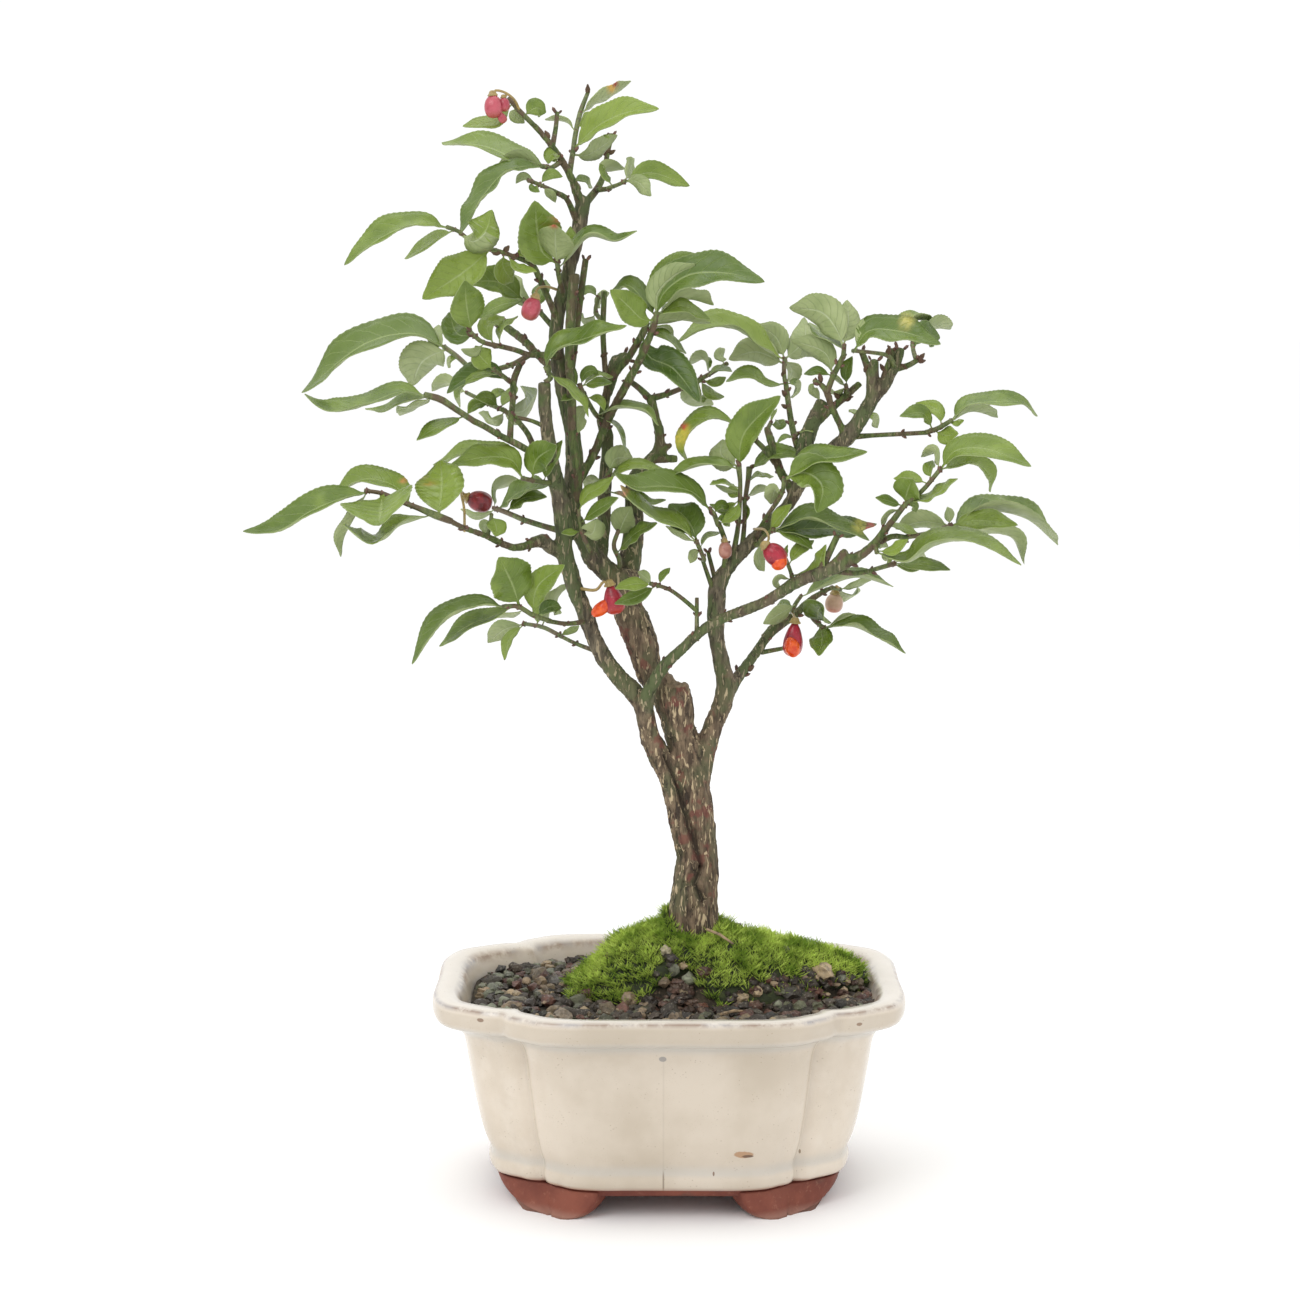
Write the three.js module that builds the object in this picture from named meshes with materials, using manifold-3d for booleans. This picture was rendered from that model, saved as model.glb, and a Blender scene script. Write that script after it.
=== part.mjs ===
// A dwarf burning bush (Euonymus alatus 'Compactus') kept as a bonsai in a cream glazed pot.
// Millimetres, +Z up. The plan is laid out round the middle of the pot on the ground,
// +X to the right and -Y to the front, and the whole is moved at the end so that the
// middle of its bounding box stands on the origin.
import * as THREE from 'three';
import { mergeVertices } from 'three/addons/utils/BufferGeometryUtils.js';
import Module from 'manifold-3d';

const wasm = await Module();
wasm.setup();

// Clear space kept between pieces that touch on the real object
const GAP = 0.3;

// Pot
const RIM_HALF_LENGTH = 81;
const RIM_HALF_DEPTH = 66;
const RIM_TOP = 72.7;
const FOOT_HEIGHT = 7.5;
const FLOOR_THICKNESS = 5.5;
const DRAIN_RADIUS = 8;
const DRAIN_OFFSET = 28;
const FOOT_WALL = 10;
// Quarter of the rim outline as parts of its half length and half depth
const QUARTER = [[0, 1], [0.42, 1], [0.55, 0.96], [0.63, 0.88], [0.7, 0.8], [0.84, 0.71],
  [0.95, 0.6], [1, 0.38], [1, 0]];
// Half length of the pot's outside and inside at heights going up
const POT_OUTSIDE = [[56.5, FOOT_HEIGHT], [58.8, 10.3], [61.4, 10.9], [62.2, 13], [61.8, 17.2],
  [64.4, 24.5], [67, 37], [69.2, 50], [70.8, 58], [73.4, 62], [79.4, 64.4], [RIM_HALF_LENGTH, 67.4],
  [80.8, 71.4], [79, RIM_TOP]];
const POT_INSIDE = [[72.2, RIM_TOP], [70, 67.5], [65.4, 50], [61.6, 30], [57.4, 16],
  [52, FOOT_HEIGHT + FLOOR_THICKNESS]];

// Drainage screens, thin plastic mesh over each drain hole
const SCREEN_SIZE = 24;
const SCREEN_THICKNESS = 1;
const SCREEN_CELLS = 2;
const SCREEN_BAR = 1.6;

// Soil, its stones and the moss mound
const SOIL_LEVEL = 65.5;
const SOIL_UNDER_MOSS = 0.72;
const SOIL_CLEAR = 0.5;
const SOIL_EDGE = 68.9;
// Rings of the soil's surface as parts of its edge
const SOIL_RINGS = [0.8, 0.62, 0.46, 0.3, 0];
const STONES = 18;
const MOSS_CENTRE = [17, 4];
const MOSS_REACH = [54.5, 26];
const STONE_CLEAR = 1.12;
const MOSS_EDGE = 68;
// Height of the mound's ridge from left to right
const MOSS_RIDGE = [[-40, 68.5], [-31, 74], [-24, 80], [-17, 87], [-8, 90.5], [1, 95], [16, 93], [24, 89],
  [34, 87.5], [46, 84.3], [60, 80.5], [68, 75.5], [73, 69]];

// Crown. Points are given as seen from the front on the upright plane through the trunk,
// with a depth beside them, and are moved along the line of sight from this eye point.
const EYE = new THREE.Vector3(-6.5, -1000, 319.5);
// Far side of the crown reaches out by this much more than the depths say
const BACK_REACH = 1.45;
const TRUNK_DEPTH = 4;
// Limbs written with this many points or more keep every second one
const LONG_LIMB = 6;

// Leaf blades
const LEAF_THICKNESS = 0.62;
const LEAF_WIDTH_PART = 0.36;
const WIDTH_GAIN = 1.08;
// A leaf or stem drawn to start further off than this is drawn back to what it grows from
const FOOT_GAP = 0.3;
const SHORT_STALK = 3;
// A leaf's line is rounded where it turns by more than this
const SHARP_TURN = THREE.MathUtils.degToRad(55);
// Leaves that share a place on the stem start this much further back, one after another
const FOOT_SHIFT = 0.04;
// Stems run on this far past their last leaves
const STEM_TIP = 0.6;
const LEAF_FOLD = THREE.MathUtils.degToRad(24);
const TIP_DEPTH_POWER = 1.3;
// Shortest blade that is modelled, lengths from which a blade has a third and a fourth row,
// and the length from which it is folded
const SMALLEST_BLADE = 11;
const SHAPED_BLADES = [16, 60];
const FOLDED_BLADE = 30;
const STEM_SIDES = 3;

const COLOURS = {
  glaze: { color: 0xe3dccb, roughness: 0.32, metalness: 0 },
  soil: { color: 0x3b2c24, roughness: 0.95, metalness: 0 },
  moss: { color: 0x6f9a2c, roughness: 0.95, metalness: 0 },
  bark: { color: 0x5c4e38, roughness: 0.9, metalness: 0 },
  leaf: { color: 0x6c9432, roughness: 0.5, metalness: 0 },
  capsule: { color: 0xb3243c, roughness: 0.35, metalness: 0 },
  aril: { color: 0xe2461f, roughness: 0.3, metalness: 0 },
  screen: { color: 0x1f2a24, roughness: 0.6, metalness: 0 },
};

// Woody limbs: name, number of sides, then x, z, depth and radius of each point in turn
const WOOD = [
  ['trunk', 9, [8.7, 56, 0, 11.5, 8.7, 70, 0, 10.6, 8.7, 80, 0, 9.4, 8.7, 90, 0, 8.8, 8.8, 100, 0, 8.4,
    9.5, 108, 0, 7.8, 10.1, 115, 0, 7.2, 9.9, 120, 0, 6.8, 9.6, 125, 0, 6.6, 9.2, 130, 0, 6.5,
    8.6, 135, 0, 6.2, 8.3, 140, 0, 6, 7.4, 147, 1, 6, 5.4, 154, 2, 5.7, 3.7, 160, 3, 5.4,
    2.2, 165, 3, 5.6, 0.5, 170, 3, 5.5, -3, 176, 3, 5.2, -6.5, 180, 3, 5, -8, 185, 3, 5,
    -9.2, 190, 3, 5.5, -11, 195, 3, 5.7, -13, 200, 3, 5.4, -14.9, 205, 3, 5.2, -16.5, 211, 3, 4.8,
    -18, 215, 3, 4]],
  ['left stem', 7, [8.4, 102, -1, 5, 8, 115, -1, 5, 6.8, 120, -1.5, 5, 5.4, 125, -2, 4.9,
    4.6, 130, -2, 4.8, 3.4, 135, -2, 4.7, 2, 140, -2, 4.5, 0, 145, -2, 4.3, -3, 150, -2, 4.1,
    -5.5, 155, -2, 3.7, -7.2, 160, -3, 3.4, -8.2, 166, -4, 3.2, -10, 170, -4, 3.4, -13, 174, -4, 3.4,
    -17, 178, -4, 3.2, -21, 183, -4, 3, -24.5, 189, -4, 2.9, -27, 195, -4, 2.9, -29, 201, -4, 2.9,
    -32, 208, -4, 2.9, -34, 215, -4, 2.8, -36, 222, -4, 2.9, -36, 232, -4, 3.4, -36.8, 237, -4, 3.3,
    -38, 243, -5, 3, -40, 252, -7, 2.6, -41.5, 262, -9, 2.4, -42.5, 272, -10, 2.3, -42.5, 280, -11, 2.2]],
  ['leader', 6, [-34, 229, -2, 2.8, -34, 236, 0, 3.4, -33, 243, 2, 3.3, -32.5, 253, 3, 3,
    -33, 262, 4, 2.8, -35, 272, 5, 2.7, -37, 282, 5, 2.6, -38.5, 292, 5, 2.6, -38, 302, 5, 2.5,
    -36, 311, 5, 2.4, -33.5, 320, 5, 2.4, -31.5, 328, 6, 2.4, -30, 336, 6, 2.6, -28.8, 343, 6, 2.6]],
  ['winged stem', 4, [-31, 240, -1, 1.7, -31.3, 248, -3, 1.7, -33, 262, -3.5, 1.7, -33.5, 275, -3, 1.7,
    -34, 288, -2.5, 1.7, -33.6, 300, -2.5, 1.8, -32.8, 310, -2.5, 1.9, -32, 317, -2.5, 1.9]],
  ['slim cut stem', 4, [-34.5, 276, 4, 1.2, -32.5, 290, 2.5, 1.2, -30.3, 308, 2, 1.2, -28.3, 322, 2, 1.1]],
  ['middle to left', 6, [-17, 212, 3, 4.2, -22, 216, 2, 3.7, -26, 220, 1, 3.6, -29, 226, 0, 3.3,
    -33.5, 234, -1, 3.2]],
  ['middle back', 5, [-15, 209, 4, 4.3, -13.5, 218, 8, 3.8, -12.5, 225, 9, 3.8, -12, 240, 11, 3,
    -12, 247, 12, 2.6, -8, 252, 13, 2.2, -4, 256, 14, 2.1, -3, 262, 14, 1.8, -4.5, 268, 14, 1.6,
    -6.5, 275, 14, 1.7]],
  ['middle back left fork', 4, [-6, 274, 14, 1.4, -10, 278, 16, 1.1, -14, 281, 18, 0.9]],
  ['middle back right fork', 4, [-6.5, 274.5, 14, 1.3, -1, 276, 15, 1, 3, 277.5, 17, 0.9,
    8, 279.5, 19, 0.9, 11, 281, 20, 0.8]],
  ['knob a', 4, [-5, 255, 14, 1.7, 1, 259, 13, 1]],
  ['knob b', 4, [-6, 254, 13, 1.7, 3, 254, 12, 1.4]],
  ['dark stem', 4, [-24, 218, 3, 2.6, -22.5, 230, 8, 2.4, -22, 245, 10, 2.3, -21, 260, 10, 2.3,
    -23, 268, 9, 2.2]],
  ['green branch', 4, [-31.5, 246, 3, 1.7, -26, 255, 6, 1.6, -22, 265, 6, 1.6, -17, 275, 4, 1.6,
    -12, 284, 0, 1.5, -8.5, 291, -3, 1.4, -6, 297, -5, 1.3, -4.5, 301, -6, 1.2]],
  ['green branch behind', 4, [-23, 266, 9, 1.6, -20, 281, 10, 1.5, -15, 287, 10, 1.4, -11, 293, 9, 1.4,
    -8, 299, 8, 1.3]],
  ['brown stump', 4, [-21, 276, 10, 1.8, -18, 287, 12, 2.6, -14, 289, 13, 2]],
  ['upright twig', 4, [-21.5, 280, 10, 1, -22.5, 297, 10, 1, -22, 311, 10, 1]],
  ['front stem', 5, [-8, 165, -4, 2.6, -7, 173, -7, 2.4, -4.5, 178, -9, 2.2, -1, 183, -10, 2.1,
    4, 187.5, -11, 1.9, 9, 192.5, -11, 1.9, 14, 196.5, -11, 1.9, 20, 199.5, -11, 1.9, 27, 202, -12, 1.9,
    34, 205, -14, 1.9, 40, 209, -16, 2.2, 45, 212, -17, 2.2, 52, 214.5, -19, 2.4, 58, 217, -21, 2.4,
    63, 219, -22, 2, 70, 224, -25, 1.5, 74, 229, -27, 1.4, 78, 234, -29, 1.2]],
  ['cut stub a', 4, [52, 214.5, -19, 1.4, 55, 221, -20, 1.2, 58, 227.5, -21, 1.1]],
  ['cut stub b', 4, [55, 216, -20, 1.6, 61, 222.5, -23, 1.3]],
  ['peg', 4, [9.7, 191, -11, 0.9, 9.7, 200, -11.5, 0.75, 9.7, 206, -12, 0.7]],
  ['peg twig', 4, [9.6, 201.5, -12, 0.8, 5, 205.5, -14, 0.75, 0, 209, -17, 0.7, -4, 210.3, -20, 0.7]],
  ['right stem', 6, [10, 140, 1, 4, 12.5, 152, 3, 3.8, 15, 160, 4, 3.6, 17, 165, 4, 3.4,
    19, 170, 4, 3.4, 20, 175, 4, 3.4, 18.5, 182, 4, 3, 17.5, 187, 4, 2.8, 16.5, 193, 4, 2.9,
    16.3, 200, 4, 3.1, 16.5, 206, 4, 3.2, 17, 211, 4, 3, 20, 216, 4, 2.6, 24, 221, 4, 2.6,
    29, 226, 4, 2.4, 34, 231, 4, 2.3, 39, 236, 4, 2.2, 43, 241, 4, 2.2, 45.5, 248, 4, 2.4,
    46, 255, 4, 2.9, 47.5, 262, 5, 2.8, 50, 268, 6, 2.6, 52.5, 274, 7, 2.1]],
  ['right side stem', 4, [20, 172, 4, 2.6, 23, 177, 6, 2.2, 25, 180, 7, 2, 28, 184, 8, 1.8,
    31, 188, 10, 1.8, 33.5, 192, 11, 1.8, 36, 195, 12, 1.9, 40, 197.5, 14, 1.6, 44, 200.5, 16, 1.5,
    48, 204.5, 18, 1.3, 53, 208, 20, 1.1, 57, 210, 22, 0.9]],
  ['right stub', 4, [32, 187, 10, 0.9, 40, 188.5, 12, 0.7]],
  ['right upper stem', 5, [45, 245, 4, 2.2, 50, 253, 1, 2.2, 56, 257.5, -3, 2.4, 60, 260, -5, 2.8,
    64, 265, -7, 2.8, 67, 270, -8, 2.6, 70, 275, -9, 2.4, 73, 278.5, -9, 2.3, 75, 282, -9, 2.3,
    77.5, 287, -9, 2.2, 79, 292, -9, 1.8]],
  ['right upper fork', 4, [61, 260.5, -5, 1.6, 58, 267, -7, 1.3, 55.5, 272, -9, 1.3, 54, 277, -10, 1.3,
    51.5, 280, -10, 1.1]],
  ['right upper fork twig', 4, [54, 276.5, -10, 1.1, 56, 282, -11, 1, 58, 286, -13, 1, 60, 290, -14, 0.9]],
  ['thick cut stub', 4, [69.5, 275, -9, 2.2, 69.5, 282, -11, 2.2, 70.2, 288, -12, 1.7]],
  ['stub branch', 4, [69, 281, -10, 1.3, 67, 287.5, -6, 1.2, 65.5, 291, -5, 1]],
  ['budded stem', 4, [50, 266, 6, 1.8, 56, 271.5, 5, 1.4, 61, 276, 4, 1.4, 65.5, 280, 3, 1.2]],
  ['upright side twig', 4, [72.5, 278, -9, 1.3, 74, 284, -10, 1, 75.5, 288, -11, 1, 76, 291.5, -12, 1]],
  ['short side twig', 4, [77, 284.5, -9, 1.2, 82, 286, -10, 1, 85, 287.8, -11, 0.9]],
  ['level twig', 4, [63, 261.5, -6, 1.1, 70, 262, -9, 0.8, 80, 262.5, -16, 0.8, 89, 263, -24, 0.8]],
  ['inner upright twig', 4, [45.5, 254, 5, 1.4, 43.5, 260, 8, 1.2, 42, 266, 12, 1.1, 41, 272, 15, 1,
    40.3, 277, 18, 1, 39.8, 281, 20, 0.8]],
  ['inner stub a', 4, [43, 242, 4, 1.7, 38, 250, 7, 1.6, 36, 256.5, 9, 1.6, 33.5, 265, 11, 1.3]],
  ['inner stub b', 4, [36.5, 252.5, 8, 1.1, 33.5, 256.5, 9, 1, 29.5, 260.5, 11, 0.9]],
  ['sprig a', 4, [21.5, 217, 4, 1.2, 24, 232, 0, 0.8, 24.4, 240, -3, 0.8]],
  ['sprig b', 4, [25, 221, 3, 1, 26, 232, 5, 0.8, 26, 240, 8, 0.8]],
  ['sprig c', 4, [19, 214.5, 4, 1.1, 19.5, 225, -1, 0.9, 17, 232, -5, 0.9]],
  ['sprig d', 4, [29.5, 226, 3, 1, 33, 233, -3, 0.8, 37, 239, -9, 0.8]],
  ['spike a', 4, [16.3, 211, 4, 0.9, 13.5, 222, 3, 0.7]],
  ['spike b', 4, [15.5, 208, 3, 0.9, 11.5, 219.5, 0, 0.7]],
  ['right low twig', 4, [57, 215.5, -20, 1.2, 64, 214.5, -16, 0.9, 70, 215.5, -12, 0.8]],
  ['right middle twig', 4, [71, 224.5, -25, 1.2, 77, 227.3, -22, 1, 82, 226.8, -19, 0.95]],
  ['left long branch', 4, [-35, 221.5, -4, 2.6, -40, 223, -6, 2.4, -43.5, 226, -8, 2.6,
    -48, 224.5, -12, 1.6, -53, 223.3, -17, 1.4, -58, 225, -22, 1.3, -63, 227.5, -27, 1.2,
    -70, 230, -33, 1.1, -76, 233, -39, 1.1]],
  ['left back branch', 4, [-34.5, 228.5, -1, 1.3, -42, 230.5, 4, 1, -50, 233, 12, 1]],
  ['left low front branch', 4, [-27.5, 198, -4, 1, -35, 197, -12, 0.8, -42, 198, -20, 0.8]],
  ['left low back branch', 4, [-24, 187, -3, 0.9, -32, 190, 6, 0.7, -38, 193, 14, 0.7]],
  ['left middle branch', 4, [-39.5, 251.5, -7, 1.5, -46, 255.5, -12, 1.2, -52, 259, -17, 1.2,
    -58, 262, -21, 1.1, -63, 265, -25, 1.1, -67, 267, -27.5, 1.1]],
  ['riser', 4, [-54.5, 260, -18, 1.2, -54, 268, -14, 1, -53.3, 275, -10, 1.1, -53, 281, -6, 1.2,
    -51, 286, -2, 1.1]],
  ['left diagonal twig', 4, [-45.5, 255, -11, 1.1, -48, 262, -7, 1, -52.5, 267.5, -1, 0.9,
    -57, 271, 4, 0.8]],
  ['left thin twig', 4, [-41.5, 264.5, -9, 0.9, -47, 267, -12, 0.7, -53, 268.3, -14, 0.7]],
  ['upper left front twig', 4, [-37.5, 289, 4, 1.4, -44, 289.5, -2, 1.1, -48, 289.5, -6, 1,
    -52, 291, -10, 0.9, -58, 292.5, -16, 0.9]],
  ['upper left thick twig', 4, [-37.5, 284, 6, 1.6, -44, 288.5, 9, 1.5, -49, 294, 13, 1.5,
    -53, 297, 17, 1.5, -57, 300, 20, 1.4]],
  ['upper left back twig', 4, [-46, 290.5, 10, 1.1, -54, 286, 16, 0.9, -62, 284.3, 21, 0.9,
    -69.5, 285.5, 25, 0.9]],
  ['high left twig', 4, [-37.5, 299, 5, 1.3, -40, 306, 2, 1.1, -44, 315, -2, 1.1, -46.5, 320, -5, 1.1,
    -52, 322.5, -10, 0.8]],
  ['high left back twig', 4, [-37, 296, 5, 1.1, -44, 304, 9, 0.9]],
  ['top left shoot', 4, [-30, 340, 6, 1.8, -33, 349, 3, 1.4, -37, 356, 0, 1.3, -41, 361.5, -3, 1.2,
    -46, 367, -6, 1.1]],
  ['top cut shoot', 4, [-39.5, 359.5, -2, 1, -38.3, 366, 2, 0.8, -37.8, 371, 4, 0.8]],
  ['top middle shoot', 4, [-33.8, 350.5, 2, 1.1, -32.5, 358, 8, 0.9]],
  ['top right shoot', 4, [-28, 341, 6, 1.4, -24, 346, 10, 1.2, -22, 351, 14, 0.9, -21, 357, 18, 0.9,
    -19.5, 363.5, 22, 0.9]],
  ['top right twig', 4, [-25, 345, 9, 1, -20, 345.5, 2, 0.8]],
  ['top low left twig', 4, [-31.5, 335, 5, 1.2, -35, 342.5, 0, 0.9, -38, 344, -4, 0.9]],
];

// Leafy shoots: name, green stems as above, then for each leaf the x, z points from its foot to its
// tip, its width as seen, 1 if its upper side shows or -1 for its underside, and how much deeper
// its tip lies than its foot
const SHOOTS = [
  ['left_long_tip', [
    [-75, 232.6, -38.2, 1.2, -80, 234.5, -43, 1.4, -86, 237, -46, 1, -92, 239.3, -49, 0.9,
      -98, 242, -52, 0.8, -104, 243, -54, 0.7],
  ], [
    [[-103, 242.5, -112, 240.5, -123, 236, -134, 229.5, -146.5, 229.2], 8, 1, -10],
    [[-88, 238.5, -92, 246.5, -104, 247, -116, 242], 7, 1, 16],
    [[-98, 245.5, -98.6, 240, -99.8, 231.2], 25, 1, -24],
    [[-104, 242, -108, 234.5, -112, 227, -113.2, 220.3], 3, -1, 12],
    [[-82, 233.5, -88, 232.8, -93, 231, -98, 226.5, -104, 225.5, -112, 231.5], 3.2, 1, -22],
    [[-79, 235, -78, 244, -78.5, 253.5], 17, 1, 12],
  ]],
  ['left_middle_tip', [
    [-66, 266.4, -27, 1.1, -73, 271, -32, 1.1, -78, 274.3, -35, 1.3, -83, 275.7, -38, 1.1],
  ], [
    [[-82.5, 275.5, -91, 277, -104, 272.5, -112, 270.5, -118, 271.3, -124.5, 276.3], 5, 1, -12],
    [[-82, 275.5, -92, 273, -98, 270.5, -104, 271.3], 3, 1, 14],
    [[-81.5, 275, -87, 271.5, -92, 269], 3, -1, 26],
    [[-70, 268.8, -78, 265.5, -86.5, 260.5], 4.5, 1, -14],
  ]],
  ['left_inner_front', [
    [-38.5, 245.5, -5, 1, -44, 246, -11, 0.9, -50, 247.3, -17, 0.8],
  ], [
    [[-50, 247.3, -56, 254.5, -68, 256.5, -81, 252], 5.5, 1, 14],
    [[-50.5, 247.3, -54, 253.5, -63, 254.5, -75, 251.8], 8, 1, -13],
    [[-47, 246.8, -45.5, 253.5, -38.5, 258.5], 10, 1, -10],
    [[-43, 246.3, -40.5, 254, -36.5, 260.5], 5, 1, 3],
  ]],
  ['left_inner_back', [
    [-49, 232.6, 11, 1, -57, 236, 20, 0.9, -60, 237, 23, 0.8],
  ], [
    [[-59, 236.6, -52, 242, -41, 245.3], 5.5, 1, -14],
    [[-59.5, 236.5, -66, 234.3, -71.5, 236.8], 2.5, -1, 5],
    [[-56, 235.8, -50, 240.5, -42, 241], 5, 1, -8],
    [[-60, 237, -59, 244, -50, 246], 3.5, -1, 12],
  ]],
  ['left_low_front', [
    [-41, 198, -19, 0.9, -47, 200, -26, 0.9, -52, 203, -30, 0.9, -57, 203, -33, 0.7],
  ], [
    [[-51.5, 203, -54, 210.5, -58.5, 220], 16, 1, -8],
    [[-47, 200, -45.5, 209.5, -36, 217.5], 9, 1, -8],
    [[-46, 199.5, -41, 203, -37, 202.5], 5, 1, 9],
    [[-56, 203, -65, 203.5, -77, 198.5, -89, 183], 5.5, 1, -14],
    [[-54, 203, -61, 199.8, -70, 196, -79.5, 189.2], 6, 1, 8],
    [[-50, 202, -54, 200.3, -61, 199.3], 2, -1, 14],
  ]],
  ['left_low_back', [
    [-37, 192.5, 13, 0.8, -44, 196, 22, 0.8, -50, 197, 27, 0.7],
  ], [
    [[-50, 197, -57, 195, -62.5, 190.5], 7, -1, 10],
    [[-50.5, 197, -55, 192, -57, 184.3], 3.5, 1, -4],
    [[-44, 196, -40, 205, -34.5, 211], 4, -1, 8],
    [[-38, 193.2, -34.5, 194, -31, 196.5], 2.5, 1, 5],
    [[-46, 196, -42, 203.5, -37, 201], 6, 1, 12],
  ]],
  ['front_peg_tip', [
    [-3, 210.2, -19, 0.8, -6, 210.8, -21, 0.7],
  ], [
    [[-5, 210.8, -12, 210.8, -18.5, 209.3], 4.5, 1, -8],
    [[-4, 210.5, -11, 206.5, -18.8, 204], 5, 1, -2],
    [[-5.5, 210.8, -8.5, 213.5, -10.5, 215], 4, -1, 9],
    [[-3.5, 210.5, -2, 214, 0.5, 216.5], 2.5, 1, 5],
  ]],
  ['middle_left_front', [
    [-27, 222, -4, 0.9, -30, 229, -8, 0.8, -31, 236, -10, 0.7],
  ], [
    [[-30, 228, -25.5, 226, -25, 233.5], 8, -1, -6],
    [[-30.3, 229, -33, 228.8, -37, 228.5], 2.5, 1, -4],
    [[-30.8, 232, -26, 235.5, -17.5, 240.7], 4.5, 1, -12],
    [[-31, 236, -29, 243, -24, 244, -19, 248], 5, 1, 4],
  ]],
  ['middle_high_left', [
    [-21, 243, 7, 0.8, -22, 247, 3, 0.7, -20, 250, 0, 0.7],
  ], [
    [[-21.5, 246, -16, 250.5, -8, 250.8, 0, 249.5], 3.5, 1, -8],
    [[-21, 249, -18.5, 254, -12.5, 254], 8, -1, 8],
    [[-22, 245.5, -26, 246.5, -29, 244.5], 3.5, -1, 8],
    [[-12, 240.5, -6, 239, -1, 240], 3, 1, -2],
  ]],
  ['centre_front_left', [
    [12.2, 219, -2, 0.8, 11, 222, -7, 0.8, 9.5, 225.5, -13, 0.8],
  ], [
    [[9.5, 225.5, 3, 231.5, -6, 234.5, -13, 240, -16.5, 245], 5, 1, -14],
    [[9.8, 225.5, 7, 232, 0, 238.5], 12, 1, 10],
    [[9.5, 225.5, 4, 227.5, -1, 231], 2, -1, 2],
    [[11, 222, 10.4, 223.4, 8.8, 221.4, 7.2, 218], 3.5, -1, -4],
    [[10.5, 223, 13, 227, 18, 229], 2, 1, 8],
  ]],
  ['centre_front_twig', [
    [17, 231, -5, 0.8, 15.5, 235, -8, 0.9, 14.3, 236.5, -9, 0.7],
  ], [
    [[14.3, 236.5, 8, 242.5, -2, 244.5, -12, 244.5, -18.5, 249], 8, 1, -18],
    [[15.5, 235, 17.5, 238, 21, 237.5], 3.5, 1, 7],
    [[16, 233.5, 19, 234.5, 21, 231], 3.5, 1, 3],
  ]],
  ['centre_sprig', [
    [24.4, 239, -3, 0.8, 24.5, 246, -5, 0.8, 24, 251, -7, 1.1],
  ], [
    [[24.5, 251.5, 25.5, 262, 38, 275.5], 12, 1, -14],
    [[23.5, 250.5, 18.5, 252, 12, 252, -1, 248], 3.5, 1, -3],
    [[23.5, 251, 18, 255.5, 18.5, 260.5], 10, -1, 12],
    [[24.4, 244, 19, 245.8, 14, 245.3], 1.6, 1, -9],
    [[24.4, 241, 21.5, 240.5, 22, 245.5], 4, 1, 6],
    [[24.3, 240, 19, 236.5, 14, 238.5], 3, 1, 5],
    [[24.4, 240, 22.5, 235, 18, 232], 4, 1, -5],
    [[24.4, 243, 20.5, 243, 16, 245], 1.8, -1, 4],
  ]],
  ['centre_sprig_right', [
    [26, 239, 8, 0.8, 27.2, 247, 11, 0.9, 27.6, 250.5, 12, 1.2],
  ], [
    [[28, 250.5, 36, 255.5, 46, 254.5], 5.5, 1, -10],
    [[26.3, 241, 29.5, 242.7, 34, 243.5], 3, -1, 8],
    [[27, 246, 30, 248.3, 36, 248], 1.8, 1, 5],
    [[26, 240, 26.8, 236, 26, 231.5], 2.5, 1, -4],
  ]],
  ['right_inner_leaves', [
    [36.5, 238.3, -8.5, 0.9, 39, 242.5, -13, 0.8, 39.5, 247, -16, 0.8],
  ], [
    [[39.5, 247, 47, 249, 52.5, 244.5, 51, 235.5], 15, 1, -12],
    [[38.5, 243, 36, 246, 35, 238.5], 6, -1, 9],
    [[39.5, 247, 49, 253.5, 58, 254.5, 68, 256.5], 7, 1, -6],
  ]],
  ['right_inner_low', [
    [30, 224, 1, 0.8, 33, 227.5, -4, 0.8, 36, 229.5, -8, 0.8],
  ], [
    [[34, 228.5, 38, 234, 42, 238.3], 4.5, 1, -8],
    [[36, 229.5, 46, 233.5, 56, 231.5, 69, 226], 5.5, 1, -12],
    [[36, 229.8, 52, 230, 62, 230, 71.5, 231.7], 9, 1, 10],
    [[36, 229.2, 44, 227.5, 49.5, 223], 4.5, 1, -3],
    [[31, 226, 31, 220, 33, 215.5], 4.5, 1, 8],
  ]],
  ['right_under_twig', [
    [47, 203.8, 18, 0.9, 50, 198.5, 14, 0.8, 53.5, 195.7, 10, 0.8],
  ], [
    [[51.5, 197.3, 51.5, 201, 53, 203.5], 11, 1, -9],
    [[54, 195.6, 63, 196.3, 71, 193, 82, 186.8], 4, 1, -12],
    [[54, 195.8, 62, 198, 72.5, 194], 4, -1, 7],
    [[51.5, 196.5, 53, 192, 52, 186], 8, 1, -12],
  ]],
  ['right_low_leaves', [
    [69, 215.3, -12.5, 0.8, 77.5, 217.8, -7, 0.9],
  ], [
    [[77.5, 218, 83, 221.3, 88.5, 220.3], 2.4, -1, 12],
    [[77.5, 217.8, 82, 216.3, 87, 216.3], 2.4, 1, 6],
    [[77.5, 218, 87, 217.5, 97, 215.8], 4.5, 1, -10],
    [[77, 217.9, 75, 222, 74.5, 219], 4, -1, 8],
  ]],
  ['right_low_long', [
    [71, 225, -25, 0.9, 71.5, 222, -29, 0.8],
  ], [
    [[71.5, 222.3, 77, 222.5, 82.3, 226.3], 4, 1, -8],
    [[71.5, 222, 82, 218.5, 92, 224.5, 104, 225.7, 121.5, 217.5], 5, 1, -18],
    [[71.3, 223, 72.5, 225.5, 75.5, 224], 2.6, -1, 6],
  ]],
  ['right_middle_leaves', [
    [81, 227, -19, 1, 88, 228, -16, 0.9, 97, 231, -11, 0.8],
  ], [
    [[97, 231, 88, 232.5, 78, 230], 7, -1, 16],
    [[87, 228, 81.5, 230, 75.5, 231.5], 2.8, 1, -7],
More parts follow.
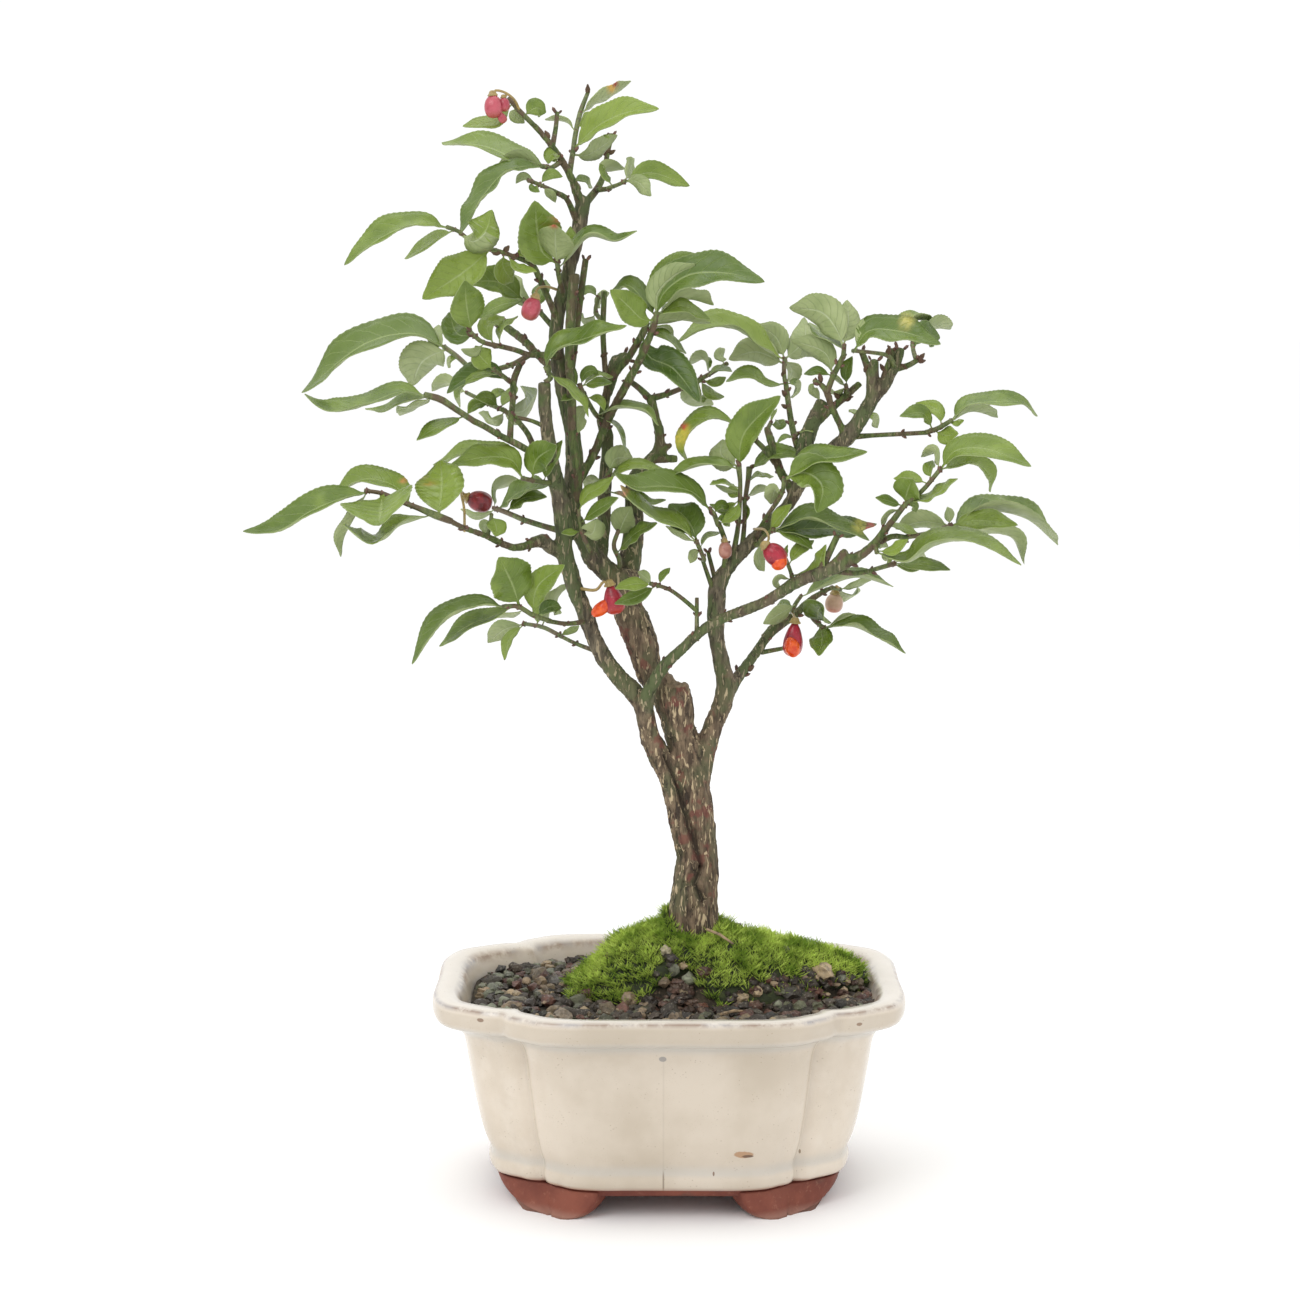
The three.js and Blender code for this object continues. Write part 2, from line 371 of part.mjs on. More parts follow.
    [[96.5, 231, 96.5, 234, 95.8, 237.3], 3.5, -1, 8],
    [[97, 231, 103, 231.5, 109, 227], 7.5, -1, 15],
    [[97, 231, 105, 232.8, 120, 231.3], 7, 1, -12],
    [[97, 231, 108, 236, 122, 234, 134, 224.5], 3.6, 1, 28],
    [[97, 230.5, 110, 229.5, 119, 226.5, 122.5, 217.8], 4.6, -1, 6],
  ]],
  ['right_high_leaves', [
    [77.3, 233, -28.7, 1.1, 81, 238, -31, 1, 87, 243, -35, 0.8, 93, 250.3, -39, 0.8],
  ], [
    [[93, 250.3, 98, 256.5, 108, 257.5, 124.3, 251.5], 8.5, 1, -14],
    [[93, 250.5, 104, 252.8, 112, 250.5, 110.5, 242.5], 5, 1, 12],
    [[93, 250.3, 91, 256.3, 86.5, 254.8], 3, -1, 14],
    [[90, 247, 89, 250.5, 90.5, 253.5], 4, 1, 10],
    [[89, 245.5, 83, 247.5, 77, 247.3], 4, 1, 8],
    [[81, 238.3, 82, 243, 83.5, 247], 10, 1, -6],
    [[82, 239, 90, 241.3, 99, 247.3], 3.2, 1, -12],
    [[81.5, 238.2, 84, 238.3, 85, 235.6], 3, 1, 6],
    [[80.5, 238, 76, 239.3, 71, 240.8], 3.4, 1, -6],
    [[80, 237, 76, 235.5, 73.5, 230.5], 2, -1, 9],
  ]],
  ['right_level_leaves', [
    [88, 263, -23, 0.9, 92, 264.3, -27, 0.9, 96.5, 267, -30, 0.8],
  ], [
    [[90.5, 263.8, 87, 269.5, 79, 268.7], 4.8, 1, -8],
    [[93.5, 265, 92, 270.5, 84.3, 273.2], 5, 1, 9],
    [[91, 263.7, 94.5, 262, 99, 262.7], 6.5, 1, -7],
    [[96.5, 267, 101, 272, 112, 273.5, 121, 273, 126.3, 268.6], 5, 1, 14],
    [[96.5, 267, 103, 270.3, 112.5, 268.3], 2.6, -1, 22],
    [[96, 266.5, 98.5, 266.3, 101, 267.3], 2, 1, -4],
  ]],
  ['right_top_leaves', [
    [77, 285, -9.2, 1, 75, 289, -15, 0.8, 69.5, 290.2, -19, 0.7, 63, 290.8, -22, 0.7],
  ], [
    [[62.5, 290.8, 68, 297.5, 78, 297.5, 92.7, 293.3], 9.5, 1, -12],
  ]],
  ['right_top_back_leaves', [
    [84.5, 287.6, -10.8, 0.9, 83.5, 290.5, -6, 0.8, 83, 293.5, -2, 0.7],
  ], [
    [[83.3, 291.5, 86, 296, 92.5, 295.5], 9, 1, 10],
    [[83, 293, 82, 299.5, 84.5, 301.5, 89, 300.5], 4.5, 1, 20],
    [[83.2, 293, 90, 298.2, 95.8, 298.3], 2, -1, 22],
  ]],
  ['inner_top_left', [
    [39.8, 279.8, 19, 0.8, 39.3, 284, 21, 0.8, 39.5, 288, 23, 0.8],
  ], [
    [[40.5, 288.8, 37, 295, 30.5, 299.8], 8, -1, 10],
    [[41, 289, 46, 294.5, 46, 302], 9, -1, 14],
    [[40.5, 288, 42, 284.5, 41, 280.5], 6, -1, 12],
    [[39, 288.3, 33, 291.3, 24, 297.8, 14, 299, 3, 294], 6, 1, -10],
    [[38.8, 286.5, 30, 290.5, 20.5, 288], 10, -1, 12],
    [[40, 277.5, 34, 279.5, 27, 282.3, 19.5, 280.5], 4.2, 1, -10],
    [[40, 280, 42.8, 279.6, 43.2, 277.4, 42.3, 275], 3, 1, 9],
  ]],
  ['inner_top_right', [
    [59.5, 288.5, -13.5, 0.9, 59.8, 292.5, -16, 0.8],
  ], [
    [[59.5, 292.3, 57, 298.5, 52, 304, 41, 305.5], 12, -1, 14],
    [[59.5, 292.3, 61, 301, 60.5, 308], 9, -1, 10],
    [[59.3, 291.5, 53.5, 295.5, 48, 300.5], 5, 1, 24],
  ]],
  ['inner_stub_leaves', [
    [29.8, 260, 11, 0.8, 26.5, 263.5, 7, 0.8, 24, 266, 4, 0.8],
  ], [
    [[24, 266, 14, 268, 7, 266, 5, 258, 6.5, 253], 5, 1, -8],
  ]],
  ['back_twig_leaves', [
    [10, 280.8, 19.8, 0.8, 14, 283, 22, 0.8, 19.5, 286.3, 25, 0.8],
  ], [
    [[19, 286, 17.5, 289, 18.8, 291.5], 4, -1, 8],
    [[12.5, 282, 16, 284.5, 21.5, 284], 2, 1, -7],
    [[11.5, 281.3, 14.5, 279.8, 19.5, 282], 3.2, 1, 5],
    [[11, 281, 13, 277, 19, 275.2], 3.6, 1, 6],
    [[11, 281, 8, 275, 15, 272.5], 7, -1, 16],
    [[14, 283, 12, 288, 7, 286.5], 2.5, -1, 12],
  ]],
  ['top_middle_low', [
    [-9.3, 295.5, 8.5, 1, -7.5, 300, 7.5, 0.9],
  ], [
    [[-8.2, 297.5, -3, 301, 4, 301.8, 14.3, 300.5], 5, -1, -4],
    [[-9, 296, -7, 289, 1, 285, 10.5, 273.5], 11, 1, -14],
    [[-8.5, 297, -2, 296, 6, 290], 3.2, 1, 8],
    [[-8.5, 298, -3, 298.5, 0, 295], 2.5, -1, 14],
  ]],
  ['top_middle_high', [
    [-4.7, 300.3, -6, 1, -4.3, 303.5, -6.5, 0.8],
  ], [
    [[-4.5, 303, -2, 310, 7, 316.5, 20, 317, 32.5, 314.3], 12, 1, -12],
    [[-4.5, 303, -6.5, 311, 1, 316, 9, 320.3], 9, -1, -3],
    [[-4.5, 303.3, -1, 316, 5, 321, 12, 323.3], 8, 1, 12],
    [[-4.3, 302.8, 4, 306, 14, 301.5], 4.5, 1, 6],
    [[-4.3, 303.3, 5, 308.3, 15, 306.5], 2.6, -1, 20],
    [[-5.5, 301.5, -9, 301.5, -14, 306, -20, 311.5], 10, 1, -6],
    [[-5, 302.5, -9.5, 309, -14, 313, -19.5, 311.5], 6, 1, 12],
  ]],
  ['leader_front', [
    [-40.5, 281.5, -11, 1, -42, 285, -13, 0.9],
  ], [
    [[-41.7, 284.3, -43.4, 287, -39, 291, -29, 294.8, -14.5, 299.5], 6.4, 1, -9],
    [[-41.2, 283.2, -35, 279, -29.5, 273, -27.5, 268.5], 3.4, 1, -4],
  ]],
  ['middle_cluster', [
    [-24.5, 268.5, 8, 0.9, -28, 274, 3, 0.8, -30.5, 279, -1, 0.8],
  ], [
    [[-30, 278, -32.5, 281, -34, 285.5, -35, 290], 3.2, 1, 4],
    [[-30.3, 279, -29, 284.5, -25, 286.5, -24, 282.5], 3.6, 1, 3],
    [[-30.3, 279, -25, 280, -19.5, 280], 3.4, 1, -7],
    [[-30, 278.5, -25.5, 282.8, -19, 282], 2.2, 1, 7],
    [[-29, 276, -33, 275.5, -37, 274], 2.6, 1, -8],
    [[-28.5, 275, -24, 274.5, -22, 270.5], 3, 1, -5],
    [[-26.5, 272, -30.5, 269.5, -31.5, 262.5], 6, -1, -9],
    [[-25, 269, -16, 271.5, -8, 270, -3.5, 265.5], 2.2, 1, -12],
    [[-25, 268.7, -18.5, 266, -14.5, 256], 1.8, 1, -8],
  ]],
  ['leader_upper_front', [
    [-36, 310, 4, 1, -37.5, 316, -2, 0.9, -38, 320.5, -6, 0.9],
  ], [
    [[-38, 320.5, -43, 324, -45, 333, -45.5, 341.5], 16, 1, -6],
    [[-38, 320.5, -38.5, 327, -38.5, 333.5], 12, -1, -16],
    [[-37.8, 319, -34, 322.5, -27, 329.5, -18, 328, -11, 331.5], 2.8, 1, -10],
    [[-38, 320.5, -34.5, 326, -33.5, 333], 6, 1, 8],
  ]],
  ['high_left_leaves', [
    [-51, 322.1, -9, 0.8, -57, 324.3, -15, 0.8, -62, 325.5, -20, 0.7, -68, 328.5, -26, 0.7,
      -72, 331.5, -30, 0.7, -75, 332.5, -32, 0.8],
  ], [
    [[-61, 325.3, -66, 320.5, -75, 314, -84, 308.5], 14, 1, -12],
    [[-53, 322.8, -49, 324, -45.5, 321], 4.5, 1, 6],
    [[-55, 323.5, -53, 317.5, -45, 317.8], 3, 1, -5],
    [[-56, 323.8, -56.5, 319.5, -53, 314], 8, 1, 12],
    [[-75, 332.5, -85, 334, -97, 329.5, -110.5, 320], 7, 1, -12],
    [[-73, 331.5, -80, 328.5, -90, 322], 4, 1, 12],
    [[-71, 330.5, -67, 326, -61, 330, -60, 338.5], 12, -1, 8],
  ]],
  ['high_left_middle', [
    [-43.5, 303.6, 8.7, 0.9, -47, 306.5, 11, 0.8, -49.5, 308, 13, 0.8],
  ], [
    [[-49.5, 308, -58, 314, -69.5, 314], 10, 1, -10],
    [[-49.3, 307.5, -57, 306.5, -65.5, 302], 5, 1, 6],
    [[-46, 305.8, -52, 311.5, -53.5, 317], 6, -1, 12],
    [[-45, 305, -43.5, 310.5, -42, 315], 6, 1, 8],
  ]],
  ['upper_left_front_tip', [
    [-57, 292.3, -15, 0.9, -64, 294, -22, 0.8, -67.5, 297, -26, 0.8],
  ], [
    [[-67.3, 297, -69, 306, -69.5, 314.5], 12, 1, -10],
    [[-66, 296, -72, 296.5, -75, 304], 9, 1, 10],
    [[-58, 292.7, -57.5, 298, -51.5, 302.8], 2, 1, 7],
    [[-60, 293, -62, 299, -56, 302.5], 6, 1, 14],
    [[-63, 293.8, -66, 290.5, -71, 291.5], 3, -1, -6],
  ]],
  ['upper_left_back_tip', [
    [-68.5, 285.4, 24.5, 0.9, -73, 289.5, 29, 0.9, -76.5, 292, 32, 0.9],
  ], [
    [[-76.5, 292, -86, 296.5, -102, 294, -125.7, 276.7], 9.5, 1, 12],
    [[-76, 291.5, -84, 287.5, -88, 279], 14, -1, 18],
    [[-76.5, 292, -79.5, 295.5, -78.5, 299.5], 6, -1, 10],
    [[-72, 288.7, -74.5, 287.7, -75.5, 285.3], 2.4, 1, 5],
  ]],
  ['upper_left_low_front', [
    [-53.7, 280, -6.5, 0.9, -57, 282.5, -12, 0.8, -60, 284.5, -17, 0.7],
  ], [
    [[-53.8, 282, -62, 284, -70, 281, -76, 276.5], 7, 1, -10],
    [[-60, 284.5, -64.5, 289, -66, 292.5], 8, 1, -4],
    [[-58, 283.2, -71, 283.5, -74, 277, -71.5, 271.5], 3.2, 1, -2],
  ]],
  ['upper_left_low_back', [
    [-56, 270.3, 3, 0.8, -62, 273, 9, 0.8, -69, 276.5, 14, 0.7],
  ], [
    [[-58, 271.5, -60, 279.5, -66.5, 275], 4.5, 1, -6],
    [[-61, 272.5, -66.5, 274.5, -69, 269.5], 4, 1, -4],
    [[-56, 270.5, -59.5, 267.3, -65, 269.8], 3.6, -1, 9],
    [[-62, 273, -58.5, 276.5, -54.5, 274.5], 3, 1, 6],
    [[-58, 271.3, -54, 276.5, -52.5, 279.5], 4, 1, 8],
    [[-69, 276.5, -75.5, 280, -81, 277.3], 4.5, -1, 12],
    [[-55, 269.5, -50, 270.5, -45, 277.5], 8, -1, 26],
  ]],
  ['top_left_leaves', [
    [-36.5, 354.8, 0.5, 1, -40, 352.5, -4, 0.8, -43, 353, -8, 0.8],
  ], [
    [[-43, 353, -54, 352, -62, 344.5, -71.5, 330], 6, 1, -14],
    [[-42, 353, -50, 355.5, -58.5, 353], 6.5, -1, 8],
    [[-41, 352.5, -50, 354.5, -62, 359.5, -77, 361], 7, 1, 22],
    [[-38, 354, -38, 359.5, -41, 358.5, -41, 354], 5, 1, -3],
  ]],
  ['top_middle_leaves', [
    [-32.6, 357, 7.5, 0.9, -31.8, 363, 12, 0.9, -30, 371, 17, 0.9, -27.5, 377.5, 21, 0.7],
  ], [
    [[-32.3, 359, -24, 366.5, -14, 371, -3.5, 372.3], 8.5, 1, -12],
    [[-31.3, 366, -27, 368.5, -25, 370.5], 5.5, 1, -6],
    [[-30, 370.5, -25, 374.5, -19, 377.5, -13, 381.5], 4, -1, 8],
    [[-31.5, 364.5, -34.5, 368, -42, 368.7], 1.8, -1, 6],
    [[-32.7, 356.5, -28, 357, -17.5, 363.5], 6, -1, 8],
  ]],
  ['top_right_leaves', [
    [-21, 345.5, 3, 0.8, -17, 347, -3, 0.7, -15, 348, -5, 0.7],
  ], [
    [[-15.5, 347.8, -11, 350.5, -6, 343], 5.5, -1, -8],
    [[-15, 348, -7, 350.8, 7, 346.5], 7, 1, 8],
    [[-15, 348, -13.5, 352, -12, 355.5], 4, -1, 13],
    [[-19, 346.2, -22.5, 350.5, -24, 353.5, -15, 352.3], 4, -1, 9],
  ]],
  ['top_tip_leaves', [
    [-45.5, 366.5, -6, 0.9, -51, 372, -9, 0.9, -54, 375.5, -10, 0.8],
  ], [
    [[-49, 370, -45, 372.5, -41.5, 371], 6.5, 1, 6],
    [[-52, 373, -53.5, 369.5, -49, 367.5], 4.5, -1, 7],
    [[-53, 374, -58, 368.5, -64, 367.3, -69.8, 366.5], 4.5, 1, -8],
  ]],
  ['top_low_left_leaves', [
    [-37, 343.6, -2, 0.9, -43, 346.5, -9, 0.7, -47.5, 348.3, -13, 0.7],
  ], [
    [[-44, 347, -40, 350.5, -36, 349.5], 3.6, 1, 5],
    [[-46.5, 347.8, -49.5, 345.5, -44, 344.5], 2.6, 1, -5],
    [[-43, 346.5, -40, 343.5, -38.5, 341], 3, -1, 6],
    [[-45, 347.2, -49, 349.5, -52, 347.5], 3, -1, 7],
  ]],
];

// Small leafy spurs that grow on the wood itself, written as the shoots are
const SPURS = [
  ['left_side_sprig', [
    [-62.5, 226.8, -26.5, 0.8, -61.5, 231, -26, 0.7, -61, 234.5, -25, 0.7],
  ], [
    [[-61, 234.5, -59.5, 231, -59.5, 227.3], 7, 1, -5],
    [[-61, 233, -63.5, 231.5, -63, 228.5], 3.5, 1, 7],
  ]],
  ['middle_front', [
    [-17.3, 215, 2, 0.9, -17, 219, 1, 0.9, -19, 224, -4, 0.8, -17.5, 229, -8, 0.7],
  ], [
    [[-18, 226.5, -16, 232, -13, 237.5], 9, -1, 6],
    [[-18, 221.5, -12, 228, -4, 232], 4.5, 1, -10],
  ]],
  ['right_twig_small', [
    [43, 211.2, -16, 0.9, 42, 215, -13, 0.7, 40.5, 219, -11, 0.7],
  ], [
    [[41.5, 217.5, 45, 223, 50, 226], 4.5, 1, 8],
    [[43, 214, 50, 215.5, 54, 224.5], 4.5, 1, -8],
    [[42.5, 212.5, 36, 216, 35, 211, 39, 208.5], 2.2, -1, 5],
    [[40.5, 219, 40.3, 222, 41, 224.5], 1.6, -1, 3],
  ]],
  ['right_under_small', [
    [42.5, 199.7, 15, 0.8, 43.5, 203.5, 11, 0.8, 45.5, 206.5, 8, 0.7],
  ], [
    [[44, 204, 39, 201, 32.5, 197], 5.5, -1, -6],
    [[46, 206.5, 55, 210.5, 65, 213.3, 77.5, 210], 2.6, 1, 8],
    [[43.2, 203, 40, 204, 36.5, 202.5], 2.2, 1, 6],
  ]],
  ['right_small_pair', [
    [56, 209.6, 22, 0.8, 59, 209, 25, 0.7],
  ], [
    [[58.5, 209, 64, 210.3, 70, 212.5], 2.5, -1, 6],
    [[59, 209, 62, 206.5, 66, 208.5], 3, -1, 14],
  ]],
  ['right_stub_leaves', [
    [61, 276.3, 3.5, 0.9, 60.5, 279, 0, 0.7],
  ], [
    [[60.7, 278.8, 60.5, 284, 62.5, 289], 4.2, 1, -5],
    [[60.8, 278.5, 58.5, 280.5, 55, 282.5], 1.8, -1, 5],
    [[60.5, 278.8, 57.5, 276.5, 55, 276.8], 2.2, -1, 7],
  ]],
  ['right_back_small', [
    [66, 266, -5, 0.8, 67, 268, 0, 0.7],
  ], [
    [[67, 268, 64.5, 269.5, 62, 271], 2.2, 1, 8],
    [[67, 268, 69.5, 268.5, 71.5, 264.8], 3.6, 1, 7],
  ]],
  ['inner_fork_leaves', [
    [55.5, 280.7, -11, 0.9, 56, 283.5, -7, 0.7],
  ], [
    [[56, 282.8, 53.5, 290, 41.5, 294.7], 8, -1, 8],
    [[55.8, 282.5, 50, 284, 46, 283], 3, 1, 6],
    [[56, 283.5, 52, 288, 45, 289.5], 4, -1, 22],
  ]],
  ['inner_fork_low_leaves', [
    [51.7, 279.8, -10, 0.9, 50, 280.5, -8, 0.8],
  ], [
    [[50, 280.5, 47, 279.5, 51.5, 274.5], 3.2, -1, 6],
  ]],
  ['inner_stub_leaf_right', [
    [33.7, 264, 11, 0.8, 34.8, 266.3, 13, 0.7],
  ], [
    [[34.8, 266, 37.3, 265.5, 39.5, 267.5], 4, 1, 6],
    [[34.8, 266.3, 36, 269.5, 37, 271.3], 1.2, 1, 3],
  ]],
  ['inner_twig_small_leaves', [
    [43.2, 261.6, 9, 0.8, 44, 262.5, 6, 0.7, 43, 261.5, 5, 0.7],
  ], [
    [[44, 262.5, 46.5, 264, 49.5, 263.3], 1.2, 1, -4],
    [[43, 261.5, 40, 261.8, 37, 259.5], 1.6, 1, -3],
  ]],
  ['top_middle_small', [
    [-22, 300, 10, 0.9, -25, 304, 13, 0.8, -24, 309, 14, 0.7],
  ], [
    [[-24, 309, -27, 311.5, -31, 310], 3, 1, 5],
    [[-25, 304, -24, 307.5, -20.5, 310.5], 3.5, -1, 9],
    [[-24.8, 303.5, -28, 301, -31, 303], 3, -1, 8],
    [[-23, 301, -26.5, 298, -22, 298], 4, 1, -4],
  ]],
  ['top_base_leaf', [
    [-30.5, 345.5, 4.5, 0.8, -33, 348.5, 9, 0.7],
  ], [
    [[-33, 348.5, -29, 348.5, -26, 346], 2.6, 1, 7],
  ]],
];


// Fruits: name, x, z and depth of the stalk end, width, length below it, lean of the axis in
// degrees (0 hangs straight down, positive swings the bottom to the right), then the stalk's
// points as for wood
const FRUITS = [
  ['fruit_dark_capsule', [-69.3, 240.6, -17], 7.4, 8.8, 74,
    [-70.3, 229, -33, 0.5, -70.4, 237, -26, 0.45, -71.3, 242.6, -20, 0.45, -69.3, 240.6, -17, 0.55]],
  ['fruit_open_capsule', [-20.4, 210.6, -12], 7.6, 10.5, 14,
    [-31, 209.3, -5, 0.6, -25, 208.8, -9, 0.55, -22.4, 211.6, -11, 0.5, -20.4, 210.6, -12, 0.6]],
  ['fruit_pear_capsule', [33.2, 224, -20], 7.6, 8.8, 48,
    [29.3, 229.8, 0, 0.5, 33, 229.5, -10, 0.45, 34.4, 226.5, -17, 0.45, 33.2, 224, -20, 0.55]],
  ['fruit_brown_capsule', [19.2, 225.6, -7], 4.8, 6, 4,
    [18.9, 227.5, -3, 0.5, 19.2, 225.6, -7, 0.5]],
  ['fruit_pale_berry', [57.3, 207.6, 26], 6.5, 6.8, -4,
    [57.8, 210, 22.5, 0.5, 58.6, 209.2, 25, 0.45, 57.3, 207.6, 26, 0.5]],
  ['fruit_drop_capsule', [43.6, 197.6, 6], 7.2, 12, -5,
    [42.4, 201, 15, 0.5, 43.3, 199.6, 9, 0.45, 43.6, 197.6, 6, 0.6]],
  ['fruit_pink_capsule', [-45.5, 309, -12], 6.6, 8.2, -20,
    [-38.3, 311.6, 1, 0.5, -42, 312.6, -6, 0.45, -45, 311.6, -11, 0.45, -45.5, 309, -12, 0.55]],
];
// Capsules at the very top that hang side by side on one stalk: end, width, length and lean
const TOP_STALK = [-50.7, 372, -9.3, 0.5, -52.5, 375.4, -14, 0.45, -55.5, 377.6, -16, 0.45,
  -58.8, 378.2, -17, 0.45, -59.6, 376.8, -17, 0.5];
const TOP_SIDE_STALK = [-54.6, 377.2, -15.5, 0.45, -56, 375.6, -16, 0.45];
const TOP_CAPSULES = [[[-59.6, 376.8, -17], 6.4, 7.8, 4], [[-56, 376, -16], 4, 4.8, 6],
  [[-58, 371.4, -17], 3, 4.6, 34]];
// Bright seeds that show in split capsules: capsule, centre, radii across and along, and lean
const ARILS = [
  ['fruit_open_seed', 'fruit_open_capsule', [-23.2, 202.4, -13], 2.3, 4.2, -52],
  ['fruit_pear_seed', 'fruit_pear_capsule', [38, 218.4, -20.6], 3.1, 2.6, 48],
  ['fruit_drop_seed', 'fruit_drop_capsule', [42.9, 188.6, 5.6], 2.7, 3.6, -5],
];

// A repeatable draw of numbers between 0 and 1
function seededDraw(seed) {
  let state = seed;
  return () => {
    state = (state * 1664525 + 1013904223) % 4294967296;
    return state / 4294967296;
  };
}

function solidOf(geometry) {
  const bare = geometry.clone();
  bare.deleteAttribute('normal');
  bare.deleteAttribute('uv');
  const merged = mergeVertices(bare, 1e-5);
  const corners = merged.index.array;
  const triangles = [];
  for (let i = 0; i < corners.length; i += 3) {
    const [a, b, c] = corners.slice(i, i + 3);
    if (a !== b && b !== c && c !== a) triangles.push(a, b, c);
  }
  return new wasm.Manifold(new wasm.Mesh({
    numProp: 3,
    vertProperties: Float32Array.from(merged.attributes.position.array),
    triVerts: Uint32Array.from(triangles),
  }));
}

function joined(solids) {
  return solids.reduce((whole, solid) => whole.add(solid));
}

// Only the largest body of a solid, so that no loose scrap stays
function mainBody(solid) {
  const bodies = solid.decompose();
  return bodies.reduce((a, b) => (a.volume() >= b.volume() ? a : b));
}

function meshOf(name, solid, look) {
  const { vertProperties, triVerts, numProp } = solid.getMesh();
  const position = new Float32Array((vertProperties.length / numProp) * 3);
  for (let i = 0; i < position.length; i += 1) {
    position[i] = vertProperties[Math.floor(i / 3) * numProp + (i % 3)];
  }
  const geometry = new THREE.BufferGeometry();
  geometry.setAttribute('position', new THREE.BufferAttribute(position, 3));
  geometry.setIndex(new THREE.BufferAttribute(Uint32Array.from(triVerts), 1));
  geometry.computeVertexNormals();
  const mesh = new THREE.Mesh(geometry, new THREE.MeshStandardMaterial(look));
  mesh.name = name;
  return mesh;
}

// Line of sight placement
function reachedDepth(depth) {
  return depth > TRUNK_DEPTH ? TRUNK_DEPTH + (depth - TRUNK_DEPTH) * BACK_REACH : depth;
}

function sightScale(depth) {
  return 1 + reachedDepth(depth) / Math.abs(EYE.y);
}

function sighted(x, z, depth) {
  const scale = sightScale(depth);
  return new THREE.Vector3(EYE.x + (x - EYE.x) * scale, reachedDepth(depth), EYE.z + (z - EYE.z) * scale);
}

// Points and radii of a limb written as x, z, depth and radius in turn
function limbPoints(flat) {
  const points = [];
  const radii = [];
  for (let i = 0; i < flat.length; i += 4) {
    points.push(sighted(flat[i], flat[i + 1], flat[i + 2]));
    radii.push(flat[i + 3] * sightScale(flat[i + 2]));
  }
  return { points, radii };
}

// A cylinder bent along a line of points, with one ring at each point
function bentLimb(points, radii, sides, extra = 0) {
  const path = points.map((point) => point.clone());
  const count = path.length;
  if (extra > 0) {
    const start = path[0].clone().sub(path[1]).normalize();
    const end = path[count - 1].clone().sub(path[count - 2]).normalize();
    path[0].addScaledVector(start, extra);
    path[count - 1].addScaledVector(end, extra);
  }
  const frames = [];
  let across = new THREE.Vector3(0, 1, 0);
  path.forEach((point, i) => {
    const before = path[Math.max(0, i - 1)];
    const after = path[Math.min(count - 1, i + 1)];
    const along = after.clone().sub(before).normalize();
    across = across.clone().addScaledVector(along, -across.dot(along)).normalize();
    frames.push({ across, upright: new THREE.Vector3().crossVectors(along, across) });
  });
  const geometry = new THREE.CylinderGeometry(1, 1, 1, sides, count - 1);
  const position = geometry.attributes.position;
  for (let i = 0; i < position.count; i += 1) {
    const ring = Math.round((0.5 - position.getY(i)) * (count - 1));
    const radius = radii[ring] + extra;
    const point = path[ring].clone();
    point.addScaledVector(frames[ring].across, position.getX(i) * radius);
    point.addScaledVector(frames[ring].upright, position.getZ(i) * radius);
    position.setXYZ(i, point.x, point.y, point.z);
  }
  return solidOf(geometry);
}

// Nearest place to a point on a shoot's stems, seen from the front
function stemFoot(stems, x, z) {
  let foot = { gap: Infinity };
  stems.forEach((stem) => {
    for (let i = 0; i + 4 < stem.length; i += 4) {
      const run = [stem[i + 4] - stem[i], stem[i + 5] - stem[i + 1]];
      const from = [x - stem[i], z - stem[i + 1]];
      const length2 = Math.max(run[0] ** 2 + run[1] ** 2, 1e-9);
      const part = THREE.MathUtils.clamp((from[0] * run[0] + from[1] * run[1]) / length2, 0, 1);
      const gap = Math.hypot(from[0] - part * run[0], from[1] - part * run[1]);
      if (gap < foot.gap) {
        const depth = stem[i + 2] + part * (stem[i + 6] - stem[i + 2]);
        foot = { gap, depth, x: stem[i] + part * run[0], z: stem[i + 1] + part * run[1] };
      }
    }
  });
  return foot;
}

// The line of a leaf drawn back to its stem. Its first point is left out where it is close to
// the stem or where the line would turn back at it.
function rootedPath(path, foot) {
  if (foot.gap <= FOOT_GAP) return path;
  const turn = (path[0] - foot.x) * (path[2] - path[0]) + (path[1] - foot.z) * (path[3] - path[1]);
  return [foot.x, foot.z, ...(turn < 0 || foot.gap < SHORT_STALK ? path.slice(2) : path)];
}

// The same points with each sharp corner rounded towards the middle of its neighbours
function eased(points) {
  return points.map((point, i) => {
    if (i === 0 || i === points.length - 1) return point;
    const before = point.clone().sub(points[i - 1]);
    const after = points[i + 1].clone().sub(point);
    if (before.angleTo(after) < SHARP_TURN) return point;
    const middle = points[i - 1].clone().add(points[i + 1]).multiplyScalar(0.5);
    return point.clone().lerp(middle, 0.5);
  });
}

// Midrib, width and roll of a leaf blade, whose foot is always on a stem
function bladePlan([seenPath, seenWidth, side, reach], stems) {
  const foot = stemFoot(stems, seenPath[0], seenPath[1]);
  const path = rootedPath(seenPath, foot);
  const lengths = [0];
  for (let i = 2; i < path.length; i += 2) {
    lengths.push(lengths[lengths.length - 1] + Math.hypot(path[i] - path[i - 2], path[i + 1] - path[i - 1]));
  }
  const whole = lengths[lengths.length - 1];
  const points = lengths.map((length, i) => {
    const depth = foot.depth + reach * (length / whole) ** TIP_DEPTH_POWER;
    return sighted(path[2 * i], path[2 * i + 1], depth);
  });
  const midrib = new THREE.CatmullRomCurve3(eased(eased(points)));
  let span = 0;
  points.slice(1).forEach((point, i) => {
    span += point.distanceTo(points[i]);
  });
  const scale = sightScale(foot.depth);
  const width = Math.max(seenWidth * WIDTH_GAIN, LEAF_WIDTH_PART * span) * scale;
  const tilt = Math.acos(Math.min(1, (seenWidth * scale) / width));
  return { midrib, span, width, roll: side > 0 ? tilt : Math.PI - tilt };
}

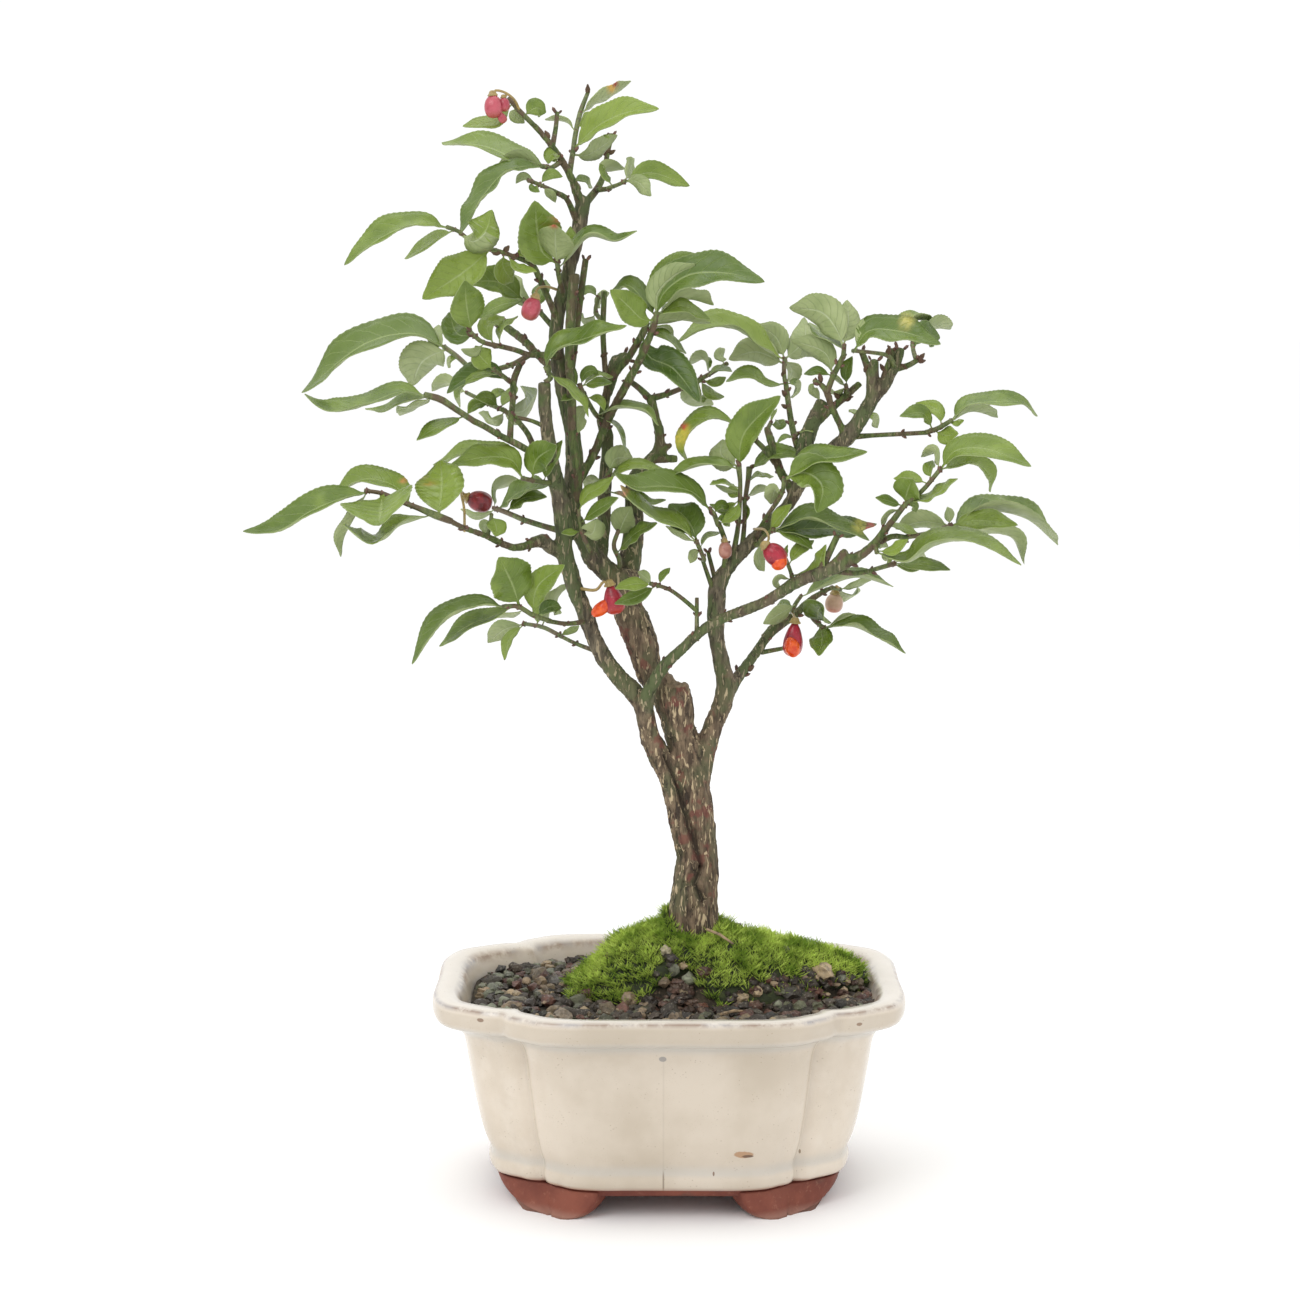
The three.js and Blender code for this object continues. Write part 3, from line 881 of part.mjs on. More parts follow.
// Half width of the blade along its length, as part of the widest
function bladeProfile(t) {
  return Math.sin(Math.PI * t ** 0.85) ** 0.8;
}

// A leaf blade of even thickness whose two faces are split alike. It runs from a point
// inside the stem to the tip, with rows of points between: the margins, and in a larger
// blade also the midrib that it is folded along.
function leafBlade(leaf, stems, extra = 0, rank = 0) {
  const { midrib, span, width, roll } = bladePlan(leaf, stems);
  const rows = 2 + SHAPED_BLADES.filter((least) => span >= least).length;
  const wings = span < FOLDED_BLADE ? [-1, 1] : [-1, 0, 1];
  const step = 0.02;
  const upper = [];
  const lower = [];
  for (let row = 0; row <= rows; row += 1) {
    const t = row / rows;
    const place = midrib.getPoint(t);
    const ahead = midrib.getPoint(Math.min(1, t + step));
    const behind = midrib.getPoint(Math.max(0, t - step));
    const along = ahead.sub(behind).normalize();
    const toEye = EYE.clone().sub(place).normalize();
    const rise = new THREE.Vector3().crossVectors(along, toEye).normalize();
    if (rise.z < 0) rise.negate();
    const facing = new THREE.Vector3().crossVectors(rise, along);
    if (facing.dot(toEye) < 0) facing.negate();
    const normal = facing.clone().multiplyScalar(Math.cos(roll)).addScaledVector(rise, Math.sin(roll));
    const across = new THREE.Vector3().crossVectors(normal, along);
    const end = row === 0 || row === rows;
    if (end) place.addScaledVector(along, row > 0 ? extra : -extra - FOOT_SHIFT * (rank + 1));
    const spread = end ? 0 : (width / 2) * bladeProfile(t) + extra;
    const fold = wings.length > 2 ? LEAF_FOLD : 0;
    (end ? [0] : wings).forEach((wing) => {
      const point = place.clone();
      point.addScaledVector(across, wing * spread * Math.cos(fold));
      point.addScaledVector(normal, Math.abs(wing) * spread * Math.sin(fold));
      upper.push(point.clone().addScaledVector(normal, LEAF_THICKNESS / 2 + extra));
      lower.push(point.clone().addScaledVector(normal, -LEAF_THICKNESS / 2 - extra));
    });
  }
  const index = [];
  const low = upper.length;
  const tip = low - 1;
  const next = wings.length;
  const last = tip - next;
  const bothFaces = (a, b, c) => index.push(a, b, c, low + a, low + c, low + b);
  const edge = (a, b) => index.push(a, low + a, low + b, a, low + b, b);
  for (let wing = 0; wing < next - 1; wing += 1) {
    bothFaces(0, 1 + wing, 2 + wing);
    for (let a = 1 + wing; a < last; a += next) {
      bothFaces(a, a + next, a + next + 1);
      bothFaces(a, a + next + 1, a + 1);
    }
    bothFaces(last + wing, tip, last + wing + 1);
  }
  const margin = [0];
  for (let a = 1; a <= last; a += next) margin.push(a);
  margin.push(tip);
  const otherMargin = margin.map((a) => (a === 0 || a === tip ? a : a + next - 1)).reverse();
  [margin, otherMargin].forEach((side) => side.slice(1).forEach((b, i) => edge(side[i], b)));
  const geometry = new THREE.BufferGeometry();
  const corners = upper.concat(lower).flatMap((point) => [point.x, point.y, point.z]);
  geometry.setAttribute('position', new THREE.Float32BufferAttribute(corners, 3));
  geometry.setIndex(index);
  return solidOf(geometry);
}

function limbOf(flat, sides, extra = 0) {
  const { points, radii } = limbPoints(flat);
  return bentLimb(points, radii, sides, extra);
}

// Nearest place to a point on the middle lines of the wood
function woodFoot(point) {
  const line = new THREE.Line3();
  const place = new THREE.Vector3();
  let nearest = null;
  WOOD.forEach(([, , flat]) => {
    const { points } = limbPoints(thinned(flat));
    points.slice(1).forEach((end, i) => {
      line.set(points[i], end).closestPointToPoint(point, true, place);
      if (!nearest || place.distanceTo(point) < nearest.distanceTo(point)) nearest = place.clone();
    });
  });
  return nearest;
}

// A stem of a shoot, with its tip run on past its last leaves. The first stem is drawn back to
// the middle of the branch that it grows from.
function shootStem(stem, isFirst, extra) {
  const { points, radii } = limbPoints(stem);
  const [beforeTip, tip] = points.slice(-2);
  tip.addScaledVector(tip.clone().sub(beforeTip).normalize(), STEM_TIP);
  const root = woodFoot(points[0]);
  if (isFirst && root.distanceTo(points[0]) > FOOT_GAP) {
    points.unshift(root);
    radii.unshift(radii[0]);
  }
  return bentLimb(points, radii, STEM_SIDES, extra);
}

// A leafy shoot, or with extra the same shoot grown outward for cutting clearances
function leafyShoot([, stems, leaves], extra = 0) {
  const parts = stems.map((stem, i) => shootStem(stem, i === 0, extra));
  const large = leaves.filter((leaf) => bladePlan(leaf, stems).span >= SMALLEST_BLADE);
  return joined(parts.concat(large.map((leaf, rank) => leafBlade(leaf, stems, extra, rank))));
}

// Every second point of a long limb, with its first and last
function thinned(flat) {
  const count = flat.length / 4;
  return flat.filter((value, i) => {
    const point = Math.floor(i / 4);
    return count < LONG_LIMB || point % 2 === 0 || point === count - 1;
  });
}

function tree(extra = 0) {
  const limbs = WOOD.map(([, sides, flat]) => limbOf(thinned(flat), sides, extra));
  return joined(limbs.concat(SPURS.map((spur) => leafyShoot(spur, extra))));
}

// The rim outline as a closed loop of points, from the middle of the front to the right
const HALF_STEPS = QUARTER.length - 1;
const LOOP = [
  ...QUARTER.slice(0, HALF_STEPS).map(([u, v]) => [u, -v]),
  ...QUARTER.slice(1).reverse(),
  ...QUARTER.slice(0, HALF_STEPS).map(([u, v]) => [-u, v]),
  ...QUARTER.slice(1).reverse().map(([u, v]) => [-u, -v]),
];
const DEPTH_PART = RIM_HALF_DEPTH / RIM_HALF_LENGTH;

// Outline point at a place along the loop, for a given half length
function outlineAt(place, halfLength) {
  const first = Math.floor(place) % LOOP.length;
  const part = place - Math.floor(place);
  const [u0, v0] = LOOP[first];
  const [u1, v1] = LOOP[(first + 1) % LOOP.length];
  return [(u0 + (u1 - u0) * part) * halfLength, (v0 + (v1 - v0) * part) * halfLength * DEPTH_PART];
}

// A profile of half lengths and heights carried round the lobed outline
function lobedSolid(profile, heightOf = (x, y, z) => z) {
  const outline = profile.map(([halfLength, height]) => new THREE.Vector2(halfLength, height));
  const geometry = new THREE.LatheGeometry(outline, LOOP.length);
  const position = geometry.attributes.position;
  for (let i = 0; i < position.count; i += 1) {
    const row = i % profile.length;
    const [halfLength, height] = profile[row];
    const [x, y] = outlineAt(Math.floor(i / profile.length) % LOOP.length, halfLength);
    position.setXYZ(i, x, y, heightOf(x, y, height, row));
  }
  return solidOf(geometry);
}

// One scalloped corner foot that follows the base outline from one place on it to another
const FOOT_STEPS = 7;
const FOOT_RUN = [1, 7.4];
const FOOT_TOP = FOOT_HEIGHT + 2;
const FOOT_OUTSIDE = 57.2;
// The outside leans in by this much at the bottom, and the inside out by a little
const FOOT_UNDERCUT = 4.5;
const FOOT_TAPER = 1.3;
// How far down the scalloped underside comes: at the ends, how much more in the middle, and
// how round its corners are
const FOOT_END_DROP = 0.12;
const FOOT_BULGE = 1;
const FOOT_ROUND = 0.6;

function cornerFoot(from, to) {
  const geometry = new THREE.BoxGeometry(1, 1, 1, FOOT_STEPS, 1, 1);
  const position = geometry.attributes.position;
  for (let i = 0; i < position.count; i += 1) {
    const run = position.getX(i) + 0.5;
    const level = 0.5 - position.getY(i);
    const drop = Math.min(1, FOOT_END_DROP + FOOT_BULGE * Math.sin(Math.PI * run) ** FOOT_ROUND);
    const inset = FOOT_UNDERCUT * drop * level * level;
    const wall = position.getZ(i) > 0 ? 0 : FOOT_WALL - FOOT_TAPER * inset;
    const [x, y] = outlineAt(from + (to - from) * run, FOOT_OUTSIDE - inset - wall);
    position.setXYZ(i, x, y, FOOT_TOP - (FOOT_TOP - FOOT_HEIGHT * (1 - drop)) * level);
  }
  return solidOf(geometry);
}

function drainHole(side) {
  const drill = new THREE.CylinderGeometry(DRAIN_RADIUS, DRAIN_RADIUS, 4 * FLOOR_THICKNESS, 14);
  drill.rotateX(Math.PI / 2);
  drill.translate(side * DRAIN_OFFSET, 0, FOOT_HEIGHT + FLOOR_THICKNESS / 2);
  return solidOf(drill);
}

function pot() {
  const floorTop = FOOT_HEIGHT + FLOOR_THICKNESS;
  const body = lobedSolid([[0, FOOT_HEIGHT], ...POT_OUTSIDE, ...POT_INSIDE, [0, floorTop]]);
  const feet = [0, 1, 2, 3].map((corner) => {
    const half = LOOP.length / 2;
    const run = corner % 2 === 0 ? FOOT_RUN : [half - FOOT_RUN[1], half - FOOT_RUN[0]];
    const turn = corner < 2 ? 0 : half;
    return cornerFoot(run[0] + turn, run[1] + turn);
  });
  return joined([body, ...feet]).subtract(drainHole(-1)).subtract(drainHole(1));
}

// Ring round the inside of the rim, used to keep the moss clear of the pot
function rimClearance() {
  const [[lipHalf], [wallHalf, wallLevel], [lowHalf, lowLevel]] = POT_INSIDE;
  const outer = RIM_HALF_LENGTH + GAP;
  const wallGap = SOIL_CLEAR + GAP;
  return lobedSolid([[outer, lowLevel], [outer, RIM_TOP + GAP], [lipHalf - GAP, RIM_TOP + GAP],
    [wallHalf - wallGap, wallLevel], [lowHalf - wallGap, lowLevel], [outer, lowLevel]]);
}

function drainScreen(side) {
  const level = FOOT_HEIGHT + FLOOR_THICKNESS + GAP + SCREEN_THICKNESS / 2;
  const plate = new THREE.BoxGeometry(SCREEN_SIZE, SCREEN_SIZE, SCREEN_THICKNESS);
  plate.translate(side * DRAIN_OFFSET, 0, level);
  let screen = solidOf(plate);
  const cell = (SCREEN_SIZE - SCREEN_BAR * (SCREEN_CELLS + 1)) / SCREEN_CELLS;
  for (let i = 0; i < SCREEN_CELLS * SCREEN_CELLS; i += 1) {
    const start = -SCREEN_SIZE / 2 + SCREEN_BAR + cell / 2;
    const x = start + (i % SCREEN_CELLS) * (cell + SCREEN_BAR);
    const y = start + Math.floor(i / SCREEN_CELLS) * (cell + SCREEN_BAR);
    const hole = new THREE.BoxGeometry(cell, cell, 4 * SCREEN_THICKNESS);
    hole.translate(side * DRAIN_OFFSET + x, y, level);
    screen = screen.subtract(solidOf(hole));
  }
  return screen;
}

function screenPocket(side) {
  const height = 2 * (SCREEN_THICKNESS + 2 * GAP);
  const pocket = new THREE.BoxGeometry(SCREEN_SIZE + 2 * GAP, SCREEN_SIZE + 2 * GAP, height);
  pocket.translate(side * DRAIN_OFFSET, 0, FOOT_HEIGHT + FLOOR_THICKNESS);
  return solidOf(pocket);
}

// Height of the moss mound above its edge
function mossRise(x, y) {
  const side = (x - MOSS_CENTRE[0]) / MOSS_REACH[0];
  const reach = MOSS_REACH[1] * Math.sqrt(Math.max(0.02, 1 - side * side));
  const part = (y - MOSS_CENTRE[1]) / reach;
  if (Math.abs(part) >= 1 || Math.abs(side) >= 1) return 0;
  const next = MOSS_RIDGE.findIndex(([at]) => at > x);
  if (next < 1) return 0;
  const [x0, z0] = MOSS_RIDGE[next - 1];
  const [x1, z1] = MOSS_RIDGE[next];
  const ridge = z0 + ((z1 - z0) * (x - x0)) / (x1 - x0);
  return (ridge - MOSS_EDGE) * (1 - part * part) ** 0.7;
}

function soilTop(x, y) {
  return SOIL_LEVEL + SOIL_UNDER_MOSS * mossRise(x, y);
}

// The filled inside of the pot, heaped under the moss, or with grow the same a little larger
function soilBody(grow = 0) {
  const floor = FOOT_HEIGHT + FLOOR_THICKNESS + GAP;
  const walls = POT_INSIDE.filter(([, z]) => z < SOIL_LEVEL).reverse();
  const side = walls.map(([half, z]) => [half - SOIL_CLEAR + grow, Math.max(z, floor)]);
  const sides = [[0, floor], ...side, [SOIL_EDGE + grow, SOIL_LEVEL + grow]];
  const rings = SOIL_RINGS.map((part) => [SOIL_EDGE * part, SOIL_LEVEL]);
  return lobedSolid([...sides, ...rings], (x, y, z, row) => (
    row < sides.length ? z : soilTop(x, y) + grow));
}

function soil() {
  const draw = seededDraw(11);
  const stones = [];
  while (stones.length < STONES) {
    const [x, y] = outlineAt(draw() * LOOP.length, SOIL_EDGE * (0.3 + 0.64 * draw()));
    const side = (x - MOSS_CENTRE[0]) / MOSS_REACH[0];
    const depth = (y - MOSS_CENTRE[1]) / MOSS_REACH[1];
    const size = 1.5 + 1.9 * draw();
    const turn = [draw(), draw(), draw()];
    if (Math.hypot(side, depth) > STONE_CLEAR + size / MOSS_REACH[1]) {
      const stone = new THREE.IcosahedronGeometry(1, 0);
      stone.scale(size, size * 0.8, size * 0.7);
      stone.rotateX(turn[0] * Math.PI);
      stone.rotateZ(turn[1] * Math.PI);
      stone.translate(x, y, soilTop(x, y) + size * 0.35 * turn[2]);
      stones.push(solidOf(stone));
    }
  }
  return joined([soilBody(), ...stones]).subtract(screenPocket(-1)).subtract(screenPocket(1));
}

function moss() {
  const parts = [0.35, 0.6, 0.8, 0.94];
  const under = 6;
  const profile = [[0, 0], [1, 0.8], ...parts.map((part) => [part, 1]).reverse(), [0, 1]];
  const segments = 28;
  const geometry = new THREE.LatheGeometry(profile.map(([r, z]) => new THREE.Vector2(r, z)), segments);
  const position = geometry.attributes.position;
  for (let i = 0; i < position.count; i += 1) {
    const [part, level] = profile[i % profile.length];
    const turn = ((Math.floor(i / profile.length) % segments) / segments) * 2 * Math.PI;
    const fromNotch = (turn > Math.PI ? turn - 2 * Math.PI : turn) + 0.26;
    const notch = 1 - 0.22 * Math.exp(-((fromNotch / 0.15) ** 2));
    const lobes = notch * (1 + 0.05 * Math.sin(5 * turn) + 0.03 * Math.sin(11 * turn + 1));
    const x = MOSS_CENTRE[0] + MOSS_REACH[0] * part * lobes * Math.sin(turn);
    const y = MOSS_CENTRE[1] - MOSS_REACH[1] * part * lobes * Math.cos(turn);
    const bump = 0.7 * Math.sin(0.9 * x + 0.4 * y) * Math.sin(1.1 * y - 0.3 * x);
    const top = MOSS_EDGE + mossRise(x, y) + bump;
    const bottom = soilTop(x, y) - under;
    position.setXYZ(i, x, y, bottom + (top - bottom) * level);
  }
  return solidOf(geometry).subtract(soilBody(GAP)).subtract(rimClearance());
}

// A capsule with its neck at the top, leaning in the plane that faces front
const CAPSULE_PROFILE = [[0, -1], [0.66, -0.9], [1, -0.6], [0.8, -0.3], [0.34, -0.04], [0, 0]];
const CAPSULE_SIDES = 7;

function capsule([x, z, depth], width, length, lean, extra = 0) {
  const scale = sightScale(depth);
  const points = CAPSULE_PROFILE.map(([r, h]) => new THREE.Vector2(
    r === 0 ? 0 : (r * width * scale) / 2 + extra,
    h * length * scale + (h < -0.5 ? -extra : extra),
  ));
  const geometry = new THREE.LatheGeometry(points, CAPSULE_SIDES);
  geometry.rotateX(Math.PI / 2);
  geometry.rotateY(THREE.MathUtils.degToRad(-lean));
  const place = sighted(x, z, depth);
  geometry.translate(place.x, place.y, place.z);
  return solidOf(geometry);
}

function ellipsoid([x, z, depth], across, along, lean, extra = 0) {
  const scale = sightScale(depth);
  const geometry = new THREE.SphereGeometry(1, CAPSULE_SIDES, 5);
  geometry.rotateX(Math.PI / 2);
  geometry.scale(across * scale + extra, across * scale + extra, along * scale + extra);
  geometry.rotateY(THREE.MathUtils.degToRad(-lean));
  const place = sighted(x, z, depth);
  geometry.translate(place.x, place.y, place.z);
  return solidOf(geometry);
}

function fruit([, place, width, length, lean, stalk], extra = 0) {
  return capsule(place, width, length, lean, extra).add(limbOf(stalk, STEM_SIDES, extra));
}

function topCapsules(extra = 0) {
  const heads = TOP_CAPSULES.map(([place, width, length, lean]) => capsule(place, width, length, lean, extra));
  return joined([limbOf(TOP_STALK, STEM_SIDES, extra), limbOf(TOP_SIDE_STALK, STEM_SIDES, extra), ...heads]);
}

function boxesMeet(a, b) {
  const one = a.boundingBox();
  const two = b.boundingBox();
  return [0, 1, 2].every((axis) => one.min[axis] < two.max[axis] && two.min[axis] < one.max[axis]);
}

const plant = new THREE.Group();

const treeSolid = tree();
const treeFat = tree(GAP);
plant.add(meshOf('pot', pot(), COLOURS.glaze));
plant.add(meshOf('drain_screen_left', drainScreen(-1), COLOURS.screen));
plant.add(meshOf('drain_screen_right', drainScreen(1), COLOURS.screen));
plant.add(meshOf('soil', mainBody(soil().subtract(treeFat)), COLOURS.soil));
plant.add(meshOf('moss', mainBody(moss().subtract(treeFat)), COLOURS.moss));
plant.add(meshOf('trunk_and_branches', treeSolid, COLOURS.bark));

// Pieces of the crown are added in turn, each cut back where it would meet what is there
const standing = [treeFat];

function addClear(name, solid, fat, look) {
  const cut = standing.filter((other) => boxesMeet(solid, other));
  const clear = cut.reduce((left, other) => left.subtract(other), solid);
  plant.add(meshOf(name, mainBody(clear), look));
  standing.push(fat);
}

ARILS.forEach(([name, , place, across, along, lean]) => {
  const seed = ellipsoid(place, across, along, lean);
  addClear(name, seed, ellipsoid(place, across, along, lean, GAP), COLOURS.aril);
});
FRUITS.forEach((entry) => addClear(entry[0], fruit(entry), fruit(entry, GAP), COLOURS.capsule));
addClear('fruit_top_capsules', topCapsules(), topCapsules(GAP), COLOURS.capsule);
SHOOTS.forEach((entry) => addClear(`shoot_${entry[0]}`, leafyShoot(entry), leafyShoot(entry, GAP), COLOURS.leaf));

const box = new THREE.Box3().setFromObject(plant);
const middle = box.getCenter(new THREE.Vector3());
plant.position.set(-middle.x, -middle.y, -box.min.z);

export default plant;
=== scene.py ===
import math
import random

import bmesh
import bpy
import numpy as np
from mathutils import Matrix, Vector, noise


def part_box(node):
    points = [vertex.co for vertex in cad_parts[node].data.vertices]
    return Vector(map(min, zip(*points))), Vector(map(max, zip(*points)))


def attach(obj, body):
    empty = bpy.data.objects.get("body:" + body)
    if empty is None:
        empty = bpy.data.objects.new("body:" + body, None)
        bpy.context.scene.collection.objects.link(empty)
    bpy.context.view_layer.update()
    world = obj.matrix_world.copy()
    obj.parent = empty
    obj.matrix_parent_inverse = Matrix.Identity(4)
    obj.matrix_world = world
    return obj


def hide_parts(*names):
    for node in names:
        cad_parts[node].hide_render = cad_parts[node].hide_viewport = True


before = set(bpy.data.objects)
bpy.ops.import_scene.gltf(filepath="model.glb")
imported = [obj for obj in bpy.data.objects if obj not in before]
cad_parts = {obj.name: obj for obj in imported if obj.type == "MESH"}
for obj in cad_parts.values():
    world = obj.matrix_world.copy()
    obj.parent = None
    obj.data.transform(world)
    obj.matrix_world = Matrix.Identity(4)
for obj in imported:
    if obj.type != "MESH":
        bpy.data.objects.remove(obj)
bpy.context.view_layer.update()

# The camera stands here, and the crown's places are given as it sees them
EYE = Vector((-6.5, -1000, 319.5))
MILLIMETRE = 0.001
CAMERA_PITCH = math.radians(82.5)
CAMERA_LENS = 80.75
TRUNK_DEPTH = 4
BACK_REACH = 1.45

# Pot
DEPTH_PART = 66 / 81
FOOT_HEIGHT = 7.5
FLOOR_TOP = 13
GLAZED_ABOVE = 11
LIP_LINE_ABOVE = 70
# Mould seam on the front of the wall: its place across and half width
SEAM_X = -2
SEAM_HALF = 1.4
QUARTER = [(0, 1), (0.21, 1.003), (0.42, 1), (0.55, 0.96), (0.63, 0.88), (0.7, 0.8), (0.84, 0.71),
           (0.95, 0.6), (1, 0.38), (1.003, 0.19), (1, 0)]
POT_OUTSIDE = [(0, 7.5), (30, 7.5), (54, 7.5), (56.5, 7.6), (58.2, 9.2), (59.2, 10.2), (60.6, 10.5),
               (61.7, 11.5), (62.25, 13), (62.3, 14.6), (61.9, 16.6), (62, 18.2), (63.2, 21),
               (64.4, 24.5), (66, 31.5), (67.2, 38), (68.3, 44.5), (69.2, 50), (70, 55),
               (71, 58.6), (72.6, 61.2), (75, 63), (78, 63.9), (80, 64.9), (80.9, 66.8),
               (81, 69.4), (80.7, 71.2), (80, 72.3), (79, 72.7)]
POT_INSIDE = [(77, 72.75), (74, 72.6), (72.6, 72), (71.6, 70.4), (70, 67), (68, 60), (65.4, 50),
              (63.4, 40), (61.6, 30), (59.8, 22), (57.4, 16), (54, 13.4), (50, 13), (30, 13),
              (0, 13)]
# Marks on the front of the glaze: place across and up, half sizes and colour
POT_MARKS = [
    ((25, 24), (3.2, 1.2), (0.4, 0.23, 0.12)),
    ((26.2, 23.4), (2.0, 0.5), (0.12, 0.07, 0.045)),
    ((-2.3, 58.4), (1.2, 1.0), (0.3, 0.28, 0.26)),
    ((14.9, 16.8), (0.35, 0.8), (0.2, 0.12, 0.08)),
    ((44.4, 21.2), (0.4, 0.8), (0.25, 0.18, 0.11)),
    ((63.5, 68.2), (1.0, 0.6), (0.26, 0.17, 0.11)),
    ((-63.2, 69.6), (1.2, 0.7), (0.23, 0.15, 0.1))]

# Soil and moss
SOIL_LEVEL = 65.5
SOIL_UNDER_MOSS = 0.72
SOIL_EDGE = 68.9
MOSS_CENTRE = (17, 4)
MOSS_REACH = (54.5, 26)
MOSS_EDGE = 68
# The moss keeps inside the rim by staying in this half length
MOSS_INSIDE = 68.2
# Middle of the gap in the front of the moss where dark clumps show
NOTCH_X = 3.5
MOSS_RIDGE = [(-40, 68.5), (-31, 74), (-24, 80), (-17, 87), (-8, 90.5), (1, 95), (16, 93), (24, 89),
              (34, 87.5), (46, 84.3), (60, 80.5), (68, 75.5), (73, 69)]
# Middle of the trunk's foot, and the half sizes of what it takes up of the moss
TRUNK_FOOT = 8.7
TRUNK_CLEAR = 8.8
STONES = 1100
BANK_STONES = 330
CLUMPS = 110
MOSS_TUFTS = 2500
COLLAR_TUFTS = 170

# Leaves
WIDTH_GAIN = 1.08
LEAF_WIDTH_PART = 0.36
FOOT_GAP = 0.3
SHORT_STALK = 3
SHARP_TURN = math.radians(55)
TIP_DEPTH_POWER = 1.3
LEAF_THICKNESS = 0.32
STEM_TIP = 0.6
STEM_SIDES = 7
# Length over which a leaf has this many rows, this many wings and teeth of this depth
LEAF_GRIDS = [(26, 48, 6, 0.018), (12, 30, 4, 0.018), (0, 16, 4, 0.01)]

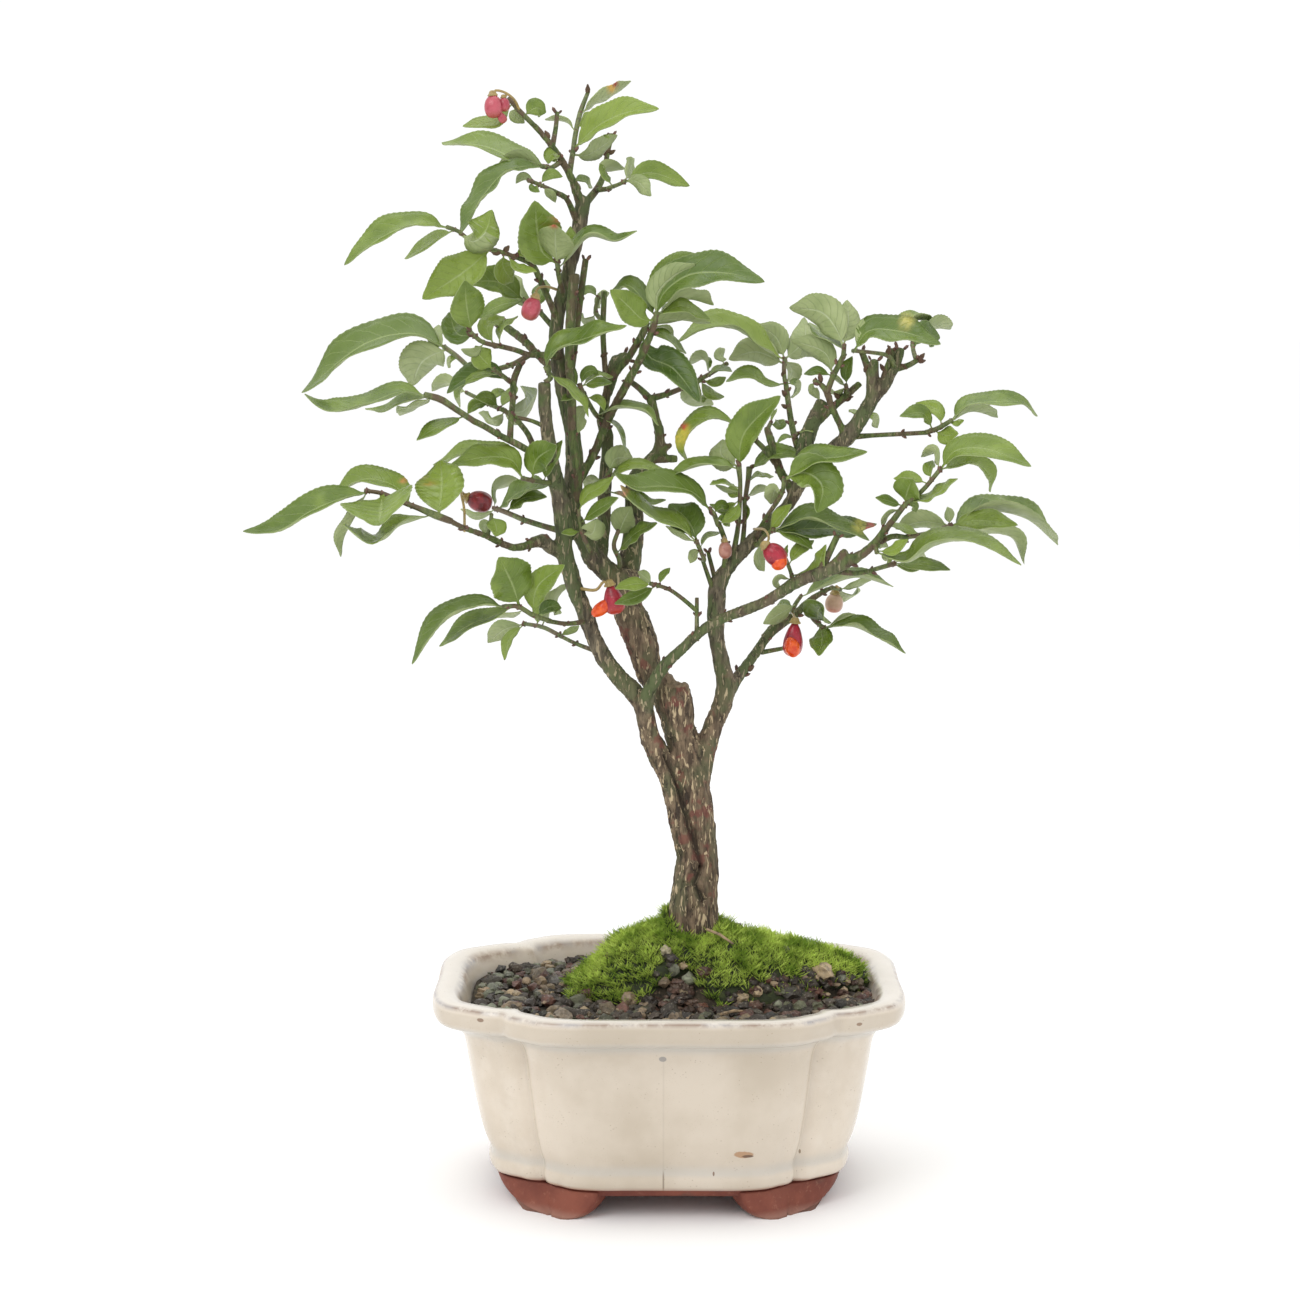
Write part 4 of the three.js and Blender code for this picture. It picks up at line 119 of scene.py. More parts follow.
# Woody limbs: name, then x, z, depth and radius of each point in turn
WOOD = [
  ("trunk", [8.7, 56, 0, 11.5, 8.7, 70, 0, 10.6, 8.7, 80, 0, 9.4, 8.7, 90, 0, 8.8, 8.8, 100, 0,
    8.4, 9.5, 108, 0, 7.8, 10.1, 115, 0, 7.2, 9.9, 120, 0, 6.8, 9.6, 125, 0, 6.6, 9.2, 130, 0, 6.5,
    8.6, 135, 0, 6.2, 8.3, 140, 0, 6, 7.4, 147, 1, 6, 5.4, 154, 2, 5.7, 3.7, 160, 3, 5.4, 2.2, 165,
    3, 5.6, 0.5, 170, 3, 5.5, -3, 176, 3, 5.2, -6.5, 180, 3, 5, -8, 185, 3, 5, -9.2, 190, 3, 5.5,
    -11, 195, 3, 5.7, -13, 200, 3, 5.4, -14.9, 205, 3, 5.2, -16.5, 211, 3, 4.8, -18, 215, 3, 4]),
  ("left stem", [8.4, 102, -1, 5, 8, 115, -1, 5, 6.8, 120, -1.5, 5, 5.4, 125, -2, 4.9, 4.6, 130,
    -2, 4.8, 3.4, 135, -2, 4.7, 2, 140, -2, 4.5, 0, 145, -2, 4.3, -3, 150, -2, 4.1, -5.5, 155, -2,
    3.7, -7.2, 160, -3, 3.4, -8.2, 166, -4, 3.2, -10, 170, -4, 3.4, -13, 174, -4, 3.4, -17, 178,
    -4, 3.2, -21, 183, -4, 3, -24.5, 189, -4, 2.9, -27, 195, -4, 2.9, -29, 201, -4, 2.9, -32, 208,
    -4, 2.9, -34, 215, -4, 2.8, -36, 222, -4, 2.9, -36, 232, -4, 3.4, -36.8, 237, -4, 3.3, -38,
    243, -5, 3, -40, 252, -7, 2.6, -41.5, 262, -9, 2.4, -42.5, 272, -10, 2.3, -42.5, 280, -11,
    2.2]),
  ("leader", [-34, 229, -2, 2.8, -34, 236, 0, 3.4, -33, 243, 2, 3.3, -32.5, 253, 3, 3, -33, 262, 4,
    2.8, -35, 272, 5, 2.7, -37, 282, 5, 2.6, -38.5, 292, 5, 2.6, -38, 302, 5, 2.5, -36, 311, 5,
    2.4, -33.5, 320, 5, 2.4, -31.5, 328, 6, 2.4, -30, 336, 6, 2.6, -28.8, 343, 6, 2.6]),
  ("winged stem", [-31, 240, -1, 1.7, -31.3, 248, -3, 1.7, -33, 262, -3.5, 1.7, -33.5, 275, -3,
    1.7, -34, 288, -2.5, 1.7, -33.6, 300, -2.5, 1.8, -32.8, 310, -2.5, 1.9, -32, 317, -2.5, 1.9]),
  ("slim cut stem", [-34.5, 276, 4, 1.2, -32.5, 290, 2.5, 1.2, -30.3, 308, 2, 1.2, -28.3, 322, 2,
    1.1]),
  ("middle to left", [-17, 212, 3, 4.2, -22, 216, 2, 3.7, -26, 220, 1, 3.6, -29, 226, 0, 3.3,
    -33.5, 234, -1, 3.2]),
  ("middle back", [-15, 209, 4, 4.3, -13.5, 218, 8, 3.8, -12.5, 225, 9, 3.8, -12, 240, 11, 3, -12,
    247, 12, 2.6, -8, 252, 13, 2.2, -4, 256, 14, 2.1, -3, 262, 14, 1.8, -4.5, 268, 14, 1.6, -6.5,
    275, 14, 1.7]),
  ("middle back left fork", [-6, 274, 14, 1.4, -10, 278, 16, 1.1, -14, 281, 18, 0.9]),
  ("middle back right fork", [-6.5, 274.5, 14, 1.3, -1, 276, 15, 1, 3, 277.5, 17, 0.9, 8, 279.5,
    19, 0.9, 11, 281, 20, 0.8]),
  ("knob a", [-5, 255, 14, 1.7, 1, 259, 13, 1]),
  ("knob b", [-6, 254, 13, 1.7, 3, 254, 12, 1.4]),
  ("dark stem", [-24, 218, 3, 2.6, -22.5, 230, 8, 2.4, -22, 245, 10, 2.3, -21, 260, 10, 2.3, -23,
    268, 9, 2.2]),
  ("green branch", [-31.5, 246, 3, 1.7, -26, 255, 6, 1.6, -22, 265, 6, 1.6, -17, 275, 4, 1.6, -12,
    284, 0, 1.5, -8.5, 291, -3, 1.4, -6, 297, -5, 1.3, -4.5, 301, -6, 1.2]),
  ("green branch behind", [-23, 266, 9, 1.6, -20, 281, 10, 1.5, -15, 287, 10, 1.4, -11, 293, 9,
    1.4, -8, 299, 8, 1.3]),
  ("brown stump", [-21, 276, 10, 1.8, -18, 287, 12, 2.6, -14, 289, 13, 2]),
  ("upright twig", [-21.5, 280, 10, 1, -22.5, 297, 10, 1, -22, 311, 10, 1]),
  ("front stem", [-8, 165, -4, 2.6, -7, 173, -7, 2.4, -4.5, 178, -9, 2.2, -1, 183, -10, 2.1, 4,
    187.5, -11, 1.9, 9, 192.5, -11, 1.9, 14, 196.5, -11, 1.9, 20, 199.5, -11, 1.9, 27, 202, -12,
    1.9, 34, 205, -14, 1.9, 40, 209, -16, 2.2, 45, 212, -17, 2.2, 52, 214.5, -19, 2.4, 58, 217,
    -21, 2.4, 63, 219, -22, 2, 70, 224, -25, 1.5, 74, 229, -27, 1.4, 78, 234, -29, 1.2]),
  ("cut stub a", [52, 214.5, -19, 1.4, 55, 221, -20, 1.2, 58, 227.5, -21, 1.1]),
  ("cut stub b", [55, 216, -20, 1.6, 61, 222.5, -23, 1.3]),
  ("peg", [9.7, 191, -11, 0.9, 9.7, 200, -11.5, 0.75, 9.7, 206, -12, 0.7]),
  ("peg twig", [9.6, 201.5, -12, 0.8, 5, 205.5, -14, 0.75, 0, 209, -17, 0.7, -4, 210.3, -20, 0.7]),
  ("right stem", [10, 140, 1, 4, 12.5, 152, 3, 3.8, 15, 160, 4, 3.6, 17, 165, 4, 3.4, 19, 170, 4,
    3.4, 20, 175, 4, 3.4, 18.5, 182, 4, 3, 17.5, 187, 4, 2.8, 16.5, 193, 4, 2.9, 16.3, 200, 4, 3.1,
    16.5, 206, 4, 3.2, 17, 211, 4, 3, 20, 216, 4, 2.6, 24, 221, 4, 2.6, 29, 226, 4, 2.4, 34, 231,
    4, 2.3, 39, 236, 4, 2.2, 43, 241, 4, 2.2, 45.5, 248, 4, 2.4, 46, 255, 4, 2.9, 47.5, 262, 5,
    2.8, 50, 268, 6, 2.6, 52.5, 274, 7, 2.1]),
  ("right side stem", [20, 172, 4, 2.6, 23, 177, 6, 2.2, 25, 180, 7, 2, 28, 184, 8, 1.8, 31, 188,
    10, 1.8, 33.5, 192, 11, 1.8, 36, 195, 12, 1.9, 40, 197.5, 14, 1.6, 44, 200.5, 16, 1.5, 48,
    204.5, 18, 1.3, 53, 208, 20, 1.1, 57, 210, 22, 0.9]),
  ("right stub", [32, 187, 10, 0.9, 40, 188.5, 12, 0.7]),
  ("right upper stem", [45, 245, 4, 2.2, 50, 253, 1, 2.2, 56, 257.5, -3, 2.4, 60, 260, -5, 2.8, 64,
    265, -7, 2.8, 67, 270, -8, 2.6, 70, 275, -9, 2.4, 73, 278.5, -9, 2.3, 75, 282, -9, 2.3, 77.5,
    287, -9, 2.2, 79, 292, -9, 1.8]),
  ("right upper fork", [61, 260.5, -5, 1.6, 58, 267, -7, 1.3, 55.5, 272, -9, 1.3, 54, 277, -10,
    1.3, 51.5, 280, -10, 1.1]),
  ("right upper fork twig", [54, 276.5, -10, 1.1, 56, 282, -11, 1, 58, 286, -13, 1, 60, 290, -14,
    0.9]),
  ("thick cut stub", [69.5, 275, -9, 2.2, 69.5, 282, -11, 2.2, 70.2, 288, -12, 1.7]),
  ("stub branch", [69, 281, -10, 1.3, 67, 287.5, -6, 1.2, 65.5, 291, -5, 1]),
  ("budded stem", [50, 266, 6, 1.8, 56, 271.5, 5, 1.4, 61, 276, 4, 1.4, 65.5, 280, 3, 1.2]),
  ("upright side twig", [72.5, 278, -9, 1.3, 74, 284, -10, 1, 75.5, 288, -11, 1, 76, 291.5, -12,
    1]),
  ("short side twig", [77, 284.5, -9, 1.2, 82, 286, -10, 1, 85, 287.8, -11, 0.9]),
  ("level twig", [63, 261.5, -6, 1.1, 70, 262, -9, 0.8, 80, 262.5, -16, 0.8, 89, 263, -24, 0.8]),
  ("inner upright twig", [45.5, 254, 5, 1.4, 43.5, 260, 8, 1.2, 42, 266, 12, 1.1, 41, 272, 15, 1,
    40.3, 277, 18, 1, 39.8, 281, 20, 0.8]),
  ("inner stub a", [43, 242, 4, 1.7, 38, 250, 7, 1.6, 36, 256.5, 9, 1.6, 33.5, 265, 11, 1.3]),
  ("inner stub b", [36.5, 252.5, 8, 1.1, 33.5, 256.5, 9, 1, 29.5, 260.5, 11, 0.9]),
  ("sprig a", [21.5, 217, 4, 1.2, 24, 232, 0, 0.8, 24.4, 240, -3, 0.8]),
  ("sprig b", [25, 221, 3, 1, 26, 232, 5, 0.8, 26, 240, 8, 0.8]),
  ("sprig c", [19, 214.5, 4, 1.1, 19.5, 225, -1, 0.9, 17, 232, -5, 0.9]),
  ("sprig d", [29.5, 226, 3, 1, 33, 233, -3, 0.8, 37, 239, -9, 0.8]),
  ("spike a", [16.3, 211, 4, 0.9, 13.5, 222, 3, 0.7]),
  ("spike b", [15.5, 208, 3, 0.9, 11.5, 219.5, 0, 0.7]),
  ("right low twig", [57, 215.5, -20, 1.2, 64, 214.5, -16, 0.9, 70, 215.5, -12, 0.8]),
  ("right middle twig", [71, 224.5, -25, 1.2, 77, 227.3, -22, 1, 82, 226.8, -19, 0.95]),
  ("left long branch", [-35, 221.5, -4, 2.6, -40, 223, -6, 2.4, -43.5, 226, -8, 2.6, -48, 224.5,
    -12, 1.6, -53, 223.3, -17, 1.4, -58, 225, -22, 1.3, -63, 227.5, -27, 1.2, -70, 230, -33, 1.1,
    -76, 233, -39, 1.1]),
  ("left back branch", [-34.5, 228.5, -1, 1.3, -42, 230.5, 4, 1, -50, 233, 12, 1]),
  ("left low front branch", [-27.5, 198, -4, 1, -35, 197, -12, 0.8, -42, 198, -20, 0.8]),
  ("left low back branch", [-24, 187, -3, 0.9, -32, 190, 6, 0.7, -38, 193, 14, 0.7]),
  ("left middle branch", [-39.5, 251.5, -7, 1.5, -46, 255.5, -12, 1.2, -52, 259, -17, 1.2, -58,
    262, -21, 1.1, -63, 265, -25, 1.1, -67, 267, -27.5, 1.1]),
  ("riser", [-54.5, 260, -18, 1.2, -54, 268, -14, 1, -53.3, 275, -10, 1.1, -53, 281, -6, 1.2, -51,
    286, -2, 1.1]),
  ("left diagonal twig", [-45.5, 255, -11, 1.1, -48, 262, -7, 1, -52.5, 267.5, -1, 0.9, -57, 271,
    4, 0.8]),
  ("left thin twig", [-41.5, 264.5, -9, 0.9, -47, 267, -12, 0.7, -53, 268.3, -14, 0.7]),
  ("upper left front twig", [-37.5, 289, 4, 1.4, -44, 289.5, -2, 1.1, -48, 289.5, -6, 1, -52, 291,
    -10, 0.9, -58, 292.5, -16, 0.9]),
  ("upper left thick twig", [-37.5, 284, 6, 1.6, -44, 288.5, 9, 1.5, -49, 294, 13, 1.5, -53, 297,
    17, 1.5, -57, 300, 20, 1.4]),
  ("upper left back twig", [-46, 290.5, 10, 1.1, -54, 286, 16, 0.9, -62, 284.3, 21, 0.9, -69.5,
    285.5, 25, 0.9]),
  ("high left twig", [-37.5, 299, 5, 1.3, -40, 306, 2, 1.1, -44, 315, -2, 1.1, -46.5, 320, -5, 1.1,
    -52, 322.5, -10, 0.8]),
  ("high left back twig", [-37, 296, 5, 1.1, -44, 304, 9, 0.9]),
  ("top left shoot", [-30, 340, 6, 1.8, -33, 349, 3, 1.4, -37, 356, 0, 1.3, -41, 361.5, -3, 1.2,
    -46, 367, -6, 1.1]),
  ("top cut shoot", [-39.5, 359.5, -2, 1, -38.3, 366, 2, 0.8, -37.8, 371, 4, 0.8]),
  ("top middle shoot", [-33.8, 350.5, 2, 1.1, -32.5, 358, 8, 0.9]),
  ("top right shoot", [-28, 341, 6, 1.4, -24, 346, 10, 1.2, -22, 351, 14, 0.9, -21, 357, 18, 0.9,
    -19.5, 363.5, 22, 0.9]),
  ("top right twig", [-25, 345, 9, 1, -20, 345.5, 2, 0.8]),
  ("top low left twig", [-31.5, 335, 5, 1.2, -35, 342.5, 0, 0.9, -38, 344, -4, 0.9]),
]

# Leafy shoots: name, green stems as above, then for each leaf the x, z points from its foot to its
# tip, its width as seen, 1 if its upper side shows or -1 for its underside, and how much deeper
# its tip lies than its foot
SHOOTS = [
  ("left_long_tip", [
    [-75, 232.6, -38.2, 1.2, -80, 234.5, -43, 1.4, -86, 237, -46, 1, -92, 239.3, -49, 0.9, -98,
     242, -52, 0.8, -104, 243, -54, 0.7],
  ], [
    [[-103, 242.5, -112, 240.5, -123, 236, -134, 229.5, -146.5, 229.2], 8, 1, -10],
    [[-88, 238.5, -92, 246.5, -104, 247, -116, 242], 7, 1, 16],
    [[-98, 245.5, -98.6, 240, -99.8, 231.2], 25, 1, -24],
    [[-104, 242, -108, 234.5, -112, 227, -113.2, 220.3], 3, -1, 12],
    [[-82, 233.5, -88, 232.8, -93, 231, -98, 226.5, -104, 225.5, -112, 231.5], 3.2, 1, -22],
    [[-79, 235, -78, 244, -78.5, 253.5], 17, 1, 12],
  ]),
  ("left_middle_tip", [
    [-66, 266.4, -27, 1.1, -73, 271, -32, 1.1, -78, 274.3, -35, 1.3, -83, 275.7, -38, 1.1],
  ], [
    [[-82.5, 275.5, -91, 277, -104, 272.5, -112, 270.5, -118, 271.3, -124.5, 276.3], 5, 1, -12],
    [[-82, 275.5, -92, 273, -98, 270.5, -104, 271.3], 3, 1, 14],
    [[-81.5, 275, -87, 271.5, -92, 269], 3, -1, 26],
    [[-70, 268.8, -78, 265.5, -86.5, 260.5], 4.5, 1, -14],
  ]),
  ("left_inner_front", [
    [-38.5, 245.5, -5, 1, -44, 246, -11, 0.9, -50, 247.3, -17, 0.8],
  ], [
    [[-50, 247.3, -56, 254.5, -68, 256.5, -81, 252], 5.5, 1, 14],
    [[-50.5, 247.3, -54, 253.5, -63, 254.5, -75, 251.8], 8, 1, -13],
    [[-47, 246.8, -45.5, 253.5, -38.5, 258.5], 10, 1, -10],
    [[-43, 246.3, -40.5, 254, -36.5, 260.5], 5, 1, 3],
  ]),
  ("left_inner_back", [
    [-49, 232.6, 11, 1, -57, 236, 20, 0.9, -60, 237, 23, 0.8],
  ], [
    [[-59, 236.6, -52, 242, -41, 245.3], 5.5, 1, -14],
    [[-59.5, 236.5, -66, 234.3, -71.5, 236.8], 2.5, -1, 5],
    [[-56, 235.8, -50, 240.5, -42, 241], 5, 1, -8],
    [[-60, 237, -59, 244, -50, 246], 3.5, -1, 12],
  ]),
  ("left_low_front", [
    [-41, 198, -19, 0.9, -47, 200, -26, 0.9, -52, 203, -30, 0.9, -57, 203, -33, 0.7],
  ], [
    [[-51.5, 203, -54, 210.5, -58.5, 220], 16, 1, -8],
    [[-47, 200, -45.5, 209.5, -36, 217.5], 9, 1, -8],
    [[-46, 199.5, -41, 203, -37, 202.5], 5, 1, 9],
    [[-56, 203, -65, 203.5, -77, 198.5, -89, 183], 5.5, 1, -14],
    [[-54, 203, -61, 199.8, -70, 196, -79.5, 189.2], 6, 1, 8],
    [[-50, 202, -54, 200.3, -61, 199.3], 2, -1, 14],
  ]),
  ("left_low_back", [
    [-37, 192.5, 13, 0.8, -44, 196, 22, 0.8, -50, 197, 27, 0.7],
  ], [
    [[-50, 197, -57, 195, -62.5, 190.5], 7, -1, 10],
    [[-50.5, 197, -55, 192, -57, 184.3], 3.5, 1, -4],
    [[-44, 196, -40, 205, -34.5, 211], 4, -1, 8],
    [[-38, 193.2, -34.5, 194, -31, 196.5], 2.5, 1, 5],
    [[-46, 196, -42, 203.5, -37, 201], 6, 1, 12],
  ]),
  ("front_peg_tip", [
    [-3, 210.2, -19, 0.8, -6, 210.8, -21, 0.7],
  ], [
    [[-5, 210.8, -12, 210.8, -18.5, 209.3], 4.5, 1, -8],
    [[-4, 210.5, -11, 206.5, -18.8, 204], 5, 1, -2],
    [[-5.5, 210.8, -8.5, 213.5, -10.5, 215], 4, -1, 9],
    [[-3.5, 210.5, -2, 214, 0.5, 216.5], 2.5, 1, 5],
  ]),
  ("middle_left_front", [
    [-27, 222, -4, 0.9, -30, 229, -8, 0.8, -31, 236, -10, 0.7],
  ], [
    [[-30, 228, -25.5, 226, -25, 233.5], 8, -1, -6],
    [[-30.3, 229, -33, 228.8, -37, 228.5], 2.5, 1, -4],
    [[-30.8, 232, -26, 235.5, -17.5, 240.7], 4.5, 1, -12],
    [[-31, 236, -29, 243, -24, 244, -19, 248], 5, 1, 4],
  ]),
  ("middle_high_left", [
    [-21, 243, 7, 0.8, -22, 247, 3, 0.7, -20, 250, 0, 0.7],
  ], [
    [[-21.5, 246, -16, 250.5, -8, 250.8, 0, 249.5], 3.5, 1, -8],
    [[-21, 249, -18.5, 254, -12.5, 254], 8, -1, 8],
    [[-22, 245.5, -26, 246.5, -29, 244.5], 3.5, -1, 8],
    [[-12, 240.5, -6, 239, -1, 240], 3, 1, -2],
  ]),
  ("centre_front_left", [
    [12.2, 219, -2, 0.8, 11, 222, -7, 0.8, 9.5, 225.5, -13, 0.8],
  ], [
    [[9.5, 225.5, 3, 231.5, -6, 234.5, -13, 240, -16.5, 245], 5, 1, -14],
    [[9.8, 225.5, 7, 232, 0, 238.5], 12, 1, 10],
    [[9.5, 225.5, 4, 227.5, -1, 231], 2, -1, 2],
    [[11, 222, 10.4, 223.4, 8.8, 221.4, 7.2, 218], 3.5, -1, -4],
    [[10.5, 223, 13, 227, 18, 229], 2, 1, 8],
  ]),
  ("centre_front_twig", [
    [17, 231, -5, 0.8, 15.5, 235, -8, 0.9, 14.3, 236.5, -9, 0.7],
  ], [
    [[14.3, 236.5, 8, 242.5, -2, 244.5, -12, 244.5, -18.5, 249], 8, 1, -18],
    [[15.5, 235, 17.5, 238, 21, 237.5], 3.5, 1, 7],
    [[16, 233.5, 19, 234.5, 21, 231], 3.5, 1, 3],
  ]),
  ("centre_sprig", [
    [24.4, 239, -3, 0.8, 24.5, 246, -5, 0.8, 24, 251, -7, 1.1],
  ], [
    [[24.5, 251.5, 25.5, 262, 38, 275.5], 12, 1, -14],
    [[23.5, 250.5, 18.5, 252, 12, 252, -1, 248], 3.5, 1, -3],
    [[23.5, 251, 18, 255.5, 18.5, 260.5], 10, -1, 12],
    [[24.4, 244, 19, 245.8, 14, 245.3], 1.6, 1, -9],
    [[24.4, 241, 21.5, 240.5, 22, 245.5], 4, 1, 6],
    [[24.3, 240, 19, 236.5, 14, 238.5], 3, 1, 5],
    [[24.4, 240, 22.5, 235, 18, 232], 4, 1, -5],
    [[24.4, 243, 20.5, 243, 16, 245], 1.8, -1, 4],
  ]),
  ("centre_sprig_right", [
    [26, 239, 8, 0.8, 27.2, 247, 11, 0.9, 27.6, 250.5, 12, 1.2],
  ], [
    [[28, 250.5, 36, 255.5, 46, 254.5], 5.5, 1, -10],
    [[26.3, 241, 29.5, 242.7, 34, 243.5], 3, -1, 8],
    [[27, 246, 30, 248.3, 36, 248], 1.8, 1, 5],
    [[26, 240, 26.8, 236, 26, 231.5], 2.5, 1, -4],
  ]),
  ("right_inner_leaves", [
    [36.5, 238.3, -8.5, 0.9, 39, 242.5, -13, 0.8, 39.5, 247, -16, 0.8],
  ], [
    [[39.5, 247, 47, 249, 52.5, 244.5, 51, 235.5], 15, 1, -12],
    [[38.5, 243, 36, 246, 35, 238.5], 6, -1, 9],
    [[39.5, 247, 49, 253.5, 58, 254.5, 68, 256.5], 7, 1, -6],
  ]),
  ("right_inner_low", [
    [30, 224, 1, 0.8, 33, 227.5, -4, 0.8, 36, 229.5, -8, 0.8],
  ], [
    [[34, 228.5, 38, 234, 42, 238.3], 4.5, 1, -8],
    [[36, 229.5, 46, 233.5, 56, 231.5, 69, 226], 5.5, 1, -12],
    [[36, 229.8, 52, 230, 62, 230, 71.5, 231.7], 9, 1, 10],
    [[36, 229.2, 44, 227.5, 49.5, 223], 4.5, 1, -3],
    [[31, 226, 31, 220, 33, 215.5], 4.5, 1, 8],
  ]),
  ("right_under_twig", [
    [47, 203.8, 18, 0.9, 50, 198.5, 14, 0.8, 53.5, 195.7, 10, 0.8],
  ], [
    [[51.5, 197.3, 51.5, 201, 53, 203.5], 11, 1, -9],
    [[54, 195.6, 63, 196.3, 71, 193, 82, 186.8], 4, 1, -12],
    [[54, 195.8, 62, 198, 72.5, 194], 4, -1, 7],
    [[51.5, 196.5, 53, 192, 52, 186], 8, 1, -12],
  ]),
  ("right_low_leaves", [
    [69, 215.3, -12.5, 0.8, 77.5, 217.8, -7, 0.9],
  ], [
    [[77.5, 218, 83, 221.3, 88.5, 220.3], 2.4, -1, 12],
    [[77.5, 217.8, 82, 216.3, 87, 216.3], 2.4, 1, 6],
    [[77.5, 218, 87, 217.5, 97, 215.8], 4.5, 1, -10],
    [[77, 217.9, 75, 222, 74.5, 219], 4, -1, 8],
  ]),
  ("right_low_long", [
    [71, 225, -25, 0.9, 71.5, 222, -29, 0.8],
  ], [
    [[71.5, 222.3, 77, 222.5, 82.3, 226.3], 4, 1, -8],
    [[71.5, 222, 82, 218.5, 92, 224.5, 104, 225.7, 121.5, 217.5], 5, 1, -18],
    [[71.3, 223, 72.5, 225.5, 75.5, 224], 2.6, -1, 6],
  ]),
  ("right_middle_leaves", [
    [81, 227, -19, 1, 88, 228, -16, 0.9, 97, 231, -11, 0.8],
  ], [
    [[97, 231, 88, 232.5, 78, 230], 7, -1, 16],
    [[87, 228, 81.5, 230, 75.5, 231.5], 2.8, 1, -7],
    [[96.5, 231, 96.5, 234, 95.8, 237.3], 3.5, -1, 8],
    [[97, 231, 103, 231.5, 109, 227], 7.5, -1, 15],
    [[97, 231, 105, 232.8, 120, 231.3], 7, 1, -12],
    [[97, 231, 108, 236, 122, 234, 134, 224.5], 3.6, 1, 28],
    [[97, 230.5, 110, 229.5, 119, 226.5, 122.5, 217.8], 4.6, -1, 6],
  ]),
  ("right_high_leaves", [
    [77.3, 233, -28.7, 1.1, 81, 238, -31, 1, 87, 243, -35, 0.8, 93, 250.3, -39, 0.8],
  ], [
    [[93, 250.3, 98, 256.5, 108, 257.5, 124.3, 251.5], 8.5, 1, -14],
    [[93, 250.5, 104, 252.8, 112, 250.5, 110.5, 242.5], 5, 1, 12],
    [[93, 250.3, 91, 256.3, 86.5, 254.8], 3, -1, 14],
    [[90, 247, 89, 250.5, 90.5, 253.5], 4, 1, 10],
    [[89, 245.5, 83, 247.5, 77, 247.3], 4, 1, 8],
    [[81, 238.3, 82, 243, 83.5, 247], 10, 1, -6],
    [[82, 239, 90, 241.3, 99, 247.3], 3.2, 1, -12],
    [[81.5, 238.2, 84, 238.3, 85, 235.6], 3, 1, 6],
    [[80.5, 238, 76, 239.3, 71, 240.8], 3.4, 1, -6],
    [[80, 237, 76, 235.5, 73.5, 230.5], 2, -1, 9],
  ]),
  ("right_level_leaves", [
    [88, 263, -23, 0.9, 92, 264.3, -27, 0.9, 96.5, 267, -30, 0.8],
  ], [
    [[90.5, 263.8, 87, 269.5, 79, 268.7], 4.8, 1, -8],
    [[93.5, 265, 92, 270.5, 84.3, 273.2], 5, 1, 9],
    [[91, 263.7, 94.5, 262, 99, 262.7], 6.5, 1, -7],
    [[96.5, 267, 101, 272, 112, 273.5, 121, 273, 126.3, 268.6], 5, 1, 14],
    [[96.5, 267, 103, 270.3, 112.5, 268.3], 2.6, -1, 22],
    [[96, 266.5, 98.5, 266.3, 101, 267.3], 2, 1, -4],
  ]),
  ("right_top_leaves", [
    [77, 285, -9.2, 1, 75, 289, -15, 0.8, 69.5, 290.2, -19, 0.7, 63, 290.8, -22, 0.7],
  ], [
    [[62.5, 290.8, 68, 297.5, 78, 297.5, 92.7, 293.3], 9.5, 1, -12],
  ]),
  ("right_top_back_leaves", [
    [84.5, 287.6, -10.8, 0.9, 83.5, 290.5, -6, 0.8, 83, 293.5, -2, 0.7],
  ], [
    [[83.3, 291.5, 86, 296, 92.5, 295.5], 9, 1, 10],
    [[83, 293, 82, 299.5, 84.5, 301.5, 89, 300.5], 4.5, 1, 20],
    [[83.2, 293, 90, 298.2, 95.8, 298.3], 2, -1, 22],
  ]),
  ("inner_top_left", [
    [39.8, 279.8, 19, 0.8, 39.3, 284, 21, 0.8, 39.5, 288, 23, 0.8],
  ], [
    [[40.5, 288.8, 37, 295, 30.5, 299.8], 8, -1, 10],
    [[41, 289, 46, 294.5, 46, 302], 9, -1, 14],
    [[40.5, 288, 42, 284.5, 41, 280.5], 6, -1, 12],
    [[39, 288.3, 33, 291.3, 24, 297.8, 14, 299, 3, 294], 6, 1, -10],
    [[38.8, 286.5, 30, 290.5, 20.5, 288], 10, -1, 12],
    [[40, 277.5, 34, 279.5, 27, 282.3, 19.5, 280.5], 4.2, 1, -10],
    [[40, 280, 42.8, 279.6, 43.2, 277.4, 42.3, 275], 3, 1, 9],
  ]),
  ("inner_top_right", [
    [59.5, 288.5, -13.5, 0.9, 59.8, 292.5, -16, 0.8],
  ], [
    [[59.5, 292.3, 57, 298.5, 52, 304, 41, 305.5], 12, -1, 14],
    [[59.5, 292.3, 61, 301, 60.5, 308], 9, -1, 10],
    [[59.3, 291.5, 53.5, 295.5, 48, 300.5], 5, 1, 24],
  ]),
  ("inner_stub_leaves", [
    [29.8, 260, 11, 0.8, 26.5, 263.5, 7, 0.8, 24, 266, 4, 0.8],
  ], [
    [[24, 266, 14, 268, 7, 266, 5, 258, 6.5, 253], 5, 1, -8],
  ]),
  ("back_twig_leaves", [
    [10, 280.8, 19.8, 0.8, 14, 283, 22, 0.8, 19.5, 286.3, 25, 0.8],
  ], [
    [[19, 286, 17.5, 289, 18.8, 291.5], 4, -1, 8],
    [[12.5, 282, 16, 284.5, 21.5, 284], 2, 1, -7],
    [[11.5, 281.3, 14.5, 279.8, 19.5, 282], 3.2, 1, 5],
    [[11, 281, 13, 277, 19, 275.2], 3.6, 1, 6],
    [[11, 281, 8, 275, 15, 272.5], 7, -1, 16],
    [[14, 283, 12, 288, 7, 286.5], 2.5, -1, 12],
  ]),
